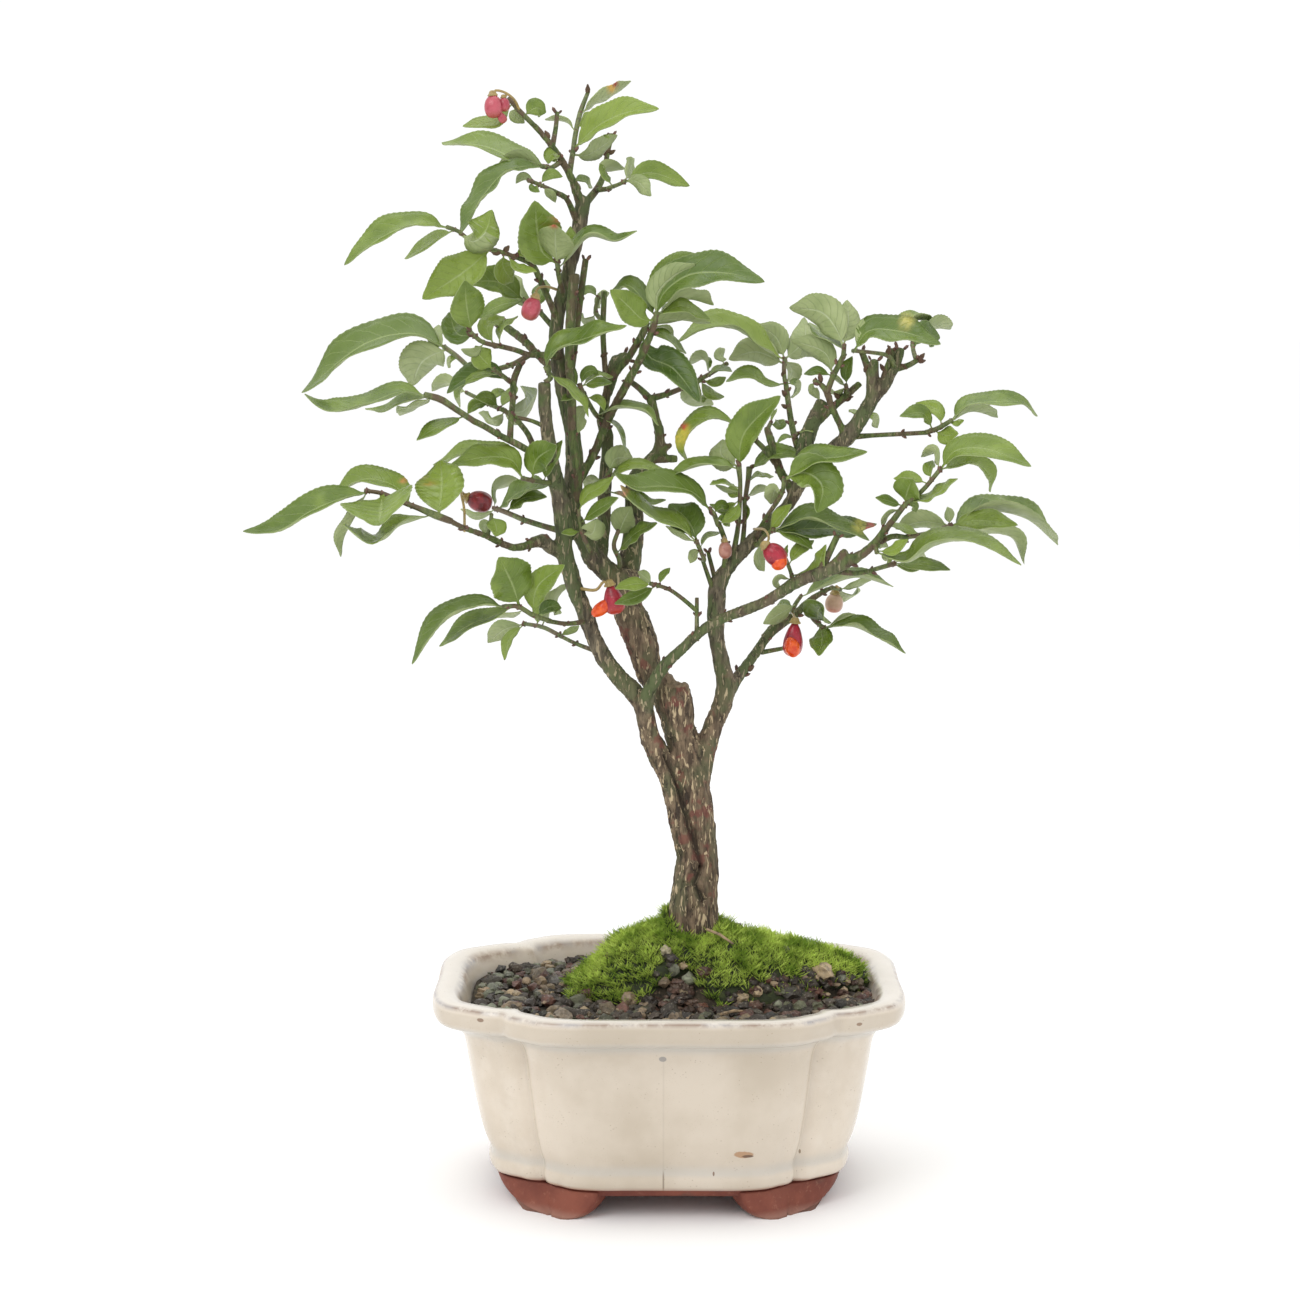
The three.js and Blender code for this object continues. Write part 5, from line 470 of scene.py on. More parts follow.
  ("top_middle_low", [
    [-9.3, 295.5, 8.5, 1, -7.5, 300, 7.5, 0.9],
  ], [
    [[-8.2, 297.5, -3, 301, 4, 301.8, 14.3, 300.5], 5, -1, -4],
    [[-9, 296, -7, 289, 1, 285, 10.5, 273.5], 11, 1, -14],
    [[-8.5, 297, -2, 296, 6, 290], 3.2, 1, 8],
    [[-8.5, 298, -3, 298.5, 0, 295], 2.5, -1, 14],
  ]),
  ("top_middle_high", [
    [-4.7, 300.3, -6, 1, -4.3, 303.5, -6.5, 0.8],
  ], [
    [[-4.5, 303, -2, 310, 7, 316.5, 20, 317, 32.5, 314.3], 12, 1, -12],
    [[-4.5, 303, -6.5, 311, 1, 316, 9, 320.3], 9, -1, -3],
    [[-4.5, 303.3, -1, 316, 5, 321, 12, 323.3], 8, 1, 12],
    [[-4.3, 302.8, 4, 306, 14, 301.5], 4.5, 1, 6],
    [[-4.3, 303.3, 5, 308.3, 15, 306.5], 2.6, -1, 20],
    [[-5.5, 301.5, -9, 301.5, -14, 306, -20, 311.5], 10, 1, -6],
    [[-5, 302.5, -9.5, 309, -14, 313, -19.5, 311.5], 6, 1, 12],
  ]),
  ("leader_front", [
    [-40.5, 281.5, -11, 1, -42, 285, -13, 0.9],
  ], [
    [[-41.7, 284.3, -43.4, 287, -39, 291, -29, 294.8, -14.5, 299.5], 6.4, 1, -9],
    [[-41.2, 283.2, -35, 279, -29.5, 273, -27.5, 268.5], 3.4, 1, -4],
  ]),
  ("middle_cluster", [
    [-24.5, 268.5, 8, 0.9, -28, 274, 3, 0.8, -30.5, 279, -1, 0.8],
  ], [
    [[-30, 278, -32.5, 281, -34, 285.5, -35, 290], 3.2, 1, 4],
    [[-30.3, 279, -29, 284.5, -25, 286.5, -24, 282.5], 3.6, 1, 3],
    [[-30.3, 279, -25, 280, -19.5, 280], 3.4, 1, -7],
    [[-30, 278.5, -25.5, 282.8, -19, 282], 2.2, 1, 7],
    [[-29, 276, -33, 275.5, -37, 274], 2.6, 1, -8],
    [[-28.5, 275, -24, 274.5, -22, 270.5], 3, 1, -5],
    [[-26.5, 272, -30.5, 269.5, -31.5, 262.5], 6, -1, -9],
    [[-25, 269, -16, 271.5, -8, 270, -3.5, 265.5], 2.2, 1, -12],
    [[-25, 268.7, -18.5, 266, -14.5, 256], 1.8, 1, -8],
  ]),
  ("leader_upper_front", [
    [-36, 310, 4, 1, -37.5, 316, -2, 0.9, -38, 320.5, -6, 0.9],
  ], [
    [[-38, 320.5, -43, 324, -45, 333, -45.5, 341.5], 16, 1, -6],
    [[-38, 320.5, -38.5, 327, -38.5, 333.5], 12, -1, -16],
    [[-37.8, 319, -34, 322.5, -27, 329.5, -18, 328, -11, 331.5], 2.8, 1, -10],
    [[-38, 320.5, -34.5, 326, -33.5, 333], 6, 1, 8],
  ]),
  ("high_left_leaves", [
    [-51, 322.1, -9, 0.8, -57, 324.3, -15, 0.8, -62, 325.5, -20, 0.7, -68, 328.5, -26, 0.7, -72,
     331.5, -30, 0.7, -75, 332.5, -32, 0.8],
  ], [
    [[-61, 325.3, -66, 320.5, -75, 314, -84, 308.5], 14, 1, -12],
    [[-53, 322.8, -49, 324, -45.5, 321], 4.5, 1, 6],
    [[-55, 323.5, -53, 317.5, -45, 317.8], 3, 1, -5],
    [[-56, 323.8, -56.5, 319.5, -53, 314], 8, 1, 12],
    [[-75, 332.5, -85, 334, -97, 329.5, -110.5, 320], 7, 1, -12],
    [[-73, 331.5, -80, 328.5, -90, 322], 4, 1, 12],
    [[-71, 330.5, -67, 326, -61, 330, -60, 338.5], 12, -1, 8],
  ]),
  ("high_left_middle", [
    [-43.5, 303.6, 8.7, 0.9, -47, 306.5, 11, 0.8, -49.5, 308, 13, 0.8],
  ], [
    [[-49.5, 308, -58, 314, -69.5, 314], 10, 1, -10],
    [[-49.3, 307.5, -57, 306.5, -65.5, 302], 5, 1, 6],
    [[-46, 305.8, -52, 311.5, -53.5, 317], 6, -1, 12],
    [[-45, 305, -43.5, 310.5, -42, 315], 6, 1, 8],
  ]),
  ("upper_left_front_tip", [
    [-57, 292.3, -15, 0.9, -64, 294, -22, 0.8, -67.5, 297, -26, 0.8],
  ], [
    [[-67.3, 297, -69, 306, -69.5, 314.5], 12, 1, -10],
    [[-66, 296, -72, 296.5, -75, 304], 9, 1, 10],
    [[-58, 292.7, -57.5, 298, -51.5, 302.8], 2, 1, 7],
    [[-60, 293, -62, 299, -56, 302.5], 6, 1, 14],
    [[-63, 293.8, -66, 290.5, -71, 291.5], 3, -1, -6],
  ]),
  ("upper_left_back_tip", [
    [-68.5, 285.4, 24.5, 0.9, -73, 289.5, 29, 0.9, -76.5, 292, 32, 0.9],
  ], [
    [[-76.5, 292, -86, 296.5, -102, 294, -125.7, 276.7], 9.5, 1, 12],
    [[-76, 291.5, -84, 287.5, -88, 279], 14, -1, 18],
    [[-76.5, 292, -79.5, 295.5, -78.5, 299.5], 6, -1, 10],
    [[-72, 288.7, -74.5, 287.7, -75.5, 285.3], 2.4, 1, 5],
  ]),
  ("upper_left_low_front", [
    [-53.7, 280, -6.5, 0.9, -57, 282.5, -12, 0.8, -60, 284.5, -17, 0.7],
  ], [
    [[-53.8, 282, -62, 284, -70, 281, -76, 276.5], 7, 1, -10],
    [[-60, 284.5, -64.5, 289, -66, 292.5], 8, 1, -4],
    [[-58, 283.2, -71, 283.5, -74, 277, -71.5, 271.5], 3.2, 1, -2],
  ]),
  ("upper_left_low_back", [
    [-56, 270.3, 3, 0.8, -62, 273, 9, 0.8, -69, 276.5, 14, 0.7],
  ], [
    [[-58, 271.5, -60, 279.5, -66.5, 275], 4.5, 1, -6],
    [[-61, 272.5, -66.5, 274.5, -69, 269.5], 4, 1, -4],
    [[-56, 270.5, -59.5, 267.3, -65, 269.8], 3.6, -1, 9],
    [[-62, 273, -58.5, 276.5, -54.5, 274.5], 3, 1, 6],
    [[-58, 271.3, -54, 276.5, -52.5, 279.5], 4, 1, 8],
    [[-69, 276.5, -75.5, 280, -81, 277.3], 4.5, -1, 12],
    [[-55, 269.5, -50, 270.5, -45, 277.5], 8, -1, 26],
  ]),
  ("top_left_leaves", [
    [-36.5, 354.8, 0.5, 1, -40, 352.5, -4, 0.8, -43, 353, -8, 0.8],
  ], [
    [[-43, 353, -54, 352, -62, 344.5, -71.5, 330], 6, 1, -14],
    [[-42, 353, -50, 355.5, -58.5, 353], 6.5, -1, 8],
    [[-41, 352.5, -50, 354.5, -62, 359.5, -77, 361], 7, 1, 22],
    [[-38, 354, -38, 359.5, -41, 358.5, -41, 354], 5, 1, -3],
  ]),
  ("top_middle_leaves", [
    [-32.6, 357, 7.5, 0.9, -31.8, 363, 12, 0.9, -30, 371, 17, 0.9, -27.5, 377.5, 21, 0.7],
  ], [
    [[-32.3, 359, -24, 366.5, -14, 371, -3.5, 372.3], 8.5, 1, -12],
    [[-31.3, 366, -27, 368.5, -25, 370.5], 5.5, 1, -6],
    [[-30, 370.5, -25, 374.5, -19, 377.5, -13, 381.5], 4, -1, 8],
    [[-31.5, 364.5, -34.5, 368, -42, 368.7], 1.8, -1, 6],
    [[-32.7, 356.5, -28, 357, -17.5, 363.5], 6, -1, 8],
  ]),
  ("top_right_leaves", [
    [-21, 345.5, 3, 0.8, -17, 347, -3, 0.7, -15, 348, -5, 0.7],
  ], [
    [[-15.5, 347.8, -11, 350.5, -6, 343], 5.5, -1, -8],
    [[-15, 348, -7, 350.8, 7, 346.5], 7, 1, 8],
    [[-15, 348, -13.5, 352, -12, 355.5], 4, -1, 13],
    [[-19, 346.2, -22.5, 350.5, -24, 353.5, -15, 352.3], 4, -1, 9],
  ]),
  ("top_tip_leaves", [
    [-45.5, 366.5, -6, 0.9, -51, 372, -9, 0.9, -54, 375.5, -10, 0.8],
  ], [
    [[-49, 370, -45, 372.5, -41.5, 371], 6.5, 1, 6],
    [[-52, 373, -53.5, 369.5, -49, 367.5], 4.5, -1, 7],
    [[-53, 374, -58, 368.5, -64, 367.3, -69.8, 366.5], 4.5, 1, -8],
  ]),
  ("top_low_left_leaves", [
    [-37, 343.6, -2, 0.9, -43, 346.5, -9, 0.7, -47.5, 348.3, -13, 0.7],
  ], [
    [[-44, 347, -40, 350.5, -36, 349.5], 3.6, 1, 5],
    [[-46.5, 347.8, -49.5, 345.5, -44, 344.5], 2.6, 1, -5],
    [[-43, 346.5, -40, 343.5, -38.5, 341], 3, -1, 6],
    [[-45, 347.2, -49, 349.5, -52, 347.5], 3, -1, 7],
  ]),
]

# Small leafy spurs that grow on the wood itself, written as the shoots are
SPURS = [
  ("left_side_sprig", [
    [-62.5, 226.8, -26.5, 0.8, -61.5, 231, -26, 0.7, -61, 234.5, -25, 0.7],
  ], [
    [[-61, 234.5, -59.5, 231, -59.5, 227.3], 7, 1, -5],
    [[-61, 233, -63.5, 231.5, -63, 228.5], 3.5, 1, 7],
  ]),
  ("middle_front", [
    [-17.3, 215, 2, 0.9, -17, 219, 1, 0.9, -19, 224, -4, 0.8, -17.5, 229, -8, 0.7],
  ], [
    [[-18, 226.5, -16, 232, -13, 237.5], 9, -1, 6],
    [[-18, 221.5, -12, 228, -4, 232], 4.5, 1, -10],
  ]),
  ("right_twig_small", [
    [43, 211.2, -16, 0.9, 42, 215, -13, 0.7, 40.5, 219, -11, 0.7],
  ], [
    [[41.5, 217.5, 45, 223, 50, 226], 4.5, 1, 8],
    [[43, 214, 50, 215.5, 54, 224.5], 4.5, 1, -8],
    [[42.5, 212.5, 36, 216, 35, 211, 39, 208.5], 2.2, -1, 5],
    [[40.5, 219, 40.3, 222, 41, 224.5], 1.6, -1, 3],
  ]),
  ("right_under_small", [
    [42.5, 199.7, 15, 0.8, 43.5, 203.5, 11, 0.8, 45.5, 206.5, 8, 0.7],
  ], [
    [[44, 204, 39, 201, 32.5, 197], 5.5, -1, -6],
    [[46, 206.5, 55, 210.5, 65, 213.3, 77.5, 210], 2.6, 1, 8],
    [[43.2, 203, 40, 204, 36.5, 202.5], 2.2, 1, 6],
  ]),
  ("right_small_pair", [
    [56, 209.6, 22, 0.8, 59, 209, 25, 0.7],
  ], [
    [[58.5, 209, 64, 210.3, 70, 212.5], 2.5, -1, 6],
    [[59, 209, 62, 206.5, 66, 208.5], 3, -1, 14],
  ]),
  ("right_stub_leaves", [
    [61, 276.3, 3.5, 0.9, 60.5, 279, 0, 0.7],
  ], [
    [[60.7, 278.8, 60.5, 284, 62.5, 289], 4.2, 1, -5],
    [[60.8, 278.5, 58.5, 280.5, 55, 282.5], 1.8, -1, 5],
    [[60.5, 278.8, 57.5, 276.5, 55, 276.8], 2.2, -1, 7],
  ]),
  ("right_back_small", [
    [66, 266, -5, 0.8, 67, 268, 0, 0.7],
  ], [
    [[67, 268, 64.5, 269.5, 62, 271], 2.2, 1, 8],
    [[67, 268, 69.5, 268.5, 71.5, 264.8], 3.6, 1, 7],
  ]),
  ("inner_fork_leaves", [
    [55.5, 280.7, -11, 0.9, 56, 283.5, -7, 0.7],
  ], [
    [[56, 282.8, 53.5, 290, 41.5, 294.7], 8, -1, 8],
    [[55.8, 282.5, 50, 284, 46, 283], 3, 1, 6],
    [[56, 283.5, 52, 288, 45, 289.5], 4, -1, 22],
  ]),
  ("inner_fork_low_leaves", [
    [51.7, 279.8, -10, 0.9, 50, 280.5, -8, 0.8],
  ], [
    [[50, 280.5, 47, 279.5, 51.5, 274.5], 3.2, -1, 6],
  ]),
  ("inner_stub_leaf_right", [
    [33.7, 264, 11, 0.8, 34.8, 266.3, 13, 0.7],
  ], [
    [[34.8, 266, 37.3, 265.5, 39.5, 267.5], 4, 1, 6],
    [[34.8, 266.3, 36, 269.5, 37, 271.3], 1.2, 1, 3],
  ]),
  ("inner_twig_small_leaves", [
    [43.2, 261.6, 9, 0.8, 44, 262.5, 6, 0.7, 43, 261.5, 5, 0.7],
  ], [
    [[44, 262.5, 46.5, 264, 49.5, 263.3], 1.2, 1, -4],
    [[43, 261.5, 40, 261.8, 37, 259.5], 1.6, 1, -3],
  ]),
  ("top_middle_small", [
    [-22, 300, 10, 0.9, -25, 304, 13, 0.8, -24, 309, 14, 0.7],
  ], [
    [[-24, 309, -27, 311.5, -31, 310], 3, 1, 5],
    [[-25, 304, -24, 307.5, -20.5, 310.5], 3.5, -1, 9],
    [[-24.8, 303.5, -28, 301, -31, 303], 3, -1, 8],
    [[-23, 301, -26.5, 298, -22, 298], 4, 1, -4],
  ]),
  ("top_base_leaf", [
    [-30.5, 345.5, 4.5, 0.8, -33, 348.5, 9, 0.7],
  ], [
    [[-33, 348.5, -29, 348.5, -26, 346], 2.6, 1, 7],
  ]),
]

# Fruits: name, x, z and depth of the stalk end, width, length below it, lean of the axis in
# degrees, the stalk's points as for wood, and the look
FRUITS = [
    ("fruit_dark_capsule", (-69.3, 240.6, -17), 7.4, 8.8, 74,
     [-70.3, 229, -33, 0.5, -70.4, 237, -26, 0.45, -71.3, 242.6, -20, 0.45,
      -69.3, 240.6, -17, 0.55], "dark"),
    ("fruit_open_capsule", (-20.4, 210.6, -12), 7.6, 10.5, 14,
     [-31, 209.3, -5, 0.6, -25, 208.8, -9, 0.55, -22.4, 211.6, -11, 0.5, -20.4, 210.6, -12, 0.6],
     "crimson"),
    ("fruit_pear_capsule", (33.2, 224, -20), 7.6, 8.8, 48,
     [29.3, 229.8, 0, 0.5, 33, 229.5, -10, 0.45, 34.4, 226.5, -17, 0.45, 33.2, 224, -20, 0.55],
     "crimson"),
    ("fruit_brown_capsule", (19.2, 225.6, -7), 4.8, 6, 4,
     [18.9, 227.5, -3, 0.5, 19.2, 225.6, -7, 0.5], "brown"),
    ("fruit_pale_berry", (57.3, 207.6, 26), 6.5, 6.8, -4,
     [57.8, 210, 22.5, 0.5, 58.6, 209.2, 25, 0.45, 57.3, 207.6, 26, 0.5], "pale"),
    ("fruit_drop_capsule", (43.6, 197.6, 6), 7.2, 12, -5,
     [42.4, 201, 15, 0.5, 43.3, 199.6, 9, 0.45, 43.6, 197.6, 6, 0.6],
     "crimson"),
    ("fruit_pink_capsule", (-45.5, 309, -12), 6.6, 8.2, -20,
     [-38.3, 311.6, 1, 0.5, -42, 312.6, -6, 0.45, -45, 311.6, -11, 0.45, -45.5, 309, -12, 0.55],
     "pink"),
]
TOP_STALKS = [[-50.7, 372, -9.3, 0.5, -52.5, 375.4, -14, 0.45, -55.5, 377.6, -16, 0.45,
               -58.8, 378.2, -17, 0.45, -59.6, 376.8, -17, 0.5],
              [-54.6, 377.2, -15.5, 0.45, -56, 375.6, -16, 0.45]]
TOP_CAPSULES = [((-59.6, 376.8, -17), 6.4, 7.8, 4), ((-56, 376, -16), 4, 4.8, 6),
                ((-58, 371.4, -17), 3, 4.6, 34)]
# Bright seeds that show in split capsules: name, centre, radii across and along, and lean
SEEDS = [("fruit_open_seed", (-23.2, 202.4, -13), 2.3, 4.2, -52),
         ("fruit_pear_seed", (38, 218.4, -20.6), 3.1, 2.6, 48),
         ("fruit_drop_seed", (42.7, 188.8, 4.3), 2.7, 3.6, 12)]

low_corner, high_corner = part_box("pot")
POT_MIDDLE = Vector(((low_corner[0] + high_corner[0]) / 2, (low_corner[1] + high_corner[1]) / 2, 0))


def to_row(point):
    return Vector(point) * MILLIMETRE + POT_MIDDLE


def put_in_scene(name, data):
    """An object in the scene that shows this data."""
    shown = bpy.data.objects.new(name, data)
    bpy.context.collection.objects.link(shown)
    return shown


def mesh_of(name, bm):
    """The bmesh as a mesh, and the end of the bmesh."""
    mesh = bpy.data.meshes.new(name)
    bm.to_mesh(mesh)
    bm.free()
    return mesh


def stand_in(piece, node):
    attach(piece, "root")
    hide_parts(node)


camera_data = bpy.data.cameras.new("camera")
camera = put_in_scene("camera", camera_data)
bpy.context.scene.camera = camera
camera.location = to_row(EYE)
camera.rotation_euler = (CAMERA_PITCH, 0, 0)
camera_data.lens = CAMERA_LENS
camera_data.sensor_width = 36
camera_data.clip_end = 20
camera_data.dof.use_dof = False


def reached_depth(depth):
    return TRUNK_DEPTH + (depth - TRUNK_DEPTH) * BACK_REACH if depth > TRUNK_DEPTH else depth


def sight_scale(depth):
    return 1 + reached_depth(depth) / abs(EYE.y)


def sighted(x, z, depth):
    """The place that is seen at x and z on the upright plane through the trunk, at this depth."""
    scale = sight_scale(depth)
    return Vector((EYE.x + (x - EYE.x) * scale, reached_depth(depth), EYE.z + (z - EYE.z) * scale))


def quads(flat):
    return [flat[i:i + 4] for i in range(0, len(flat), 4)]


class Curve:
    """A smooth line through points, read at parts of its length from 0 to 1."""

    def __init__(self, points, fine=8):
        self.places = [Vector(points[0])]
        count = len(points)
        for i in range(count - 1):
            a, b = Vector(points[i]), Vector(points[i + 1])
            before = Vector(points[i - 1]) if i > 0 else a * 2 - b
            after = Vector(points[i + 2]) if i + 2 < count else b * 2 - a
            self.places += self.stretch(before, a, b, after, fine)
        steps = [(q - p).length for p, q in zip(self.places, self.places[1:])]
        self.lengths = np.concatenate([[0], np.cumsum(steps)])
        self.length = float(self.lengths[-1])
        self.table = np.array([list(p) for p in self.places])

    @staticmethod
    def stretch(before, a, b, after, fine):
        gaps = [max(1e-4, math.sqrt((q - p).length)) for p, q in ((before, a), (a, b), (b, after))]
        g, h, k = gaps
        out_a = ((a - before) / g - (b - before) / (g + h) + (b - a) / h) * h
        in_b = ((b - a) / h - (after - a) / (h + k) + (after - b) / k) * h
        places = []
        for step in range(1, fine + 1):
            t = step / fine
            t2, t3 = t * t, t * t * t
            places.append(a * (2 * t3 - 3 * t2 + 1) + out_a * (t3 - 2 * t2 + t)
                          + b * (3 * t2 - 2 * t3) + in_b * (t3 - t2))
        return places

    def at(self, part):
        place = part * self.length
        return Vector([float(np.interp(place, self.lengths, column)) for column in self.table.T])


def new_piece(name, bm, materials, node, smooth=True):
    """Turns a mesh in millimetres into a finished piece that stands for a CAD node."""
    for vertex in bm.verts:
        vertex.co = to_row(vertex.co)
    mesh = mesh_of(name, bm)
    for material in materials:
        mesh.materials.append(material)
    mesh.shade_smooth() if smooth else mesh.shade_flat()
    stand_in(put_in_scene(name, mesh), node)


def join(pieces):
    """Joins objects into the first of them."""
    with bpy.context.temp_override(active_object=pieces[0], object=pieces[0],
                                   selected_objects=pieces, selected_editable_objects=pieces):
        bpy.ops.object.join()
    return pieces[0]


def gather(parts):
    """One mesh from many small ones, in the units that they have."""
    holder = join([put_in_scene("part", mesh_of("part", part)) for part in parts])
    bm = bmesh.new()
    bm.from_mesh(holder.data)
    bpy.data.objects.remove(holder)
    return bm


def lathe(bm, profile, steps, merge, start=(1, 0)):
    """A profile of distances from the axis and heights, spun round the axis from a direction."""
    verts = [bm.verts.new((start[0] * reach, start[1] * reach, rise)) for reach, rise in profile]
    edges = [bm.edges.new(pair) for pair in zip(verts, verts[1:])]
    bmesh.ops.spin(bm, geom=verts + edges, cent=(0, 0, 0), axis=(0, 0, 1), angle=2 * math.pi,
                   steps=steps, use_merge=True)
    bmesh.ops.remove_doubles(bm, verts=bm.verts, dist=merge)


def tube(bm, points, radii, sides, material=0):
    """A round tube through points, extruded ring by ring, and its new vertices."""
    across = Vector((0, 1, 0))
    made, edges, inverse = [], [], None
    count = len(points)
    for i, point in enumerate(points):
        along = (points[min(count - 1, i + 1)] - points[max(0, i - 1)]).normalized()
        across = across - along * across.dot(along)
        if across.length < 1e-5:
            across = along.orthogonal()
        across.normalize()
        upright = along.cross(across)
        place = Matrix((across * radii[i], upright * radii[i], along)).transposed().to_4x4()
        place.translation = point
        if i == 0:
            ring = bmesh.ops.create_circle(bm, segments=sides, radius=1, matrix=place)["verts"]
            edges = list(dict.fromkeys(edge for vertex in ring for edge in vertex.link_edges))
        else:
            grown = bmesh.ops.extrude_edge_only(bm, edges=edges)["geom"]
            ring = [item for item in grown if isinstance(item, bmesh.types.BMVert)]
            edges = [item for item in grown if isinstance(item, bmesh.types.BMEdge)]
            move = place @ inverse
            for vertex in ring:
                vertex.co = move @ vertex.co
            for item in grown:
                if isinstance(item, bmesh.types.BMFace):
                    item.material_index = material
        if i in (0, count - 1):
            for face in bmesh.ops.contextual_create(bm, geom=edges)["faces"]:
                face.material_index = material
        made += ring
        inverse = place.inverted()
    return made


# Leaves and the stems that carry them


def nearest_seen(flats, x, z):
    """Distance to the nearest of some stems as seen from the front, and its x, z, depth, radius."""
    best = None
    for flat in flats:
        rows = quads(flat)
        for a, b in zip(rows, rows[1:]):
            run = (b[0] - a[0], b[1] - a[1])
            length2 = max(run[0] ** 2 + run[1] ** 2, 1e-9)
            part = min(1, max(0, ((x - a[0]) * run[0] + (z - a[1]) * run[1]) / length2))
            foot = [p + part * (q - p) for p, q in zip(a, b)]
            gap = math.hypot(x - foot[0], z - foot[1])
            if best is None or gap < best[0]:
                best = (gap, foot)
    return best


def limb_line(flat):
    """Points and radii of a limb in the round, from its x, z, depth and radius as seen."""
    rows = quads(flat)
    points = [sighted(x, z, depth) for x, z, depth, radius in rows]
    radii = [radius * sight_scale(depth) for x, z, depth, radius in rows]
    return points, radii


def limb_tube(flat, sides, per_stretch):
    bm = bmesh.new()
    smooth_tube(bm, *limb_line(flat), sides, 0, per_stretch)
    return bm


def rooted_path(path, gap, foot):
    if gap <= FOOT_GAP:
        return path
    turn = (path[0] - foot[0]) * (path[2] - path[0]) + (path[1] - foot[1]) * (path[3] - path[1])
    return [foot[0], foot[1]] + (path[2:] if turn < 0 or gap < SHORT_STALK else path)


def eased(points):
    """The same points with each sharp corner rounded towards the middle of its neighbours."""
    out = [points[0]]
    for before, point, after in zip(points, points[1:], points[2:]):
        sharp = (point - before).angle(after - point, 0) >= SHARP_TURN
        out.append(point.lerp((before + after) / 2, 0.5) if sharp else point)
    return out + [points[-1]]


def blade_plan(leaf, stems):
    """Middle line, length, width and roll of a leaf."""
    seen_path, seen_width, side, reach = leaf
    gap, foot = nearest_seen(stems, seen_path[0], seen_path[1])
    path = rooted_path(seen_path, gap, foot)
    spots = [(path[i], path[i + 1]) for i in range(0, len(path), 2)]
    lengths = [0]
    for a, b in zip(spots, spots[1:]):
        lengths.append(lengths[-1] + math.hypot(b[0] - a[0], b[1] - a[1]))
    points = [sighted(x, z, foot[2] + reach * (length / lengths[-1]) ** TIP_DEPTH_POWER)
              for (x, z), length in zip(spots, lengths)]
    midrib = Curve(eased(eased(points)))
    scale = sight_scale(foot[2])
    width = max(seen_width * WIDTH_GAIN, LEAF_WIDTH_PART * midrib.length) * scale
    tilt = math.acos(min(1, seen_width * scale / width))
    return midrib, width, tilt if side > 0 else math.pi - tilt


def blade_profile(t, stalk):
    """Half width along the blade as part of the widest, with a thin stalk at the foot."""
    if t <= stalk:
        return 0.06
    u = (t - stalk) / (1 - stalk)
    body = math.sin(math.pi * u ** 0.85) ** 0.8 if 0 < u < 1 else 0
    tip = 1 - 0.28 * max(0, (u - 0.72) / 0.28) * (1 - max(0, (u - 0.9) / 0.1))
    return max(0.06 * (1 - u), body * tip)


def leaf_blade(bm, leaf, stems, draw, layers):
    """A leaf bent to its midrib from a flat grid, with a fine toothed margin and a fold."""
    midrib, width, roll = blade_plan(leaf, stems)
    span = midrib.length
    rows, wings, teeth = next(grid[1:] for grid in LEAF_GRIDS if span > grid[0])
    stalk = min(0.16, 2.2 / span)
    fold = math.radians(draw.uniform(14, 28) if span >= 24 else draw.uniform(4, 16))
    wave, wave_turns = draw.uniform(0.02, 0.07), draw.uniform(1.4, 3)
    wave_start = draw.uniform(0, 6.3)
    quilt = draw.uniform(0.01, 0.022)
    frames = []
    for row in range(rows + 1):
        t = row / rows
        place = midrib.at(t)
        along = (midrib.at(min(1, t + 0.04)) - midrib.at(max(0, t - 0.04))).normalized()
        to_eye = (EYE - place).normalized()
        rise = along.cross(to_eye).normalized()
        frames.append([place, along, to_eye, rise])
    middle = rows // 2
    if frames[middle][3].z < 0:
        frames[middle][3].negate()
    for order in (range(middle + 1, rows + 1), range(middle - 1, -1, -1)):
        for row in order:
            neighbour = frames[row - 1 if row > middle else row + 1]
            if frames[row][3].dot(neighbour[3]) < 0:
                frames[row][3].negate()
    tint = (draw.random(), draw.random(), draw.random())
    made = bmesh.ops.create_grid(bm, x_segments=rows, y_segments=wings, size=0.5)["verts"]
    for vertex in made:
        t = min(1, max(0, vertex.co.x + 0.5))
        s = min(1, max(-1, vertex.co.y * 2))
        row = round(t * rows)
        place, along, to_eye, rise = frames[row]
        facing = rise.cross(along)
        if facing.dot(to_eye) < 0:
            facing.negate()
        normal = facing * math.cos(roll) + rise * math.sin(roll)
        across = normal.cross(along)
        half = width / 2 * blade_profile(t, stalk)
        edge = abs(s)
        if edge > 0.99 and stalk < t < 0.97:
            half *= 1 + teeth * (1 if row % 2 else -1)
        swing = wave_turns * 2 * math.pi * t + wave_start + (s > 0) * 1.3
        ripple = wave * width * edge ** 2 * math.sin(swing)
        quilting = math.cos(2 * math.pi * (t * 7 - edge * 1.6)) * edge * (1 - edge) * 3
        ripple += quilt * width * quilting
        bend = fold * (0.75 + 0.25 * edge) * min(1, half / (0.2 * width + 1e-6))
        rise_of_edge = edge * half * math.sin(bend) + ripple * min(1, 2.5 * half / width)
        vertex.co = place + across * (s * half * math.cos(bend)) + normal * rise_of_edge
        vertex[layers["place"]] = Vector((t, s, 0))
        vertex[layers["tint"]] = Vector((*tint, 1))


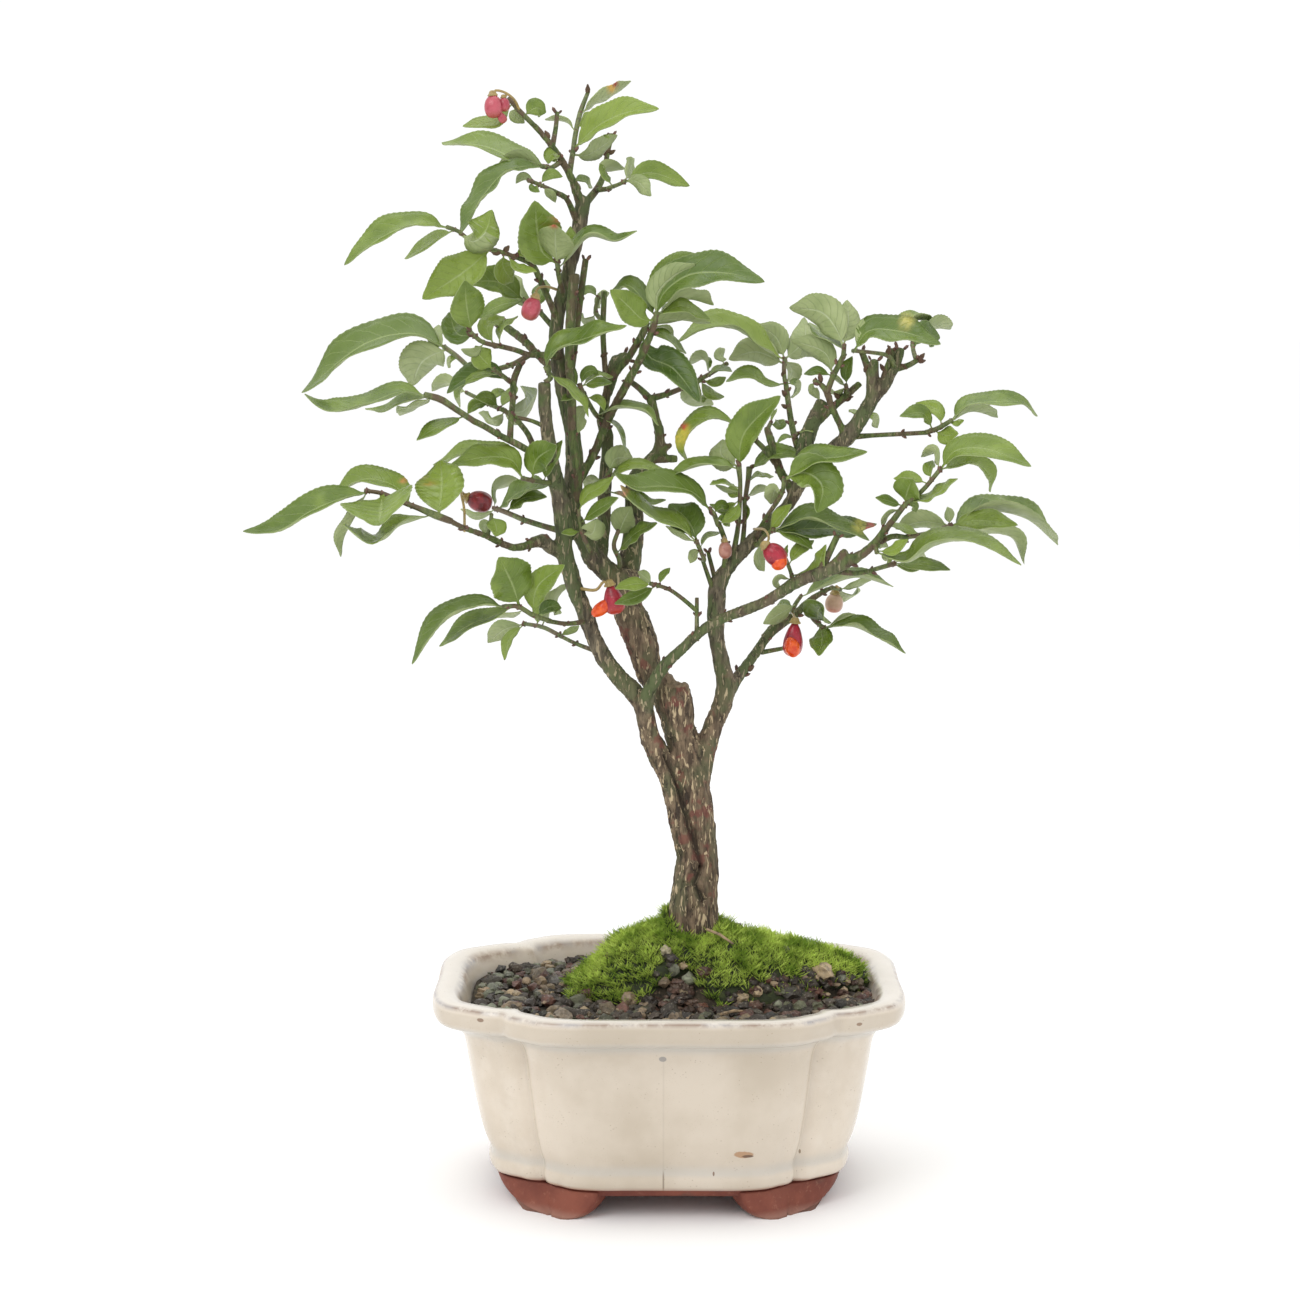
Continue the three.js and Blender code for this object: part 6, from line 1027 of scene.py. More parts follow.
def leafy_shoot(bm, shoot, draw):
    """Stems and leaves of a shoot, with the leaves given a thickness."""
    _, stems, leaves = shoot
    layers = {"place": bm.verts.layers.float_vector["leaf_place"],
              "tint": bm.verts.layers.float_color["leaf_tint"]}
    for order, stem in enumerate(stems):
        points, radii = limb_line(stem)
        points[-1] = points[-1] + (points[-1] - points[-2]).normalized() * STEM_TIP
        root = wood_foot(points[0])
        if order == 0 and (root - points[0]).length > FOOT_GAP:
            points.insert(0, root)
            radii.insert(0, radii[0])
        smooth_tube(bm, points, radii, STEM_SIDES, 1, 3)
    for leaf in leaves:
        foot = nearest_seen(stems, leaf[0][0], leaf[0][1])[1]
        axil_bud(bm, sighted(*foot[:3]), draw)
    faces_before = set(bm.faces)
    for leaf in leaves:
        leaf_blade(bm, leaf, stems, draw, layers)
    blades = [face for face in bm.faces if face not in faces_before]
    for face in blades:
        face.material_index = 0
    grown = bmesh.ops.solidify(bm, geom=blades, thickness=LEAF_THICKNESS)["geom"]
    for item in grown:
        if isinstance(item, bmesh.types.BMVert):
            item[layers["tint"]] = (*item[layers["tint"]][:3], 0)


def axil_bud(bm, place, draw):
    """The small brown bud and scar where a leaf leaves its stem."""
    size = draw.uniform(0.75, 1.15)
    shape = Matrix.Translation(place) @ Matrix.Rotation(draw.uniform(-1, 1), 4, "Y")
    shape = shape @ Matrix.Diagonal((size * 0.75, size * 0.8, size * 1.2, 1))
    made = bmesh.ops.create_icosphere(bm, subdivisions=1, radius=1, matrix=shape)["verts"]
    for face in {face for vertex in made for face in vertex.link_faces}:
        face.material_index = 2


def smooth_tube(bm, points, radii, sides, material, per_stretch):
    """A tube along the smooth line through points."""
    line = Curve(points, 6)
    stops = [0.0]
    for a, b in zip(points, points[1:]):
        stops.append(stops[-1] + (b - a).length)
    count = max(2, per_stretch * (len(points) - 1))
    places, sizes = [], []
    for i in range(count + 1):
        part = i / count
        places.append(line.at(part))
        sizes.append(float(np.interp(part * stops[-1], stops, radii)))
    return tube(bm, places, sizes, sides, material)


def wood_foot(point):
    """Nearest place to a point on the middle lines of the wood."""
    best = None
    for a, b in WOOD_LINES:
        run = b - a
        part = min(1, max(0, (point - a).dot(run) / max(run.length_squared, 1e-9)))
        place = a + run * part
        if best is None or (place - point).length_squared < (best - point).length_squared:
            best = place
    return best


WOOD_LINES = []
for limb in WOOD:
    limb_points = limb_line(limb[1])[0]
    WOOD_LINES += zip(limb_points, limb_points[1:])

# Materials


class Look:
    """A node material with a principled surface, built a node at a time."""

    def __init__(self, name, roughness, bump, distance):
        self.material = bpy.data.materials.new(name)
        self.material.use_nodes = True
        self.nodes = self.material.node_tree.nodes
        self.links = self.material.node_tree.links
        self.surface = self.nodes["Principled BSDF"]
        self.surface.inputs["Roughness"].default_value = roughness
        self.bump = self.nodes.new("ShaderNodeBump")
        self.bump.inputs["Strength"].default_value = bump
        self.bump.inputs["Distance"].default_value = distance
        self.links.new(self.bump.outputs[0], self.surface.inputs["Normal"])
        self.coords = self.nodes.new("ShaderNodeTexCoord").outputs["Object"]

    def set(self, socket, value):
        if isinstance(value, bpy.types.NodeSocket):
            self.links.new(value, socket)
        else:
            socket.default_value = value

    def attribute(self, name, output="Vector"):
        node = self.nodes.new("ShaderNodeAttribute")
        node.attribute_name = name
        return node.outputs[output]

    def split(self, vector):
        node = self.nodes.new("ShaderNodeSeparateXYZ")
        self.set(node.inputs[0], vector)
        return node.outputs[0], node.outputs[1], node.outputs[2]

    def stretch(self, vector, scale):
        node = self.nodes.new("ShaderNodeMapping")
        self.set(node.inputs["Vector"], vector)
        node.inputs["Scale"].default_value = scale
        return node.outputs[0]

    def noise(self, scale, detail=4, rough=0.55, vector=None, warp=0):
        node = self.nodes.new("ShaderNodeTexNoise")
        self.set(node.inputs["Vector"], self.coords if vector is None else vector)
        node.inputs["Scale"].default_value = scale
        node.inputs["Detail"].default_value = detail
        node.inputs["Roughness"].default_value = rough
        node.inputs["Distortion"].default_value = warp
        return node.outputs["Fac"]

    def cells(self, scale, feature="F1"):
        node = self.nodes.new("ShaderNodeTexVoronoi")
        node.feature = feature
        self.set(node.inputs["Vector"], self.coords)
        node.inputs["Scale"].default_value = scale
        return node.outputs["Distance"]

    def math(self, kind, a, b=0.0, clamp=False):
        node = self.nodes.new("ShaderNodeMath")
        node.operation = kind
        node.use_clamp = clamp
        for socket, value in zip(node.inputs, (a, b)):
            self.set(socket, value)
        return node.outputs[0]

    def times(self, first, *others):
        for other in others:
            first = self.math("MULTIPLY", first, other)
        return first

    def span(self, value, low, high, out_low=0.0, out_high=1.0):
        """The value from low to high carried to another range, held at its ends."""
        node = self.nodes.new("ShaderNodeMapRange")
        node.interpolation_type = "SMOOTHSTEP"
        for socket, part in zip(node.inputs, (value, low, high, out_low, out_high)):
            self.set(socket, part)
        return node.outputs[0]

    def band(self, value, low, high, fall_low, fall_high):
        """A value that rises to 1 between low and high and falls to 0 between the other two."""
        return self.times(self.span(value, low, high),
                          self.span(value, fall_low, fall_high, 1.0, 0.0))

    def mix(self, part, a, b):
        node = self.nodes.new("ShaderNodeMix")
        node.data_type = "RGBA"
        self.set(node.inputs["Factor"], part)
        for socket, value in ((node.inputs[6], a), (node.inputs[7], b)):
            self.set(socket, value if isinstance(value, bpy.types.NodeSocket) else (*value, 1))
        return node.outputs[2]

    def over(self, base, tone, *parts):
        """The base with a tone laid over it by the product of the parts."""
        return self.mix(self.times(*parts), base, tone)

    def patches(self, base, tone, scale, detail, low, high, amount=1.0, rough=0.55):
        """The base with a tone laid over it where a noise is between low and high, or above."""
        part = self.span(self.noise(scale, detail, rough), low, high, 0.0, amount)
        return self.mix(part, base, tone)

    def finish(self, colour, height, roughness=None):
        self.set(self.surface.inputs["Base Color"], colour)
        self.set(self.bump.inputs["Height"], height)
        if roughness is not None:
            self.set(self.surface.inputs["Roughness"], roughness)
        return self.material


def leaf_look():
    look = Look("leaf", 0.42, 0.55, 0.0003)
    t, s, _ = look.split(look.attribute("leaf_place"))
    light, dark, _ = look.split(look.attribute("leaf_tint", "Color"))
    upper = look.attribute("leaf_tint", "Alpha")
    edge = look.math("ABSOLUTE", s)
    rib = look.span(edge, 0.0, 0.085, 1.0, 0.0)
    seen_rib = look.times(rib, look.span(t, 0.6, 0.95, 1.0, 0.25))
    slant = look.times(look.math("POWER", edge, 1.25), 1.9)
    phase = look.math("SUBTRACT", look.times(t, 9.0), slant)
    saw = look.math("ABSOLUTE", look.math("SUBTRACT", look.math("FRACT", phase), 0.5))
    veins = look.times(look.span(saw, 0.0, 0.075, 1.0, 0.0), look.span(edge, 0.82, 0.98, 1.0, 0.0))
    net = look.span(look.cells(2600, "DISTANCE_TO_EDGE"), 0.0, 0.09, 1.0, 0.0)
    drift = look.noise(95, 3)
    green = look.mix(look.span(light, 0.0, 1.0), (0.085, 0.142, 0.014), (0.205, 0.285, 0.04))
    green = look.mix(look.span(drift, 0.38, 0.7, 0.0, 0.5), green, (0.26, 0.35, 0.062))
    green = look.mix(look.span(dark, 0.7, 1.0, 0.0, 0.65), green, (0.036, 0.08, 0.012))
    green = look.over(green, (0.3, 0.39, 0.13), veins, 0.3)
    green = look.over(green, (0.4, 0.48, 0.21), seen_rib, 0.48)
    green = look.over(green, (0.3, 0.38, 0.12), net, 0.08)
    green = look.mix(look.span(edge, 0.93, 1.0, 0.0, 0.35), green, (0.4, 0.47, 0.22))
    under = look.mix(look.span(drift, 0.3, 0.7), (0.245, 0.305, 0.12), (0.345, 0.4, 0.185))
    under = look.over(under, (0.17, 0.235, 0.085), veins, 0.5)
    under = look.over(under, (0.44, 0.5, 0.29), seen_rib, 0.75)
    spots = look.span(look.noise(420, 3), 0.3, 0.58, 0.35, 1.0)
    colour = look.over(look.mix(upper, under, green), look.attribute("blush", "Color"),
                       look.attribute("blush", "Alpha"), spots)
    height = look.math("SUBTRACT", look.times(look.noise(1500, 2), 0.25),
                       look.math("ADD", look.times(veins, 0.7), look.times(rib, 0.9)))
    look.set(look.surface.inputs["Specular IOR Level"], 0.42)
    look.set(look.surface.inputs["Subsurface Weight"], 0.06)
    look.set(look.surface.inputs["Subsurface Radius"], (0.0006, 0.0009, 0.0002))
    rough = look.math("ADD", look.times(look.math("SUBTRACT", 1.0, upper), 0.2),
                      look.span(look.noise(300, 2), 0.3, 0.7, 0.26, 0.42))
    return look.finish(colour, height, rough)


def twig_look():
    look = Look("green_twig", 0.55, 0.5, 0.0004)
    streak = look.noise(900, 4, 0.6, look.stretch(look.coords, (1, 1, 0.25)))
    colour = look.mix(look.span(streak, 0.3, 0.7), (0.06, 0.085, 0.022), (0.165, 0.195, 0.062))
    colour = look.patches(colour, (0.115, 0.07, 0.042), 160, 3, 0.47, 0.6, 0.85)
    colour = look.patches(colour, (0.42, 0.38, 0.22), 2600, 2, 0.64, 0.76, 0.6)
    return look.finish(colour, streak)


def bark_look():
    """Brown flecked bark low down, olive bark with corky ridges higher, and green young wood."""
    look = Look("bark", 0.82, 0.8, 0.0009)
    age = look.attribute("age", "Fac")
    upright = look.stretch(look.coords, (1, 1, 0.24))
    fibres = look.noise(620, 5, 0.62, upright, 0.3)
    flecks = look.noise(800, 2, 0.5, look.stretch(look.coords, (1, 1, 0.26)), 0.8)
    flecks = look.span(flecks, 0.585, 0.635)
    splits = look.span(look.noise(430, 4, 0.6, upright, 0.5), 0.33, 0.44, 1.0, 0.0)
    mottle = look.noise(85, 4)
    old = look.mix(look.span(fibres, 0.32, 0.68), (0.052, 0.033, 0.019), (0.225, 0.16, 0.098))
    old = look.mix(look.span(mottle, 0.46, 0.6, 0.0, 0.65), old, (0.095, 0.105, 0.048))
    old = look.patches(old, (0.18, 0.05, 0.038), 140, 3, 0.56, 0.64, 0.65)
    old = look.over(old, (0.03, 0.02, 0.013), splits, 0.75)
    old = look.over(old, (0.56, 0.44, 0.27), flecks, 0.85)
    grey = look.mix(look.span(fibres, 0.3, 0.7), (0.05, 0.04, 0.025), (0.18, 0.15, 0.098))
    grey = look.mix(look.span(mottle, 0.4, 0.56, 0.0, 0.8), grey, (0.08, 0.115, 0.036))
    grey = look.over(grey, (0.035, 0.027, 0.018), splits, 0.6)
    grey = look.over(grey, (0.44, 0.36, 0.23), flecks, 0.6)
    young = look.mix(look.span(fibres, 0.3, 0.7), (0.05, 0.078, 0.018), (0.14, 0.18, 0.05))
    young = look.patches(young, (0.12, 0.075, 0.048), 210, 3, 0.46, 0.6, 0.85)
    young = look.over(young, (0.36, 0.31, 0.2), flecks, 0.35)
    colour = look.mix(look.span(age, 0.1, 0.36), young, grey)
    colour = look.mix(look.span(age, 0.46, 0.78), colour, old)
    colour = look.mix(look.attribute("cut", "Fac"), colour, (0.23, 0.17, 0.105))
    # Painted shade: the furrows where stems have grown together are darkened
    colour = look.over(colour, (0.024, 0.016, 0.01), look.attribute("furrow", "Fac"), 0.8)
    colour = look.mix(look.attribute("bud", "Fac"), colour, (0.115, 0.055, 0.035))
    height = look.math("ADD", look.times(fibres, 0.8), look.times(flecks, 0.5))
    return look.finish(colour, look.math("SUBTRACT", height, look.times(splits, 0.8)))


def glaze_look():
    """Cream glaze with specks above bare brick-red clay, with painted shade and a painted
    highlight.
    """
    look = Look("glazed_pot", 0.22, 0.12, 0.0005)
    x, y, z = look.split(look.coords)
    front = look.span(y, -0.03, -0.034)
    from_middle = look.math("SUBTRACT", x, float(POT_MIDDLE.x))
    level = look.math("ADD", z, look.times(look.math("SUBTRACT", look.noise(26, 3), 0.5), 0.0012))
    cream = look.patches((0.6, 0.52, 0.42), (0.7, 0.615, 0.51), 22, 4, 0.32, 0.68)
    cream = look.patches(cream, (0.76, 0.69, 0.6), 120, 5, 0.42, 0.72, 0.35, 0.6)
    # Painted shade: a darker cream laid over the middle of the front panel, where the light falls
    # off
    thick = look.patches((0.5, 0.428, 0.335), (0.6, 0.525, 0.432), 30, 4, 0.35, 0.65)
    painted_front_shade = look.span(look.math("ABSOLUTE", from_middle), 0.03, 0.052, 1.0, 0.0)
    cream = look.over(cream, thick, front, painted_front_shade, 0.85)
    lip = look.band(level, 0.065, 0.0665, 0.0698, 0.0712)
    cream = look.over(cream, (0.46, 0.395, 0.31), lip, 0.45)
    # Painted shade: grey in the shadow under the lip and in the crease just above the bead
    under_lip = look.band(level, 0.059, 0.0628, 0.064, 0.0665)
    over_bead = look.band(level, 0.015, 0.0168, 0.0172, 0.0212)
    painted_lip_bead_shade = look.math("ADD", look.times(under_lip, 0.55), look.times(over_bead, 0.4), clamp=True)
    cream = look.mix(painted_lip_bead_shade, cream, (0.47, 0.47, 0.45))
    # Painted highlight: the top of the rim is made lighter
    cream = look.mix(look.span(level, 0.0704, 0.0724, 0.0, 0.55), cream, (0.8, 0.76, 0.7))
    ragged = look.span(look.noise(170, 4, 0.65), 0.34, 0.56, 0.12, 0.9)
    line_colour = look.patches((0.24, 0.15, 0.1), (0.33, 0.31, 0.32), 60, 3, 0.42, 0.6)
    cream = look.over(cream, line_colour, look.attribute("lip_line", "Fac"), ragged, 0.95)
    for size, low, high, pick, pick_low, pick_high, amount, tone in (
            (760, 0.11, 0.2, 160, 0.56, 0.62, 0.45, (0.3, 0.22, 0.15)),
            (1500, 0.12, 0.24, 420, 0.52, 0.6, 0.4, (0.42, 0.33, 0.22))):
        specks = look.span(look.cells(size), low, high, 1.0, 0.0)
        picked = look.span(look.noise(pick, 1), pick_low, pick_high)
        cream = look.over(cream, tone, specks, picked, amount)
    from_seam = look.math("ABSOLUTE", look.math("SUBTRACT", from_middle, SEAM_X * MILLIMETRE))
    seam = look.times(look.span(from_seam, 0.0001, 0.00045, 1.0, 0.0), front,
                      look.span(level, 0.0185, 0.0155, 0.1, 0.75), look.span(level, 0.06, 0.056))
    cream = look.mix(seam, cream, (0.2, 0.15, 0.11))
    warp = look.times(look.math("SUBTRACT", look.noise(500, 3), 0.5), 1.1)
    for (mark_x, mark_z), (half_x, half_z), tone in POT_MARKS:
        across, rise = (
            look.math("DIVIDE", look.math("SUBTRACT", value, mark / 1000), half / 1000)
            for value, mark, half in ((from_middle, mark_x, half_x), (z, mark_z, half_z)))
        away = look.math("ADD", look.times(across, across), look.times(rise, rise))
        spot = look.span(look.math("ADD", away, warp), 0.75, 1.25, 0.9, 0.0)
        cream = look.over(cream, tone, spot, front)
    edge = look.band(level, 0.01, 0.0106, 0.0108, 0.012)
    cream = look.over(cream, (0.48, 0.33, 0.25), edge, 0.6)
    clay = look.patches((0.145, 0.032, 0.018), (0.235, 0.064, 0.036), 70, 5, 0.32, 0.68)
    clay = look.patches(clay, (0.33, 0.135, 0.085), 420, 5, 0.55, 0.72, 0.7, 0.7)
    clay = look.patches(clay, (0.105, 0.05, 0.038), 44, 4, 0.58, 0.68, 0.75)
    clay = look.mix(look.span(level, 0.0, 0.003, 0.45, 0.0), clay, (0.4, 0.25, 0.19))
    glazed = look.times(look.span(level, 0.0101, 0.0107),
                        look.math("SUBTRACT", 1.0, look.attribute("bare", "Fac")))
    bare = look.math("SUBTRACT", 1.0, glazed)
    rough = look.math("ADD", look.times(bare, 0.5), 0.2)
    height = look.math("ADD", look.noise(60, 3), look.times(look.noise(900, 4), bare, 1.2))
    return look.finish(look.mix(glazed, clay, cream), height, rough)


def soil_look():
    look = Look("soil", 0.95, 0.9, 0.0012)
    colour = look.patches((0.02, 0.016, 0.01), (0.085, 0.066, 0.04), 260, 5, 0.3, 0.7)
    colour = look.patches(colour, (0.21, 0.15, 0.095), 900, 3, 0.6, 0.72, 0.8)
    return look.finish(colour, look.noise(700, 5))


def stone_look():
    look = Look("grit", 0.85, 0.7, 0.0006)
    grain = look.span(look.noise(520, 5, 0.65), 0.3, 0.6, 0.35, 1.0)
    colour = look.mix(grain, (0.022, 0.017, 0.012), look.attribute("tone", "Color"))
    colour = look.patches(colour, (0.36, 0.32, 0.25), 1300, 3, 0.58, 0.7, 0.45)
    rough = look.span(look.noise(200, 2), 0.3, 0.6, 0.22, 0.7)
    return look.finish(colour, look.noise(900, 5), rough)


def moss_look(name, dark, middle, bright):
    look = Look(name, 0.8, 0.5, 0.0006)
    colour = look.patches(middle, bright, 110, 4, 0.4, 0.6)
    colour = look.patches(colour, (0.42, 0.52, 0.085), 520, 3, 0.45, 0.7, 0.5)
    colour = look.mix(look.span(look.attribute("tip", "Fac"), 0.1, 0.7, 1.0, 0.0), colour, dark)
    colour = look.patches(colour, (0.185, 0.13, 0.05), 48, 3, 0.62, 0.72, 0.4)
    return look.finish(colour, look.noise(1500, 4))


def capsule_look(name, dark, light, end):
    look = Look(name, 0.28, 0.25, 0.0004)
    colour = look.patches(dark, light, 330, 4, 0.3, 0.7)
    colour = look.mix(look.span(look.attribute("along", "Fac"), 0.62, 0.95), colour, end)
    colour = look.patches(colour, (0.62, 0.3, 0.26), 2300, 2, 0.62, 0.74, 0.35)
    return look.finish(colour, look.noise(700, 3))


def plain_look(name, roughness, bump, distance, dark, light, noise, height):
    """Two tones that blend by a noise, and another noise that gives the height."""
    look = Look(name, roughness, bump, distance)
    return look.finish(look.patches(dark, light, *noise, 0.3, 0.7), look.noise(*height))


# Pot

HALF = len(QUARTER) - 1
LOOP = ([(u, -v) for u, v in QUARTER[:HALF]] + [(u, v) for u, v in reversed(QUARTER[1:])]
        + [(-u, v) for u, v in QUARTER[:HALF]] + [(-u, -v) for u, v in reversed(QUARTER[1:])])
OUTLINE = Curve([Vector((u, v, 0)) for u, v in LOOP[-3:] + LOOP + LOOP[:3]], 12)
OUTLINE_START, OUTLINE_END = (OUTLINE.lengths[12 * 3], OUTLINE.lengths[12 * (3 + len(LOOP))])
# The grooves are at the places on the outline with these parts of its half length and depth
GROOVE_AT = (0.715, 0.795)
GROOVES = [float(OUTLINE.lengths[np.hypot(OUTLINE.table[:, 0] - side * GROOVE_AT[0],
                                          OUTLINE.table[:, 1] - face * GROOVE_AT[1]).argmin()])
           for side in (-1, 1) for face in (-1, 1)]


def hump(away, height, width):
    """A rounded bump of a height, read at a distance from its middle."""
    return height * math.exp(-((away / width) ** 2))


def groove_at(place):
    """How far the wall is drawn in at a place on the outline: a groove beside each corner lobe."""
    away = min(abs(place - groove) for groove in GROOVES)
    return hump(away, 0.03, 0.026) - hump(away - 0.085, 0.012, 0.04)


def outline_at(part, half_length, groove=1.0):
    """Point of the lobed outline from the middle of the front, for a given half length."""
    place = OUTLINE_START + (part % 1) * (OUTLINE_END - OUTLINE_START)
    x = float(np.interp(place, OUTLINE.lengths, OUTLINE.table[:, 0]))
    y = float(np.interp(place, OUTLINE.lengths, OUTLINE.table[:, 1]))
    drawn_in = 1 - groove * groove_at(place)
    return x * drawn_in * half_length, y * drawn_in * half_length * DEPTH_PART


def lobed_spin(bm, profile, steps):
    """A profile of half lengths and heights spun round and carried on to the lobed outline."""
    lathe(bm, profile, steps, 0.0005, (0, -1))
    for vertex in bm.verts:
        half = math.hypot(vertex.co.x, vertex.co.y)
        part = math.atan2(vertex.co.x, -vertex.co.y) / (2 * math.pi)
        groove = float(np.interp(half, (71.5, 76), (1, 0.5)))
        vertex.co.x, vertex.co.y = outline_at(part, half, groove)
    bmesh.ops.recalc_face_normals(bm, faces=bm.faces)


def smooth_profile(profile, count):
    line = Curve([Vector((a, 0, z)) for a, z in profile], 8)
    places = [line.at(i / (count - 1)) for i in range(count)]
    return [(max(0, place.x), place.z) for place in places]


FOOT_RUNS = ((0.06, 0.217), (0.283, 0.44), (0.56, 0.717), (0.783, 0.94))
FOOT_TOP = 9.5
FOOT_OUTSIDE = 59.6
FOOT_PAD_OUTSIDE = 63
# Part of the outline that the pad on the ground takes up
FOOT_PAD = 0.058
FOOT_WALL = 10


def corner_foot(run):
    """A foot that narrows from a strip along the outline to a rounded pad on the ground."""
    bm = bmesh.new()
    bmesh.ops.create_cube(bm, size=1)
    for axis, cuts in ((0, 44), (1, 6), (2, 14)):
        edges = [e for e in bm.edges if abs(e.verts[0].co[axis] - e.verts[1].co[axis]) > 0.5]
        bmesh.ops.subdivide_edges(bm, edges=edges, cuts=cuts, use_grid_fill=True)
    front_first = run in (FOOT_RUNS[0], FOOT_RUNS[2])
    for vertex in bm.verts:
        along = vertex.co.x + 0.5
        level = 0.5 - vertex.co.z
        inward = 0.5 - vertex.co.y
        side = along if front_first else 1 - along
        pad = 0.105 + FOOT_PAD * (side - 0.45) * (1 - 0.35 * abs(2 * inward - 1) ** 3)
        pad = (pad, 0.5 - pad, 0.5 + pad, 1 - pad)[FOOT_RUNS.index(run)]
        place = run[0] + (run[1] - run[0]) * along
        crease = hump(side - 0.36, 1.3 * level, 0.035) * (1 - inward)
        top = Vector((*outline_at(place, FOOT_OUTSIDE - crease - inward * FOOT_WALL, 0), 0))
        low = Vector((*outline_at(pad, FOOT_PAD_OUTSIDE - crease - inward * (FOOT_WALL - 1), 0), 0))
        vertex.co = top.lerp(low, 1 - (1 - level ** 1.9) ** 0.55)
        vertex.co.z = FOOT_TOP * (1 - level)
    bmesh.ops.recalc_face_normals(bm, faces=bm.faces)
    return bm


def make_pot():
    bm = bmesh.new()
    profile = smooth_profile(POT_OUTSIDE, 92) + smooth_profile(POT_INSIDE, 40)
    profile[0] = (0, FOOT_HEIGHT)
    profile[-1] = (0, FLOOR_TOP)
    lobed_spin(bm, profile, 300)
    bm = gather([bm] + [corner_foot(run) for run in FOOT_RUNS])
    line = bm.verts.layers.float.new("lip_line")
    bare = bm.verts.layers.float.new("bare")
    bm.normal_update()
    for vertex in bm.verts:
        x, y, z = vertex.co
        outward = vertex.normal.dot(Vector((x, y, 0)).normalized())
        if z > LIP_LINE_ABOVE:
            middle = 0.62 + 0.1 * noise.noise(Vector((x * 0.1, y * 0.1, 3)))
            reach = 0.3 if outward > 0 else 0.22
            vertex[line] = max(0, 1 - abs(vertex.normal.z - middle) / reach)
        if outward < -0.3 and FLOOR_TOP - 0.5 < z < 62:
            vertex[bare] = 1
        if z > GLAZED_ABOVE:
            soft = 0.2 * noise.noise(vertex.co * 0.035) + 0.05 * noise.noise(vertex.co * 0.13)
            vertex.co += vertex.normal * soft
        if y < 0 and 10.5 < z < 26 and abs(x - SEAM_X) < SEAM_HALF:
            vertex.co += vertex.normal * 0.08 * (1 - abs(x - SEAM_X) / SEAM_HALF)
    new_piece("glazed_pot", bm, [GLAZE], "pot")


# Moss and soil


def moss_rise(x, y):
    side = (x - MOSS_CENTRE[0]) / MOSS_REACH[0]
    if abs(side) >= 1:
        return 0
    reach = MOSS_REACH[1] * math.sqrt(max(0.02, 1 - side * side))
    part = (y - MOSS_CENTRE[1]) / reach
    if abs(part) >= 1:
        return 0
    ridge = float(np.interp(x, *zip(*MOSS_RIDGE)))
    return max(0, ridge - MOSS_EDGE) * (1 - part * part) ** 0.7


def soil_top(x, y):
    return SOIL_LEVEL + SOIL_UNDER_MOSS * moss_rise(x, y)


def moss_lobes(turn):
    from_notch = (turn - 2 * math.pi if turn > math.pi else turn) + 0.26
    notch = 1 - hump(from_notch, 0.22, 0.15)
    return notch * (1 + 0.05 * math.sin(5 * turn) + 0.03 * math.sin(11 * turn + 1))


def moss_place(part, turn):
    lobes = moss_lobes(turn % (2 * math.pi))
    x = MOSS_CENTRE[0] + MOSS_REACH[0] * part * lobes * math.sin(turn)
    y = MOSS_CENTRE[1] - MOSS_REACH[1] * part * lobes * math.cos(turn)
    return x, y


def moss_top(x, y):
    lump = 1.5 * noise.noise(Vector((x * 0.11, y * 0.11, 0)))
    lump += 0.8 * noise.noise(Vector((x, y, 9)) * 0.3)
    return MOSS_EDGE + moss_rise(x, y) + (lump - 1.6) * min(1, moss_rise(x, y) / 4)


OUTLINE_TURNS = [outline_at(i / 360, 1) for i in range(361)]
OUTLINE_REACH = sorted((math.atan2(x, -y / DEPTH_PART), math.hypot(x, y / DEPTH_PART))
                       for x, y in OUTLINE_TURNS)


def inside_rim(x, y, half_length):
    turn = math.atan2(x, -y / DEPTH_PART)
    reach = float(np.interp(turn, *zip(*OUTLINE_REACH)))
    return math.hypot(x, y / DEPTH_PART) < half_length * reach


def make_mound():
    bm = bmesh.new()
    rings = 26
    profile = [(i / rings, 0) for i in range(rings + 1)] + [(0.985, -1)]
    lathe(bm, profile, 120, 0.0005, (0, -1))
    tip = bm.verts.layers.float.new("tip")
    for vertex in bm.verts:
        part = math.hypot(vertex.co.x, vertex.co.y)
        x, y = moss_place(part * 0.95, math.atan2(vertex.co.x, -vertex.co.y))
        on_top = vertex.co.z > -0.5
        top = moss_top(x, y) if on_top else soil_top(x, y) - 3
        rough = 0.5 * noise.noise(Vector((x, y, 3)) * 0.9) if on_top else 0
        vertex.co = Vector((x, y, top + rough - 0.4))
        vertex[tip] = 0.25
    bmesh.ops.recalc_face_normals(bm, faces=bm.faces)
    new_piece("moss_mound", bm, [MOSS], "moss")


def tuft_at(place, turn, mesh, heading, size):
    copy = put_in_scene("tuft", mesh)
    copy.matrix_world = (Matrix.Translation(to_row(place)) @ turn
                         @ Matrix.Rotation(heading, 4, "Z") @ Matrix.Scale(size, 4))
    return copy


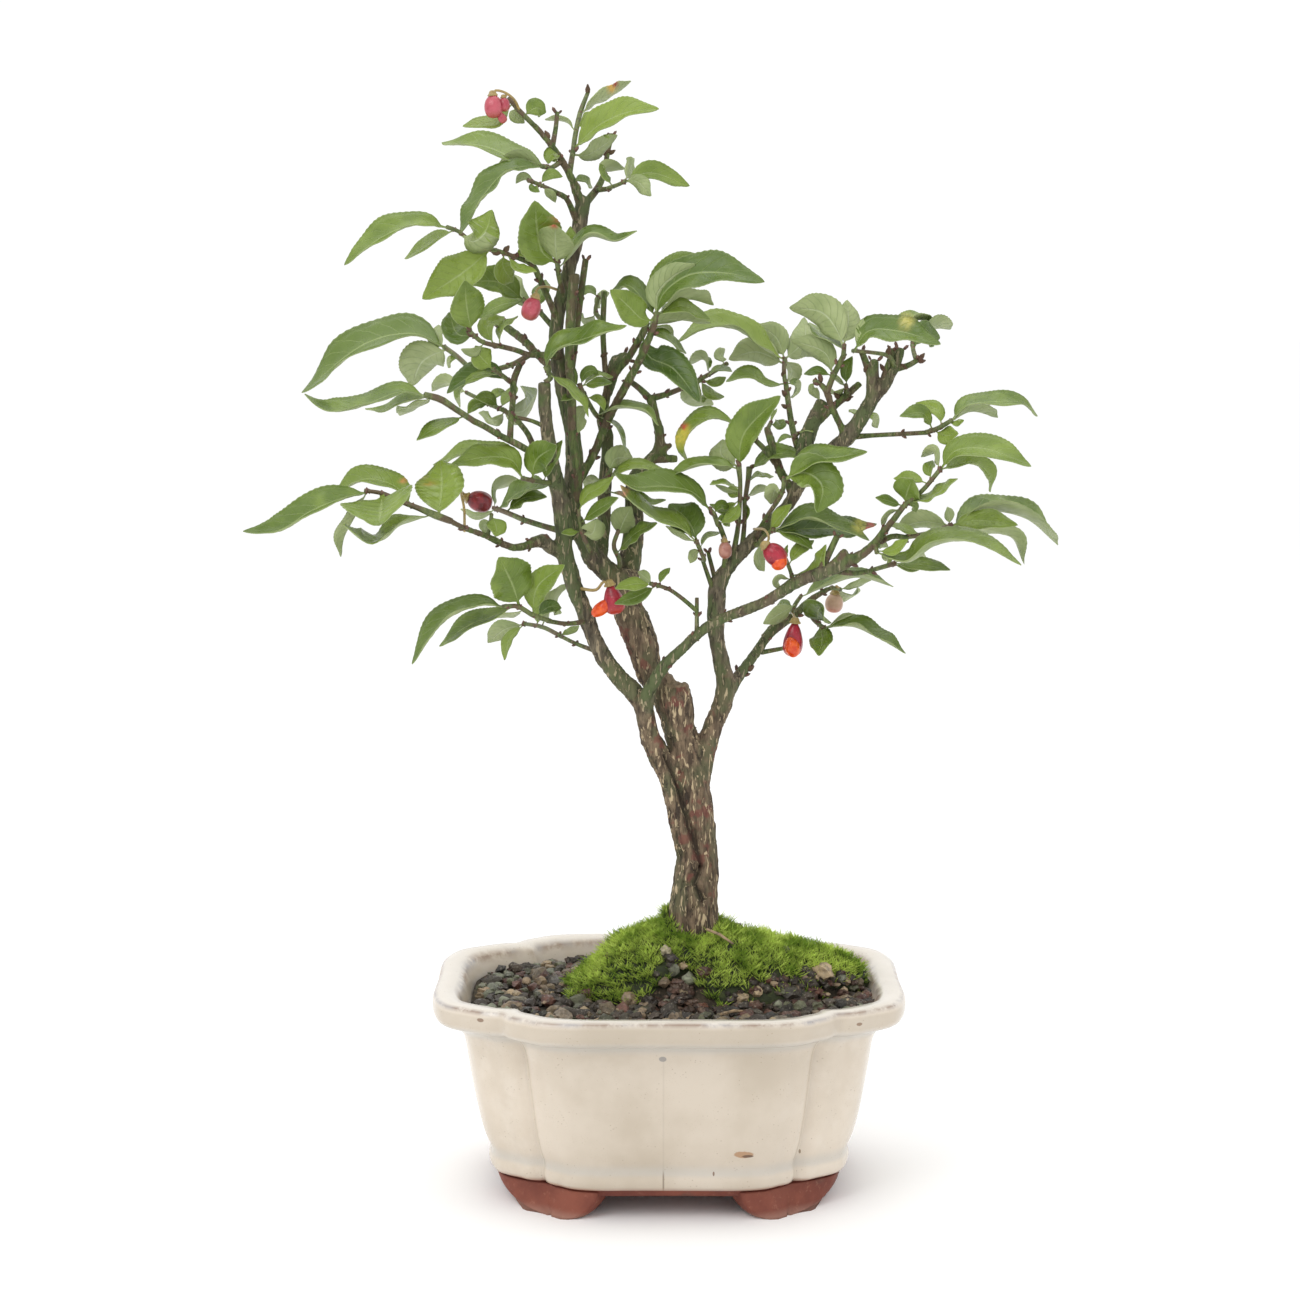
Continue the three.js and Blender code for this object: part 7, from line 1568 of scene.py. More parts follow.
def make_moss_blades():
    draw = random.Random(5)
    tufts = [moss_tuft(draw, k) for k in range(6)]
    up = Vector((0, 0, 1))
    copies = []
    while len(copies) < MOSS_TUFTS:
        part, turn = math.sqrt(draw.random()), draw.uniform(0, 2 * math.pi)
        x, y = moss_place(part, turn)
        if not inside_rim(x, y, MOSS_INSIDE) or math.hypot(x - TRUNK_FOOT, y * 1.1) < TRUNK_CLEAR:
            continue
        if y > 10 and draw.random() < 0.45 or stony(x, y) and draw.random() < 0.86:
            continue
        level = moss_top(x, y) - 0.9
        if part > 0.93:
            level = draw.uniform(min(level, soil_top(x, y)), level)
        lean = Vector((x - MOSS_CENTRE[0], (y - MOSS_CENTRE[1]) * 1.6, 0)) * 0.011
        leant = up.rotation_difference((up + lean * (0.6 + 0.6 * draw.random())).normalized())
        copies.append(tuft_at((x, y, level), leant.to_matrix().to_4x4(), mesh=draw.choice(tufts),
                              size=draw.uniform(0.6, 1.05), heading=draw.uniform(0, 6.28)))
    for _ in range(COLLAR_TUFTS):
        turn = draw.uniform(0, 2 * math.pi)
        x, y = TRUNK_FOOT + 9.9 * math.cos(turn), TRUNK_CLEAR * math.sin(turn)
        climb = 0.3 + 3 * max(0, -math.cos(turn)) + 1.5 * max(0, math.cos(turn))
        level = moss_top(x, y) + draw.uniform(-1.5, climb)
        leant = Matrix.Rotation(0.5, 4, (-math.sin(turn), math.cos(turn), 0))
        copies.append(tuft_at((x, y, level), leant, mesh=draw.choice(tufts),
                              heading=draw.uniform(0, 6.28), size=draw.uniform(0.5, 0.8)))
    middle = to_row((MOSS_CENTRE[0], 0, 0)).x
    left = [copy for copy in copies if copy.matrix_world.translation.x < middle]
    right = [copy for copy in copies if copy.matrix_world.translation.x >= middle]
    for side, chosen in (("left", left), ("right", right)):
        blades = join_copies("moss_blades_" + side, chosen)
        blades.data.materials.clear()
        blades.data.materials.append(MOSS_BLADE)
        stand_in(blades, "moss")


def moss_tuft(draw, number):
    """A few thin bent blades, in metres, whose dark foot and light tip are marked."""
    bm = bmesh.new()
    tip = bm.verts.layers.float.new("tip")
    for _ in range(9):
        height = draw.uniform(1.8, 4.4)
        width = draw.uniform(0.26, 0.42)
        made = bmesh.ops.create_cone(bm, cap_ends=False, segments=3, radius1=width,
                                     radius2=width * 0.12, depth=1)["verts"]
        tall = list(dict.fromkeys(edge for vertex in made for edge in vertex.link_edges
                                  if abs(edge.verts[0].co.z - edge.verts[1].co.z) > 0.5))
        bmesh.ops.subdivide_edges(bm, edges=tall, cuts=1)
        made = dict.fromkeys(vertex for face in bm.faces if not face.tag for vertex in face.verts)
        spread, heading = draw.uniform(0, 1.5), draw.uniform(0, 6.3)
        lean, bend = draw.uniform(0.1, 0.75), draw.uniform(0.1, 0.5)
        for vertex in made:
            part = vertex.co.z + 0.5
            out = spread + height * (lean * part + bend * part * part)
            vertex[tip] = part
            flat = Vector((vertex.co.x, vertex.co.y, 0))
            bent = Vector((out * math.cos(heading), out * math.sin(heading), height * part))
            vertex.co = bent + flat
        for face in bm.faces:
            face.tag = True
    for vertex in bm.verts:
        vertex.co *= MILLIMETRE
    mesh = mesh_of("tuft_%d" % number, bm)
    mesh.shade_smooth()
    return mesh


def join_copies(name, copies):
    copies[0].data = copies[0].data.copy()
    piece = join(copies)
    piece.name = piece.data.name = name
    piece.data.transform(piece.matrix_world)
    piece.matrix_world = Matrix.Identity(4)
    return piece


STONE_TONES = [(0.034, 0.024, 0.017), (0.06, 0.043, 0.029), (0.055, 0.047, 0.033),
               (0.15, 0.11, 0.062), (0.105, 0.108, 0.06), (0.19, 0.2, 0.135),
               (0.4, 0.3, 0.18), (0.12, 0.052, 0.035), (0.03, 0.027, 0.022),
               (0.045, 0.034, 0.026), (0.085, 0.035, 0.026), (0.25, 0.18, 0.11),
               (0.04, 0.03, 0.02), (0.075, 0.058, 0.04)]
CLUMP_TONES = [(0.06, 0.03, 0.02), (0.095, 0.048, 0.032), (0.04, 0.024, 0.018),
               (0.13, 0.08, 0.055)]
# Stones picked out in the photograph: x, y, half size and tone
CHOSEN_STONES = [((2, -44, 2.6), (0.43, 0.38, 0.3)), ((-1, -13, 2.1), (0.46, 0.4, 0.27)),
                 ((38, -40, 3.6), (0.23, 0.19, 0.14)),
                 ((-36, -34, 3.2), (0.19, 0.15, 0.105)), ((-52, -12, 3.4), (0.17, 0.15, 0.105))]


def stone(draw, place, size, tone, detail=2):
    bm = bmesh.new()
    layer = bm.verts.layers.float_color.new("tone")
    shape = Matrix.Translation(place) @ Matrix.Rotation(draw.uniform(0, 6.3), 4, "Z")
    shape = shape @ Matrix.Rotation(draw.uniform(-0.5, 0.5), 4, "X")
    shape = shape @ Matrix.Diagonal((size * draw.uniform(0.8, 1.25), size * draw.uniform(0.7, 1),
                                     size * draw.uniform(0.5, 0.85), 1))
    made = bmesh.ops.create_icosphere(bm, subdivisions=detail, radius=1)["verts"]
    offset = Vector((draw.random(), draw.random(), draw.random())) * 50
    shade = draw.uniform(0.65, 1.3)
    for vertex in made:
        push = (1 + 0.55 * noise.noise(vertex.co * 1.2 + offset)
                + 0.26 * noise.noise(vertex.co * 2.7 + offset))
        vertex.co = shape @ (vertex.co * push)
        vertex[layer] = Vector((*(min(1, part * shade) for part in tone), 1))
    return bm


def stony(x, y):
    """Whether a place on the mound's right front slope is grit and not moss."""
    ragged = 2.5 * noise.noise(Vector((x * 0.2, y * 0.2, 5)))
    return 19 < x < 70 and y < -20.5 + 0.36 * (x - 19) + ragged


# Half lengths and heights of the soil's sides, and its rings as parts of its edge
SOIL_SIDES = [(0, 13.4), (40, 13.4), (51.5, 13.4), (57, 16.2), (61.1, 30), (64.9, 50)]
SOIL_RINGS = [1, 0.97, 0.93, 0.88, 0.82, 0.75, 0.68, 0.6, 0.52, 0.44, 0.36, 0.28, 0.2, 0.12, 0]
# Dry stalks: where they start and end
STRAWS = [((17.5, -38, 68.6), (26.5, -30, 67.4)), ((-20, -40, 67.6), (-27, -44, 67.2)),
          ((13.1, -10, 91.5), (22.3, -14, 87.2))]
STRAW_TONE = (0.36, 0.25, 0.14, 1)


def make_soil_bed():
    bm = bmesh.new()
    lobed_spin(bm, SOIL_SIDES + [(SOIL_EDGE * part, SOIL_LEVEL) for part in SOIL_RINGS], 160)
    for vertex in bm.verts:
        if vertex.co.z > SOIL_LEVEL - 0.5:
            x, y = vertex.co.x, vertex.co.y
            vertex.co.z = soil_top(x, y) + 1.1 * noise.noise(Vector((x, y, 0)) * 0.12) - 0.9
    new_piece("soil_bed", bm, [SOIL], "soil")


def straw(start, end):
    bm = bmesh.new()
    tone = bm.verts.layers.float_color.new("tone")
    start, end = Vector(start), Vector(end)
    bend = start.lerp(end, 0.5) + Vector((0, 0, 0.7))
    for vertex in tube(bm, [start, bend, end], [0.5, 0.55, 0.35], 6):
        vertex[tone] = Vector(STRAW_TONE)
    return bm


def make_grit():
    draw = random.Random(8)
    stones = []
    while len(stones) < STONES:
        part, reach = draw.random(), math.sqrt(draw.random())
        x, y = outline_at(part, SOIL_EDGE * (0.12 + 0.86 * reach))
        side = math.hypot((x - MOSS_CENTRE[0]) / MOSS_REACH[0],
                          (y - MOSS_CENTRE[1]) / MOSS_REACH[1])
        notch = abs(x - NOTCH_X) < 9 and -24 < y < -8
        if side < 0.97 and not notch and not stony(x, y) and draw.random() > 0.05:
            continue
        size = min(3.8, 1.1 + abs(draw.gauss(0, 1.2)))
        size = min(size, 0.7 + 0.6 * SOIL_EDGE * 0.86 * (1 - reach))
        level = soil_top(x, y) if side > 1 else moss_top(x, y) - (0.4 if stony(x, y) else 1.5)
        stones.append(stone(draw, (x, y, level + draw.uniform(-0.4, 1.5)), size,
                            draw.choice(STONE_TONES), 2 if size > 1.3 else 1))
    for _ in range(BANK_STONES):
        x, y = draw.uniform(19, 70), draw.uniform(-24, -2)
        if stony(x, y):
            stones.append(stone(draw, (x, y, moss_top(x, y) - draw.uniform(0.1, 1.2)),
                                draw.uniform(0.9, 2.5), draw.choice(STONE_TONES + CLUMP_TONES)))
    for _ in range(CLUMPS):
        x, y = NOTCH_X + draw.gauss(0, 5.5), draw.uniform(-27, -14)
        level = draw.uniform(67, 77.5 - 0.9 * abs(x - NOTCH_X) + 0.7 * (y + 16))
        stones.append(stone(draw, (x, y, level), draw.uniform(0.9, 2.2), draw.choice(CLUMP_TONES)))
    for (x, y, size), colour in CHOSEN_STONES:
        level = moss_top(x, y) + 1.4 if moss_rise(x, y) > 1 else soil_top(x, y) + 0.6
        stones.append(stone(draw, (x, y, level), size, colour, 3))
    stones += [straw(*ends) for ends in STRAWS]
    new_piece("grit", gather(stones), [GRIT], "soil", smooth=False)


# Wood

# Limbs at least this thick somewhere are fused into one smooth skin
FUSED_RADIUS = 1.55
SKIN_VOXEL = 0.00062
SKIN_SMOOTHING = 4
# Bark is young at this radius and old this much above it, and old this far down from a height
AGE_RADIUS, AGE_RADIUS_SPAN = 0.9, 3.2
AGE_HEIGHT, AGE_HEIGHT_SPAN = 215, 90
# Buds, knobs and small dry bits on the wood: x, z, half length, half width and lean in degrees
BUDS = [(64, 219, 1.8, 0.9, 20), (65, 283.5, 1.6, 0.9, 30), (61, 277, 1.5, 0.9, -20),
        (57.5, 275.5, 1.6, 1, -40), (62.5, 272, 1.4, 0.8, 60), (74.5, 290, 1.8, 0.9, 20),
        (73, 284.5, 1.5, 0.8, -30), (85.5, 288, 1.7, 0.9, 40), (86, 286.5, 1.4, 0.8, 80),
        (81, 285, 1.4, 0.8, -50), (52, 281, 1.6, 0.9, -15), (40, 275.5, 1.6, 0.9, -35),
        (38.5, 282.5, 1.5, 0.8, 25), (37, 271, 1.4, 0.8, -60), (24.5, 252, 1.5, 0.8, -40),
        (28, 251, 1.4, 0.8, 60), (15, 235, 1.5, 0.9, -30), (-40.5, 363, 1.6, 0.9, -30),
        (-22, 357, 1.5, 0.8, 40), (-19, 357, 1.5, 0.8, 60), (-27.5, 377.5, 1.9, 0.9, 0),
        (-37, 321, 1.5, 0.9, -60), (-37, 318, 1.4, 0.8, -80), (-23.5, 289, 1.5, 0.9, 60),
        (-68, 298, 1.6, 0.8, -30), (-69, 294, 1.5, 0.8, -50), (27.4, 181.2, 1.6, 1.2, 60),
        (-41.8, 226, 2, 1.8, -60), (-58, 324, 2, 1.3, -70), (-55.8, 324.6, 1.5, 1, 40)]
# Wood up to this radius carries pairs of buds
THICKEST_BUDDED = 2.1
# Pruned stumps that swell from the fused wood, as for limbs, and the pale cut faces
STUMPS = [[3.6, 158, 1, 5, 3.4, 166, 0, 5.3, 3, 172, -0.5, 5.2, 2.6, 176, -0.5, 4]]
CUTS = [((2.6, 177), 4.5), ((-40, 222), 2.6)]


def skin_of(limbs):
    """Thick limbs joined into one closed skin, as a mesh in metres."""
    tubes = [limb_tube(flat, 18, 2) for flat in limbs]
    for part in tubes:
        bmesh.ops.recalc_face_normals(part, faces=part.faces)
    bm = gather(tubes)
    for vertex in bm.verts:
        vertex.co = to_row(vertex.co)
    holder = put_in_scene("skin", mesh_of("skin", bm))
    remesh = holder.modifiers.new("fuse", "REMESH")
    remesh.mode = "VOXEL"
    remesh.voxel_size = SKIN_VOXEL
    depsgraph = bpy.context.evaluated_depsgraph_get()
    fused = bpy.data.meshes.new_from_object(holder.evaluated_get(depsgraph))
    bpy.data.objects.remove(holder)
    return fused


def radius_near(places):
    """For each place the radius of the limb that it lies on."""
    starts, runs, radii = [], [], []
    for _, flat in WOOD:
        points, sizes = limb_line(flat)
        starts += points[:-1]
        runs += [b - a for a, b in zip(points, points[1:])]
        radii += zip(sizes, sizes[1:])
    starts, runs, radii = np.array(starts), np.array(runs), np.array(radii)
    squares = np.maximum((runs ** 2).sum(1), 1e-9)
    out = []
    for first in range(0, len(places), 20000):
        away = places[first:first + 20000, None, :] - starts[None]
        part = np.clip((away * runs[None]).sum(2) / squares, 0, 1)
        offset = np.sqrt(((away - part[:, :, None] * runs[None]) ** 2).sum(2))
        size = radii[None, :, 0] * (1 - part) + radii[None, :, 1] * part
        near = (offset / size).argmin(1)
        out.append(size[np.arange(len(near)), near])
    return np.concatenate(out)


# Lines seen from the front where two stems have grown together
CREASES = [[(-1, 152), (3.5, 140), (7, 127), (11.3, 113)], [(11, 113), (9, 107), (12, 101)],
           [(-9, 140), (-12, 128), (-9, 112)]]
CREASE_LOW, CREASE_HIGH = 95, 160


def crease_shape(crease, x, z):
    """Push outward beside a furrow that has a rounded lip on its left, and how much painted shade
    it gets.
    """
    gap, side = min((abs(off), off) for off in crease_offsets(crease, x, z))
    deep = hump(gap, 1, 1)
    return hump(side + 2.6, 0.9, 1.5) - 2.2 * deep, deep


def crease_offsets(crease, x, z):
    """Signed distances from a place to the stretches of a line, far ones given as 99."""
    for (x0, z0), (x1, z1) in zip(crease, crease[1:]):
        run = math.hypot(x1 - x0, z1 - z0)
        part = ((x - x0) * (x1 - x0) + (z - z0) * (z1 - z0)) / run ** 2
        across = ((x - x0) * (z0 - z1) + (z - z0) * (x1 - x0)) / run
        yield across if -0.05 <= part <= 1.05 else 99


def make_wood():
    thick = [flat for _, flat in WOOD if max(flat[3::4]) >= FUSED_RADIUS]
    thin = [flat for _, flat in WOOD if max(flat[3::4]) < FUSED_RADIUS]
    fused = skin_of(thick + STUMPS)
    bm = bmesh.new()
    bm.from_mesh(fused)
    bpy.data.meshes.remove(fused)
    for vertex in bm.verts:
        vertex.co = (vertex.co - POT_MIDDLE) * 1000
    for _ in range(SKIN_SMOOTHING):
        bmesh.ops.smooth_vert(bm, verts=bm.verts, factor=0.5,
                              use_axis_x=True, use_axis_y=True, use_axis_z=True)
    skin_count = len(bm.verts)
    parts = [bm] + [limb_tube(flat, 9, 3) for flat in thin]
    lines = [flat for _, flat in WOOD] + [stem for _, stems, _ in SHOOTS + SPURS for stem in stems]
    for x, z, half, width, lean in BUDS:
        gap, (foot_x, foot_z, depth, radius) = nearest_seen(lines, x, z)
        out = min(1, 0.85 * radius / max(gap, 1e-6))
        place = sighted(foot_x + (x - foot_x) * out, foot_z + (z - foot_z) * out, depth)
        place.y -= radius * 0.3
        parts.append(bmesh.new())
        bud(parts[-1], place, half, width, lean)
    bm = gather(parts)
    bm.normal_update()
    age = bm.verts.layers.float.new("age")
    cut = bm.verts.layers.float.new("cut")
    furrow = bm.verts.layers.float.new("furrow")
    radii = radius_near(np.array([list(vertex.co) for vertex in bm.verts]))
    for number, (vertex, radius) in enumerate(zip(bm.verts, radii)):
        x, y, z = vertex.co
        vertex[age] = (0.62 * min(1, max(0, (radius - AGE_RADIUS) / AGE_RADIUS_SPAN))
                       + 0.38 * min(1, max(0, (AGE_HEIGHT - z) / AGE_HEIGHT_SPAN)))
        if number < skin_count:
            ridges = noise.noise(Vector((x * 0.62, y * 0.62, z * 0.085)))
            fine = noise.noise(Vector((x * 1.9, y * 1.9, z * 0.33)))
            lumps = noise.noise(vertex.co * 0.2)
            push = min(1, radius / 5) * (0.55 * ridges + 0.42 * fine + 0.35 * lumps)
            # Furrows are pressed into the skin and marked for painted shade
            for crease in CREASES if CREASE_LOW < z < CREASE_HIGH and vertex.normal.y < 0 else ():
                shift, deep = crease_shape(crease, x, z)
                push += shift * min(1, -2 * vertex.normal.y)
                vertex[furrow] = max(vertex[furrow], deep)
            vertex.co += vertex.normal * push
        for (cut_x, cut_z), reach in CUTS:
            near = 1 - math.hypot(x - cut_x, z - cut_z) / reach
            if near > 0 and vertex.normal.z > 0.45:
                vertex[cut] = min(1, 3 * near)
    bmesh.ops.recalc_face_normals(bm, faces=bm.faces)
    new_piece("wood", bm, [BARK], "trunk_and_branches")


def make_bud_pairs():
    """Small brown buds that stand in pairs along the thin wood."""
    draw = random.Random(21)
    parts = []
    for _, flat in WOOD:
        points, radii = limb_line(flat)
        parts.append(bmesh.new())
        to_go = draw.uniform(5, 12)
        for k in range(1, len(points)):
            run = points[k] - points[k - 1]
            to_go -= run.length
            if to_go > 0 or radii[k] > THICKEST_BUDDED:
                continue
            to_go = draw.uniform(9, 17)
            level = run.cross(Vector((0, 1, 0))).normalized()
            across = Matrix.Rotation(draw.uniform(-1, 1), 3, run) @ level
            for side in (-1, 1):
                way = (across * side + run.normalized() * 1.3).normalized()
                size = draw.uniform(0.75, 1.2)
                place = points[k] + across * side * radii[k] * 0.9 + way * 0.5 * size
                shape = Matrix.Translation(place) @ way.to_track_quat("Z", "Y").to_matrix().to_4x4()
                shape = shape @ Matrix.Diagonal((0.6 * size, 0.6 * size, 1.25 * size, 1))
                bmesh.ops.create_icosphere(parts[-1], subdivisions=1, radius=1, matrix=shape)
    new_piece("bud_pairs", gather(parts), [BUD], "trunk_and_branches")


def bud(bm, place, half, width, lean):
    """A pointed bud of overlapping scales, leaning in the plane that faces front."""
    mark = bm.verts.layers.float.new("bud")
    made = bmesh.ops.create_uvsphere(bm, u_segments=10, v_segments=8, radius=1)["verts"]
    turn = Matrix.Rotation(math.radians(lean), 4, "Y")
    for vertex in made:
        rise = vertex.co.z
        scales = 1 + 0.12 * math.sin(rise * 9 + math.atan2(vertex.co.y, vertex.co.x) * 2)
        reach = width * (1 - 0.45 * max(0, rise)) * scales
        shape = Vector((vertex.co.x * reach, vertex.co.y * reach, rise * half + half * 0.6))
        vertex.co = place + turn @ shape
        vertex[mark] = 0.8


# Fruits

# Half outlines of a capsule, down from its neck, as parts of its half width and its length
SLENDER_CAPSULE = [(0, 0), (0.12, 0), (0.26, -0.03), (0.4, -0.1), (0.62, -0.22), (0.82, -0.38),
                   (0.97, -0.55), (1, -0.68), (0.93, -0.82), (0.74, -0.92), (0.42, -0.985),
                   (0.15, -1), (0, -1)]
ROUND_CAPSULE = [(0, 0), (0.14, 0), (0.34, -0.035), (0.62, -0.12), (0.84, -0.25), (0.97, -0.41),
                 (1, -0.55), (0.96, -0.7), (0.83, -0.84), (0.6, -0.94), (0.34, -0.985),
                 (0.12, -1), (0, -1)]
# Value of "along" that marks stalks and cups
STALK_MARK = -1
# A capsule is slender when its length is over this many times its width
SLENDER = 1.25
# Half outline of the cup that a capsule hangs from, as parts of the capsule's width
CUP = [(0, 0.24), (0.1, 0.23), (0.17, 0.16), (0.2, 0.06), (0.27, -0.02), (0.24, -0.07),
       (0.12, -0.09), (0, -0.09)]


def hang(bm, place, lean):
    """Carries a part that is built at the origin to the place that it hangs from."""
    turn = Matrix.Rotation(math.radians(-lean), 4, "Y")
    centre, scale = sighted(*place), sight_scale(place[2])
    for vertex in bm.verts:
        vertex.co = centre + turn @ (vertex.co * scale)


def capsule(place, width, length, lean):
    """A ribbed capsule that hangs from its neck."""
    bm = bmesh.new()
    along = bm.verts.layers.float.new("along")
    profile = SLENDER_CAPSULE if length > SLENDER * width else ROUND_CAPSULE
    lathe(bm, smooth_profile(profile, 26), 28, 0.002)
    for vertex in bm.verts:
        x, y, z = vertex.co
        low = min(1, max(0, -z))
        rib = 1 - 0.14 * low * abs(math.cos(2 * math.atan2(y, x) + 0.5)) ** 6
        vertex[along] = low
        vertex.co = (x * rib * width / 2, y * rib * width / 2, z * length)
    hang(bm, place, lean)
    return bm


def calyx(place, width, lean):
    """The small four-lobed cup between a stalk and its capsule."""
    bm = bmesh.new()
    along = bm.verts.layers.float.new("along")
    lathe(bm, [(reach * width, rise * width) for reach, rise in smooth_profile(CUP, 14)], 20, 0.002)
    for vertex in bm.verts:
        x, y, z = vertex.co
        lobe = 1 + 0.12 * math.cos(4 * math.atan2(y, x) + 1)
        vertex[along] = STALK_MARK
        vertex.co = (x * lobe, y * lobe, z)
    hang(bm, place, lean)
    return bm


def make_fruit(name, heads, stalks, look):
    parts = [capsule(*head) for head in heads]
    parts += [calyx(place, width, lean) for place, width, _, lean in heads]
    for stalk in stalks:
        parts.append(limb_tube(stalk, 8, 4))
        along = parts[-1].verts.layers.float.new("along")
        for vertex in parts[-1].verts:
            vertex[along] = STALK_MARK
    bm = gather(parts)
    along = bm.verts.layers.float["along"]
    for face in bm.faces:
        face.material_index = int(face.verts[0][along] < -0.5)
    bmesh.ops.recalc_face_normals(bm, faces=bm.faces)
    new_piece(name + "_head", bm, [look, STALK], name)


def make_seed(name, place, across, along, lean):
    bm = bmesh.new()
    bmesh.ops.create_uvsphere(bm, u_segments=24, v_segments=16, radius=1)
    for vertex in bm.verts:
        wrinkle = 1 + 0.05 * noise.noise(vertex.co * 2.4)
        x, y, z = vertex.co
        vertex.co = Vector((x * across, y * across, z * along)) * wrinkle
    hang(bm, place, lean)
    new_piece(name + "_coat", bm, [SEED], name)


# Colour spots seen on single leaves: x, z, reach and colour as the eye sees them
BLUSHES = [(-19.5, 379, 2.2, (0.64, 0.38, 0.07)), (-18.5, 380.2, 2.0, (0.3, 0.035, 0.02)),
           (-39, 334, 2.4, (0.48, 0.08, 0.045)), (69, 230.5, 2.6, (0.42, 0.06, 0.04)),
           (66, 231, 3.6, (0.42, 0.4, 0.08)), (5, 265, 2.4, (0.52, 0.06, 0.035)),
           (4, 262, 5.5, (0.56, 0.48, 0.07)), (-84, 246, 2.2, (0.52, 0.19, 0.06)),
           (-91, 246.5, 1.7, (0.48, 0.23, 0.07)), (-16, 243, 2.8, (0.56, 0.25, 0.16)),
           (81, 301, 3.4, (0.46, 0.42, 0.1)), (-38, 303, 2.0, (0.56, 0.17, 0.13)),
           (-19.5, 274.5, 2.4, (0.56, 0.18, 0.14))]


def blush_leaves(bm):
    layer = bm.verts.layers.float_color["blush"]
    for vertex in bm.verts:
        scale = abs(EYE.y) / (vertex.co.y - EYE.y)
        x = EYE.x + (vertex.co.x - EYE.x) * scale
        z = EYE.z + (vertex.co.z - EYE.z) * scale
        best, chosen = 0, (0.5, 0.3, 0.1)
        for spot_x, spot_z, reach, colour in BLUSHES:
            near = 1 - math.hypot(x - spot_x, z - spot_z) / reach
            if near > best:
                best, chosen = near, colour
        vertex[layer] = Vector((*chosen, min(1, 1.7 * best)))


def make_shoot(shoots, name, node, seed):
    bm = bmesh.new()
    bm.verts.layers.float_vector.new("leaf_place")
    bm.verts.layers.float_color.new("leaf_tint")
    bm.verts.layers.float_color.new("blush")
    draw = random.Random(seed)
    for shoot in shoots:
        leafy_shoot(bm, shoot, draw)
    blush_leaves(bm)
    new_piece(name, bm, [LEAF, TWIG, BUD], node)


LEAF = leaf_look()
TWIG = twig_look()
BUD = plain_look("bud_scales", 0.6, 0.6, 0.0004, (0.06, 0.026, 0.018), (0.19, 0.095, 0.06),
                 (900, 4), (1500, 3))
BARK = bark_look()
GLAZE = glaze_look()
SOIL = soil_look()
GRIT = stone_look()
MOSS = moss_look("moss", (0.02, 0.026, 0.009), (0.045, 0.062, 0.014), (0.075, 0.105, 0.02))
MOSS_BLADE = moss_look("moss_blade", (0.018, 0.034, 0.005), (0.225, 0.37, 0.026),
                       (0.68, 0.86, 0.15))
SEED = plain_look("seed_coat", 0.22, 0.2, 0.0003, (0.6, 0.045, 0.008), (0.8, 0.115, 0.014),
                  (500, 3), (900, 2))
STALK = capsule_look("stalk", (0.27, 0.2, 0.07), (0.42, 0.3, 0.11), (0.35, 0.18, 0.08))
CAPSULE_LOOKS = {name: capsule_look(name + "_capsule", *tones) for name, tones in {
    "dark": ((0.1, 0.01, 0.014), (0.28, 0.022, 0.03), (0.18, 0.015, 0.02)),
    "crimson": ((0.2, 0.005, 0.015), (0.4, 0.017, 0.04), (0.42, 0.035, 0.022)),
    "pink": ((0.34, 0.038, 0.06), (0.5, 0.095, 0.125), (0.4, 0.08, 0.07)),
    "brown": ((0.3, 0.12, 0.09), (0.48, 0.24, 0.18), (0.3, 0.11, 0.07)),
    "pale": ((0.42, 0.25, 0.17), (0.56, 0.38, 0.27), (0.47, 0.2, 0.15)),
}.items()}
SCREEN = plain_look("drain_screen", 0.55, 0.4, 0.0003, (0.012, 0.02, 0.015), (0.035, 0.05, 0.04),
                    (300, 4), (1200, 3))

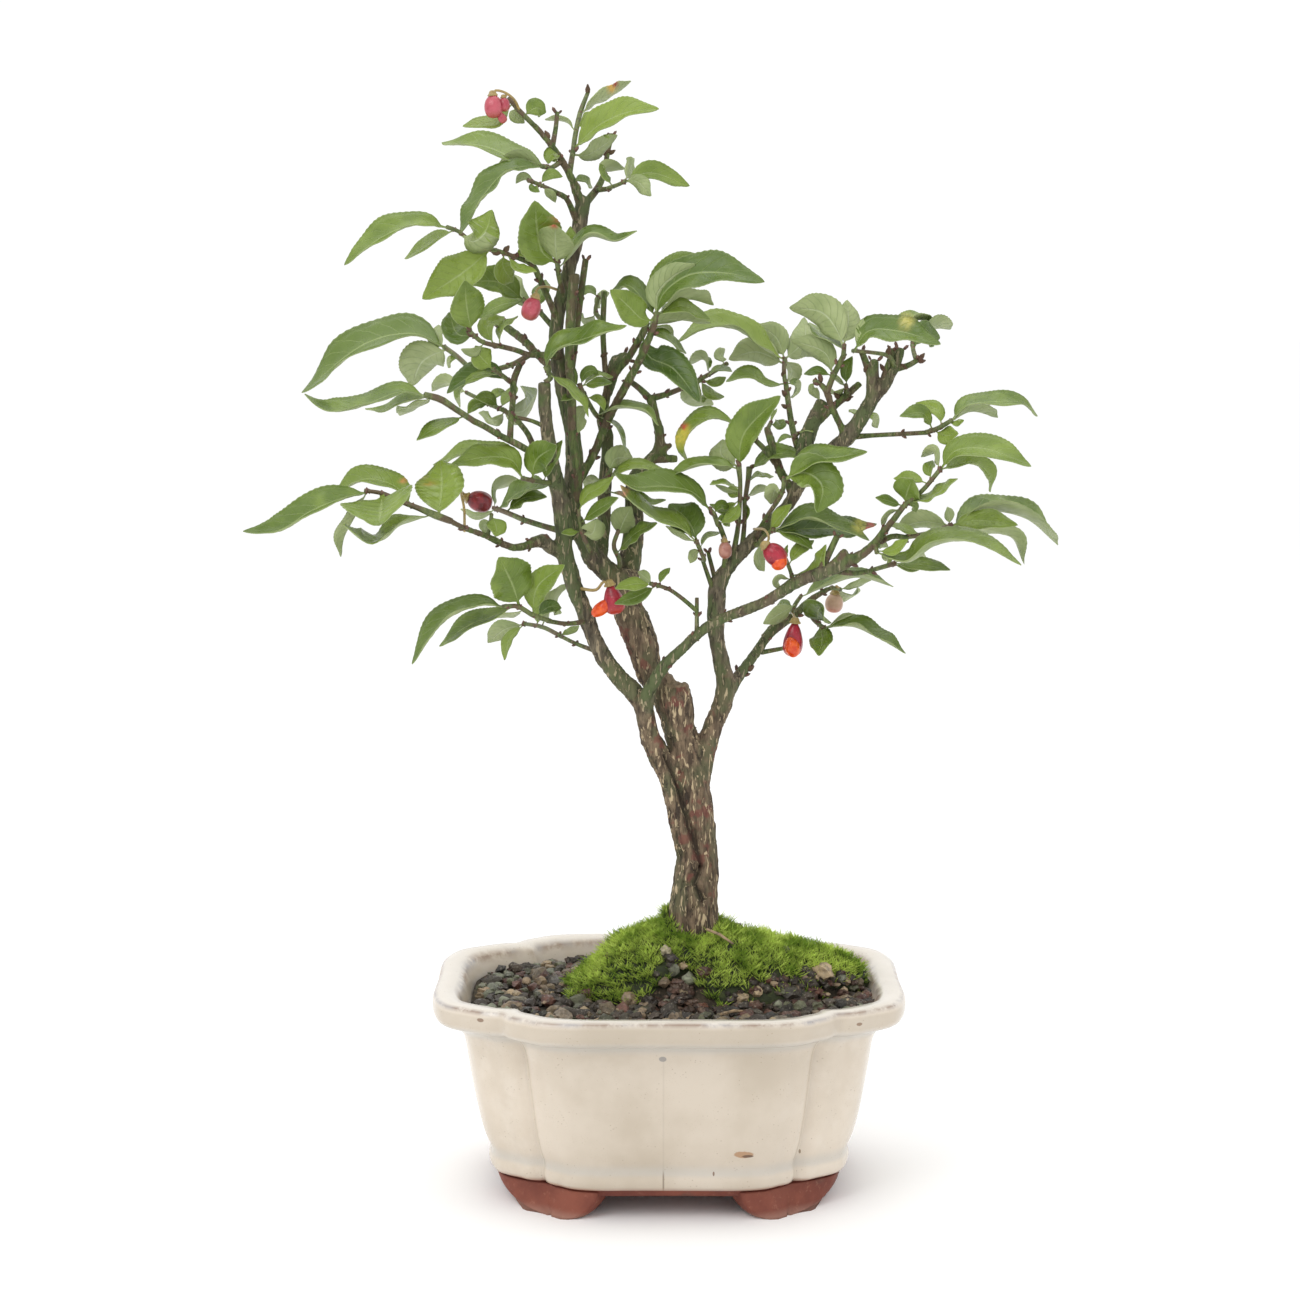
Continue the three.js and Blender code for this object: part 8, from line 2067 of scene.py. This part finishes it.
make_pot()
make_soil_bed()
make_grit()
make_mound()
make_moss_blades()
make_wood()
make_bud_pairs()
for number, shoot in enumerate(SHOOTS):
    make_shoot([shoot], "leaves_" + shoot[0], "shoot_" + shoot[0], 100 + number)
make_shoot(SPURS, "leaves_on_wood", "trunk_and_branches", 60)
for fruit_name, place, width, length, lean, stalk, look in FRUITS:
    make_fruit(fruit_name, [(place, width, length, lean)], [stalk], CAPSULE_LOOKS[look])
make_fruit("fruit_top_capsules", TOP_CAPSULES, TOP_STALKS, CAPSULE_LOOKS["pink"])
for seed_name, place, across, along, lean in SEEDS:
    make_seed(seed_name, place, across, along, lean)
for screen in ("drain_screen_left", "drain_screen_right"):
    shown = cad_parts[screen]
    shown.data.materials.clear()
    shown.data.materials.append(SCREEN)

# Floor and light

floor_bm = bmesh.new()
bmesh.ops.create_grid(floor_bm, x_segments=1, y_segments=1, size=12)
floor = put_in_scene("floor", mesh_of("floor", floor_bm))
floor_look = bpy.data.materials.new("floor")
floor_look.use_nodes = True
floor_inputs = floor_look.node_tree.nodes["Principled BSDF"].inputs
floor_inputs["Base Color"].default_value = (0.975, 0.975, 0.975, 1)
floor_inputs["Roughness"].default_value = 1.0
floor_inputs["Specular IOR Level"].default_value = 0.0
floor.data.materials.append(floor_look)

world = bpy.data.worlds.new("studio")
bpy.context.scene.world = world
world.use_nodes = True
world.node_tree.nodes["Background"].inputs[0].default_value = (1, 1, 1, 1)
world.node_tree.nodes["Background"].inputs[1].default_value = 1.04


def area_light(name, place, size, power):
    data = bpy.data.lights.new(name, "AREA")
    data.shape = "RECTANGLE"
    data.size = data.size_y = size
    data.energy = power
    lamp = put_in_scene(name, data)
    lamp.location = to_row(place)
    lamp.rotation_euler = (LIGHT_AIM - Vector(place)).to_track_quat("-Z", "Y").to_euler()


LIGHT_AIM = Vector((0, 0, 180))
area_light("key", (-650, -900, 1100), 0.7, 4.5)
area_light("top", (0, 150, 1300), 0.9, 3)

bpy.context.scene.view_settings.view_transform = "Standard"
bpy.context.scene.view_settings.look = "None"
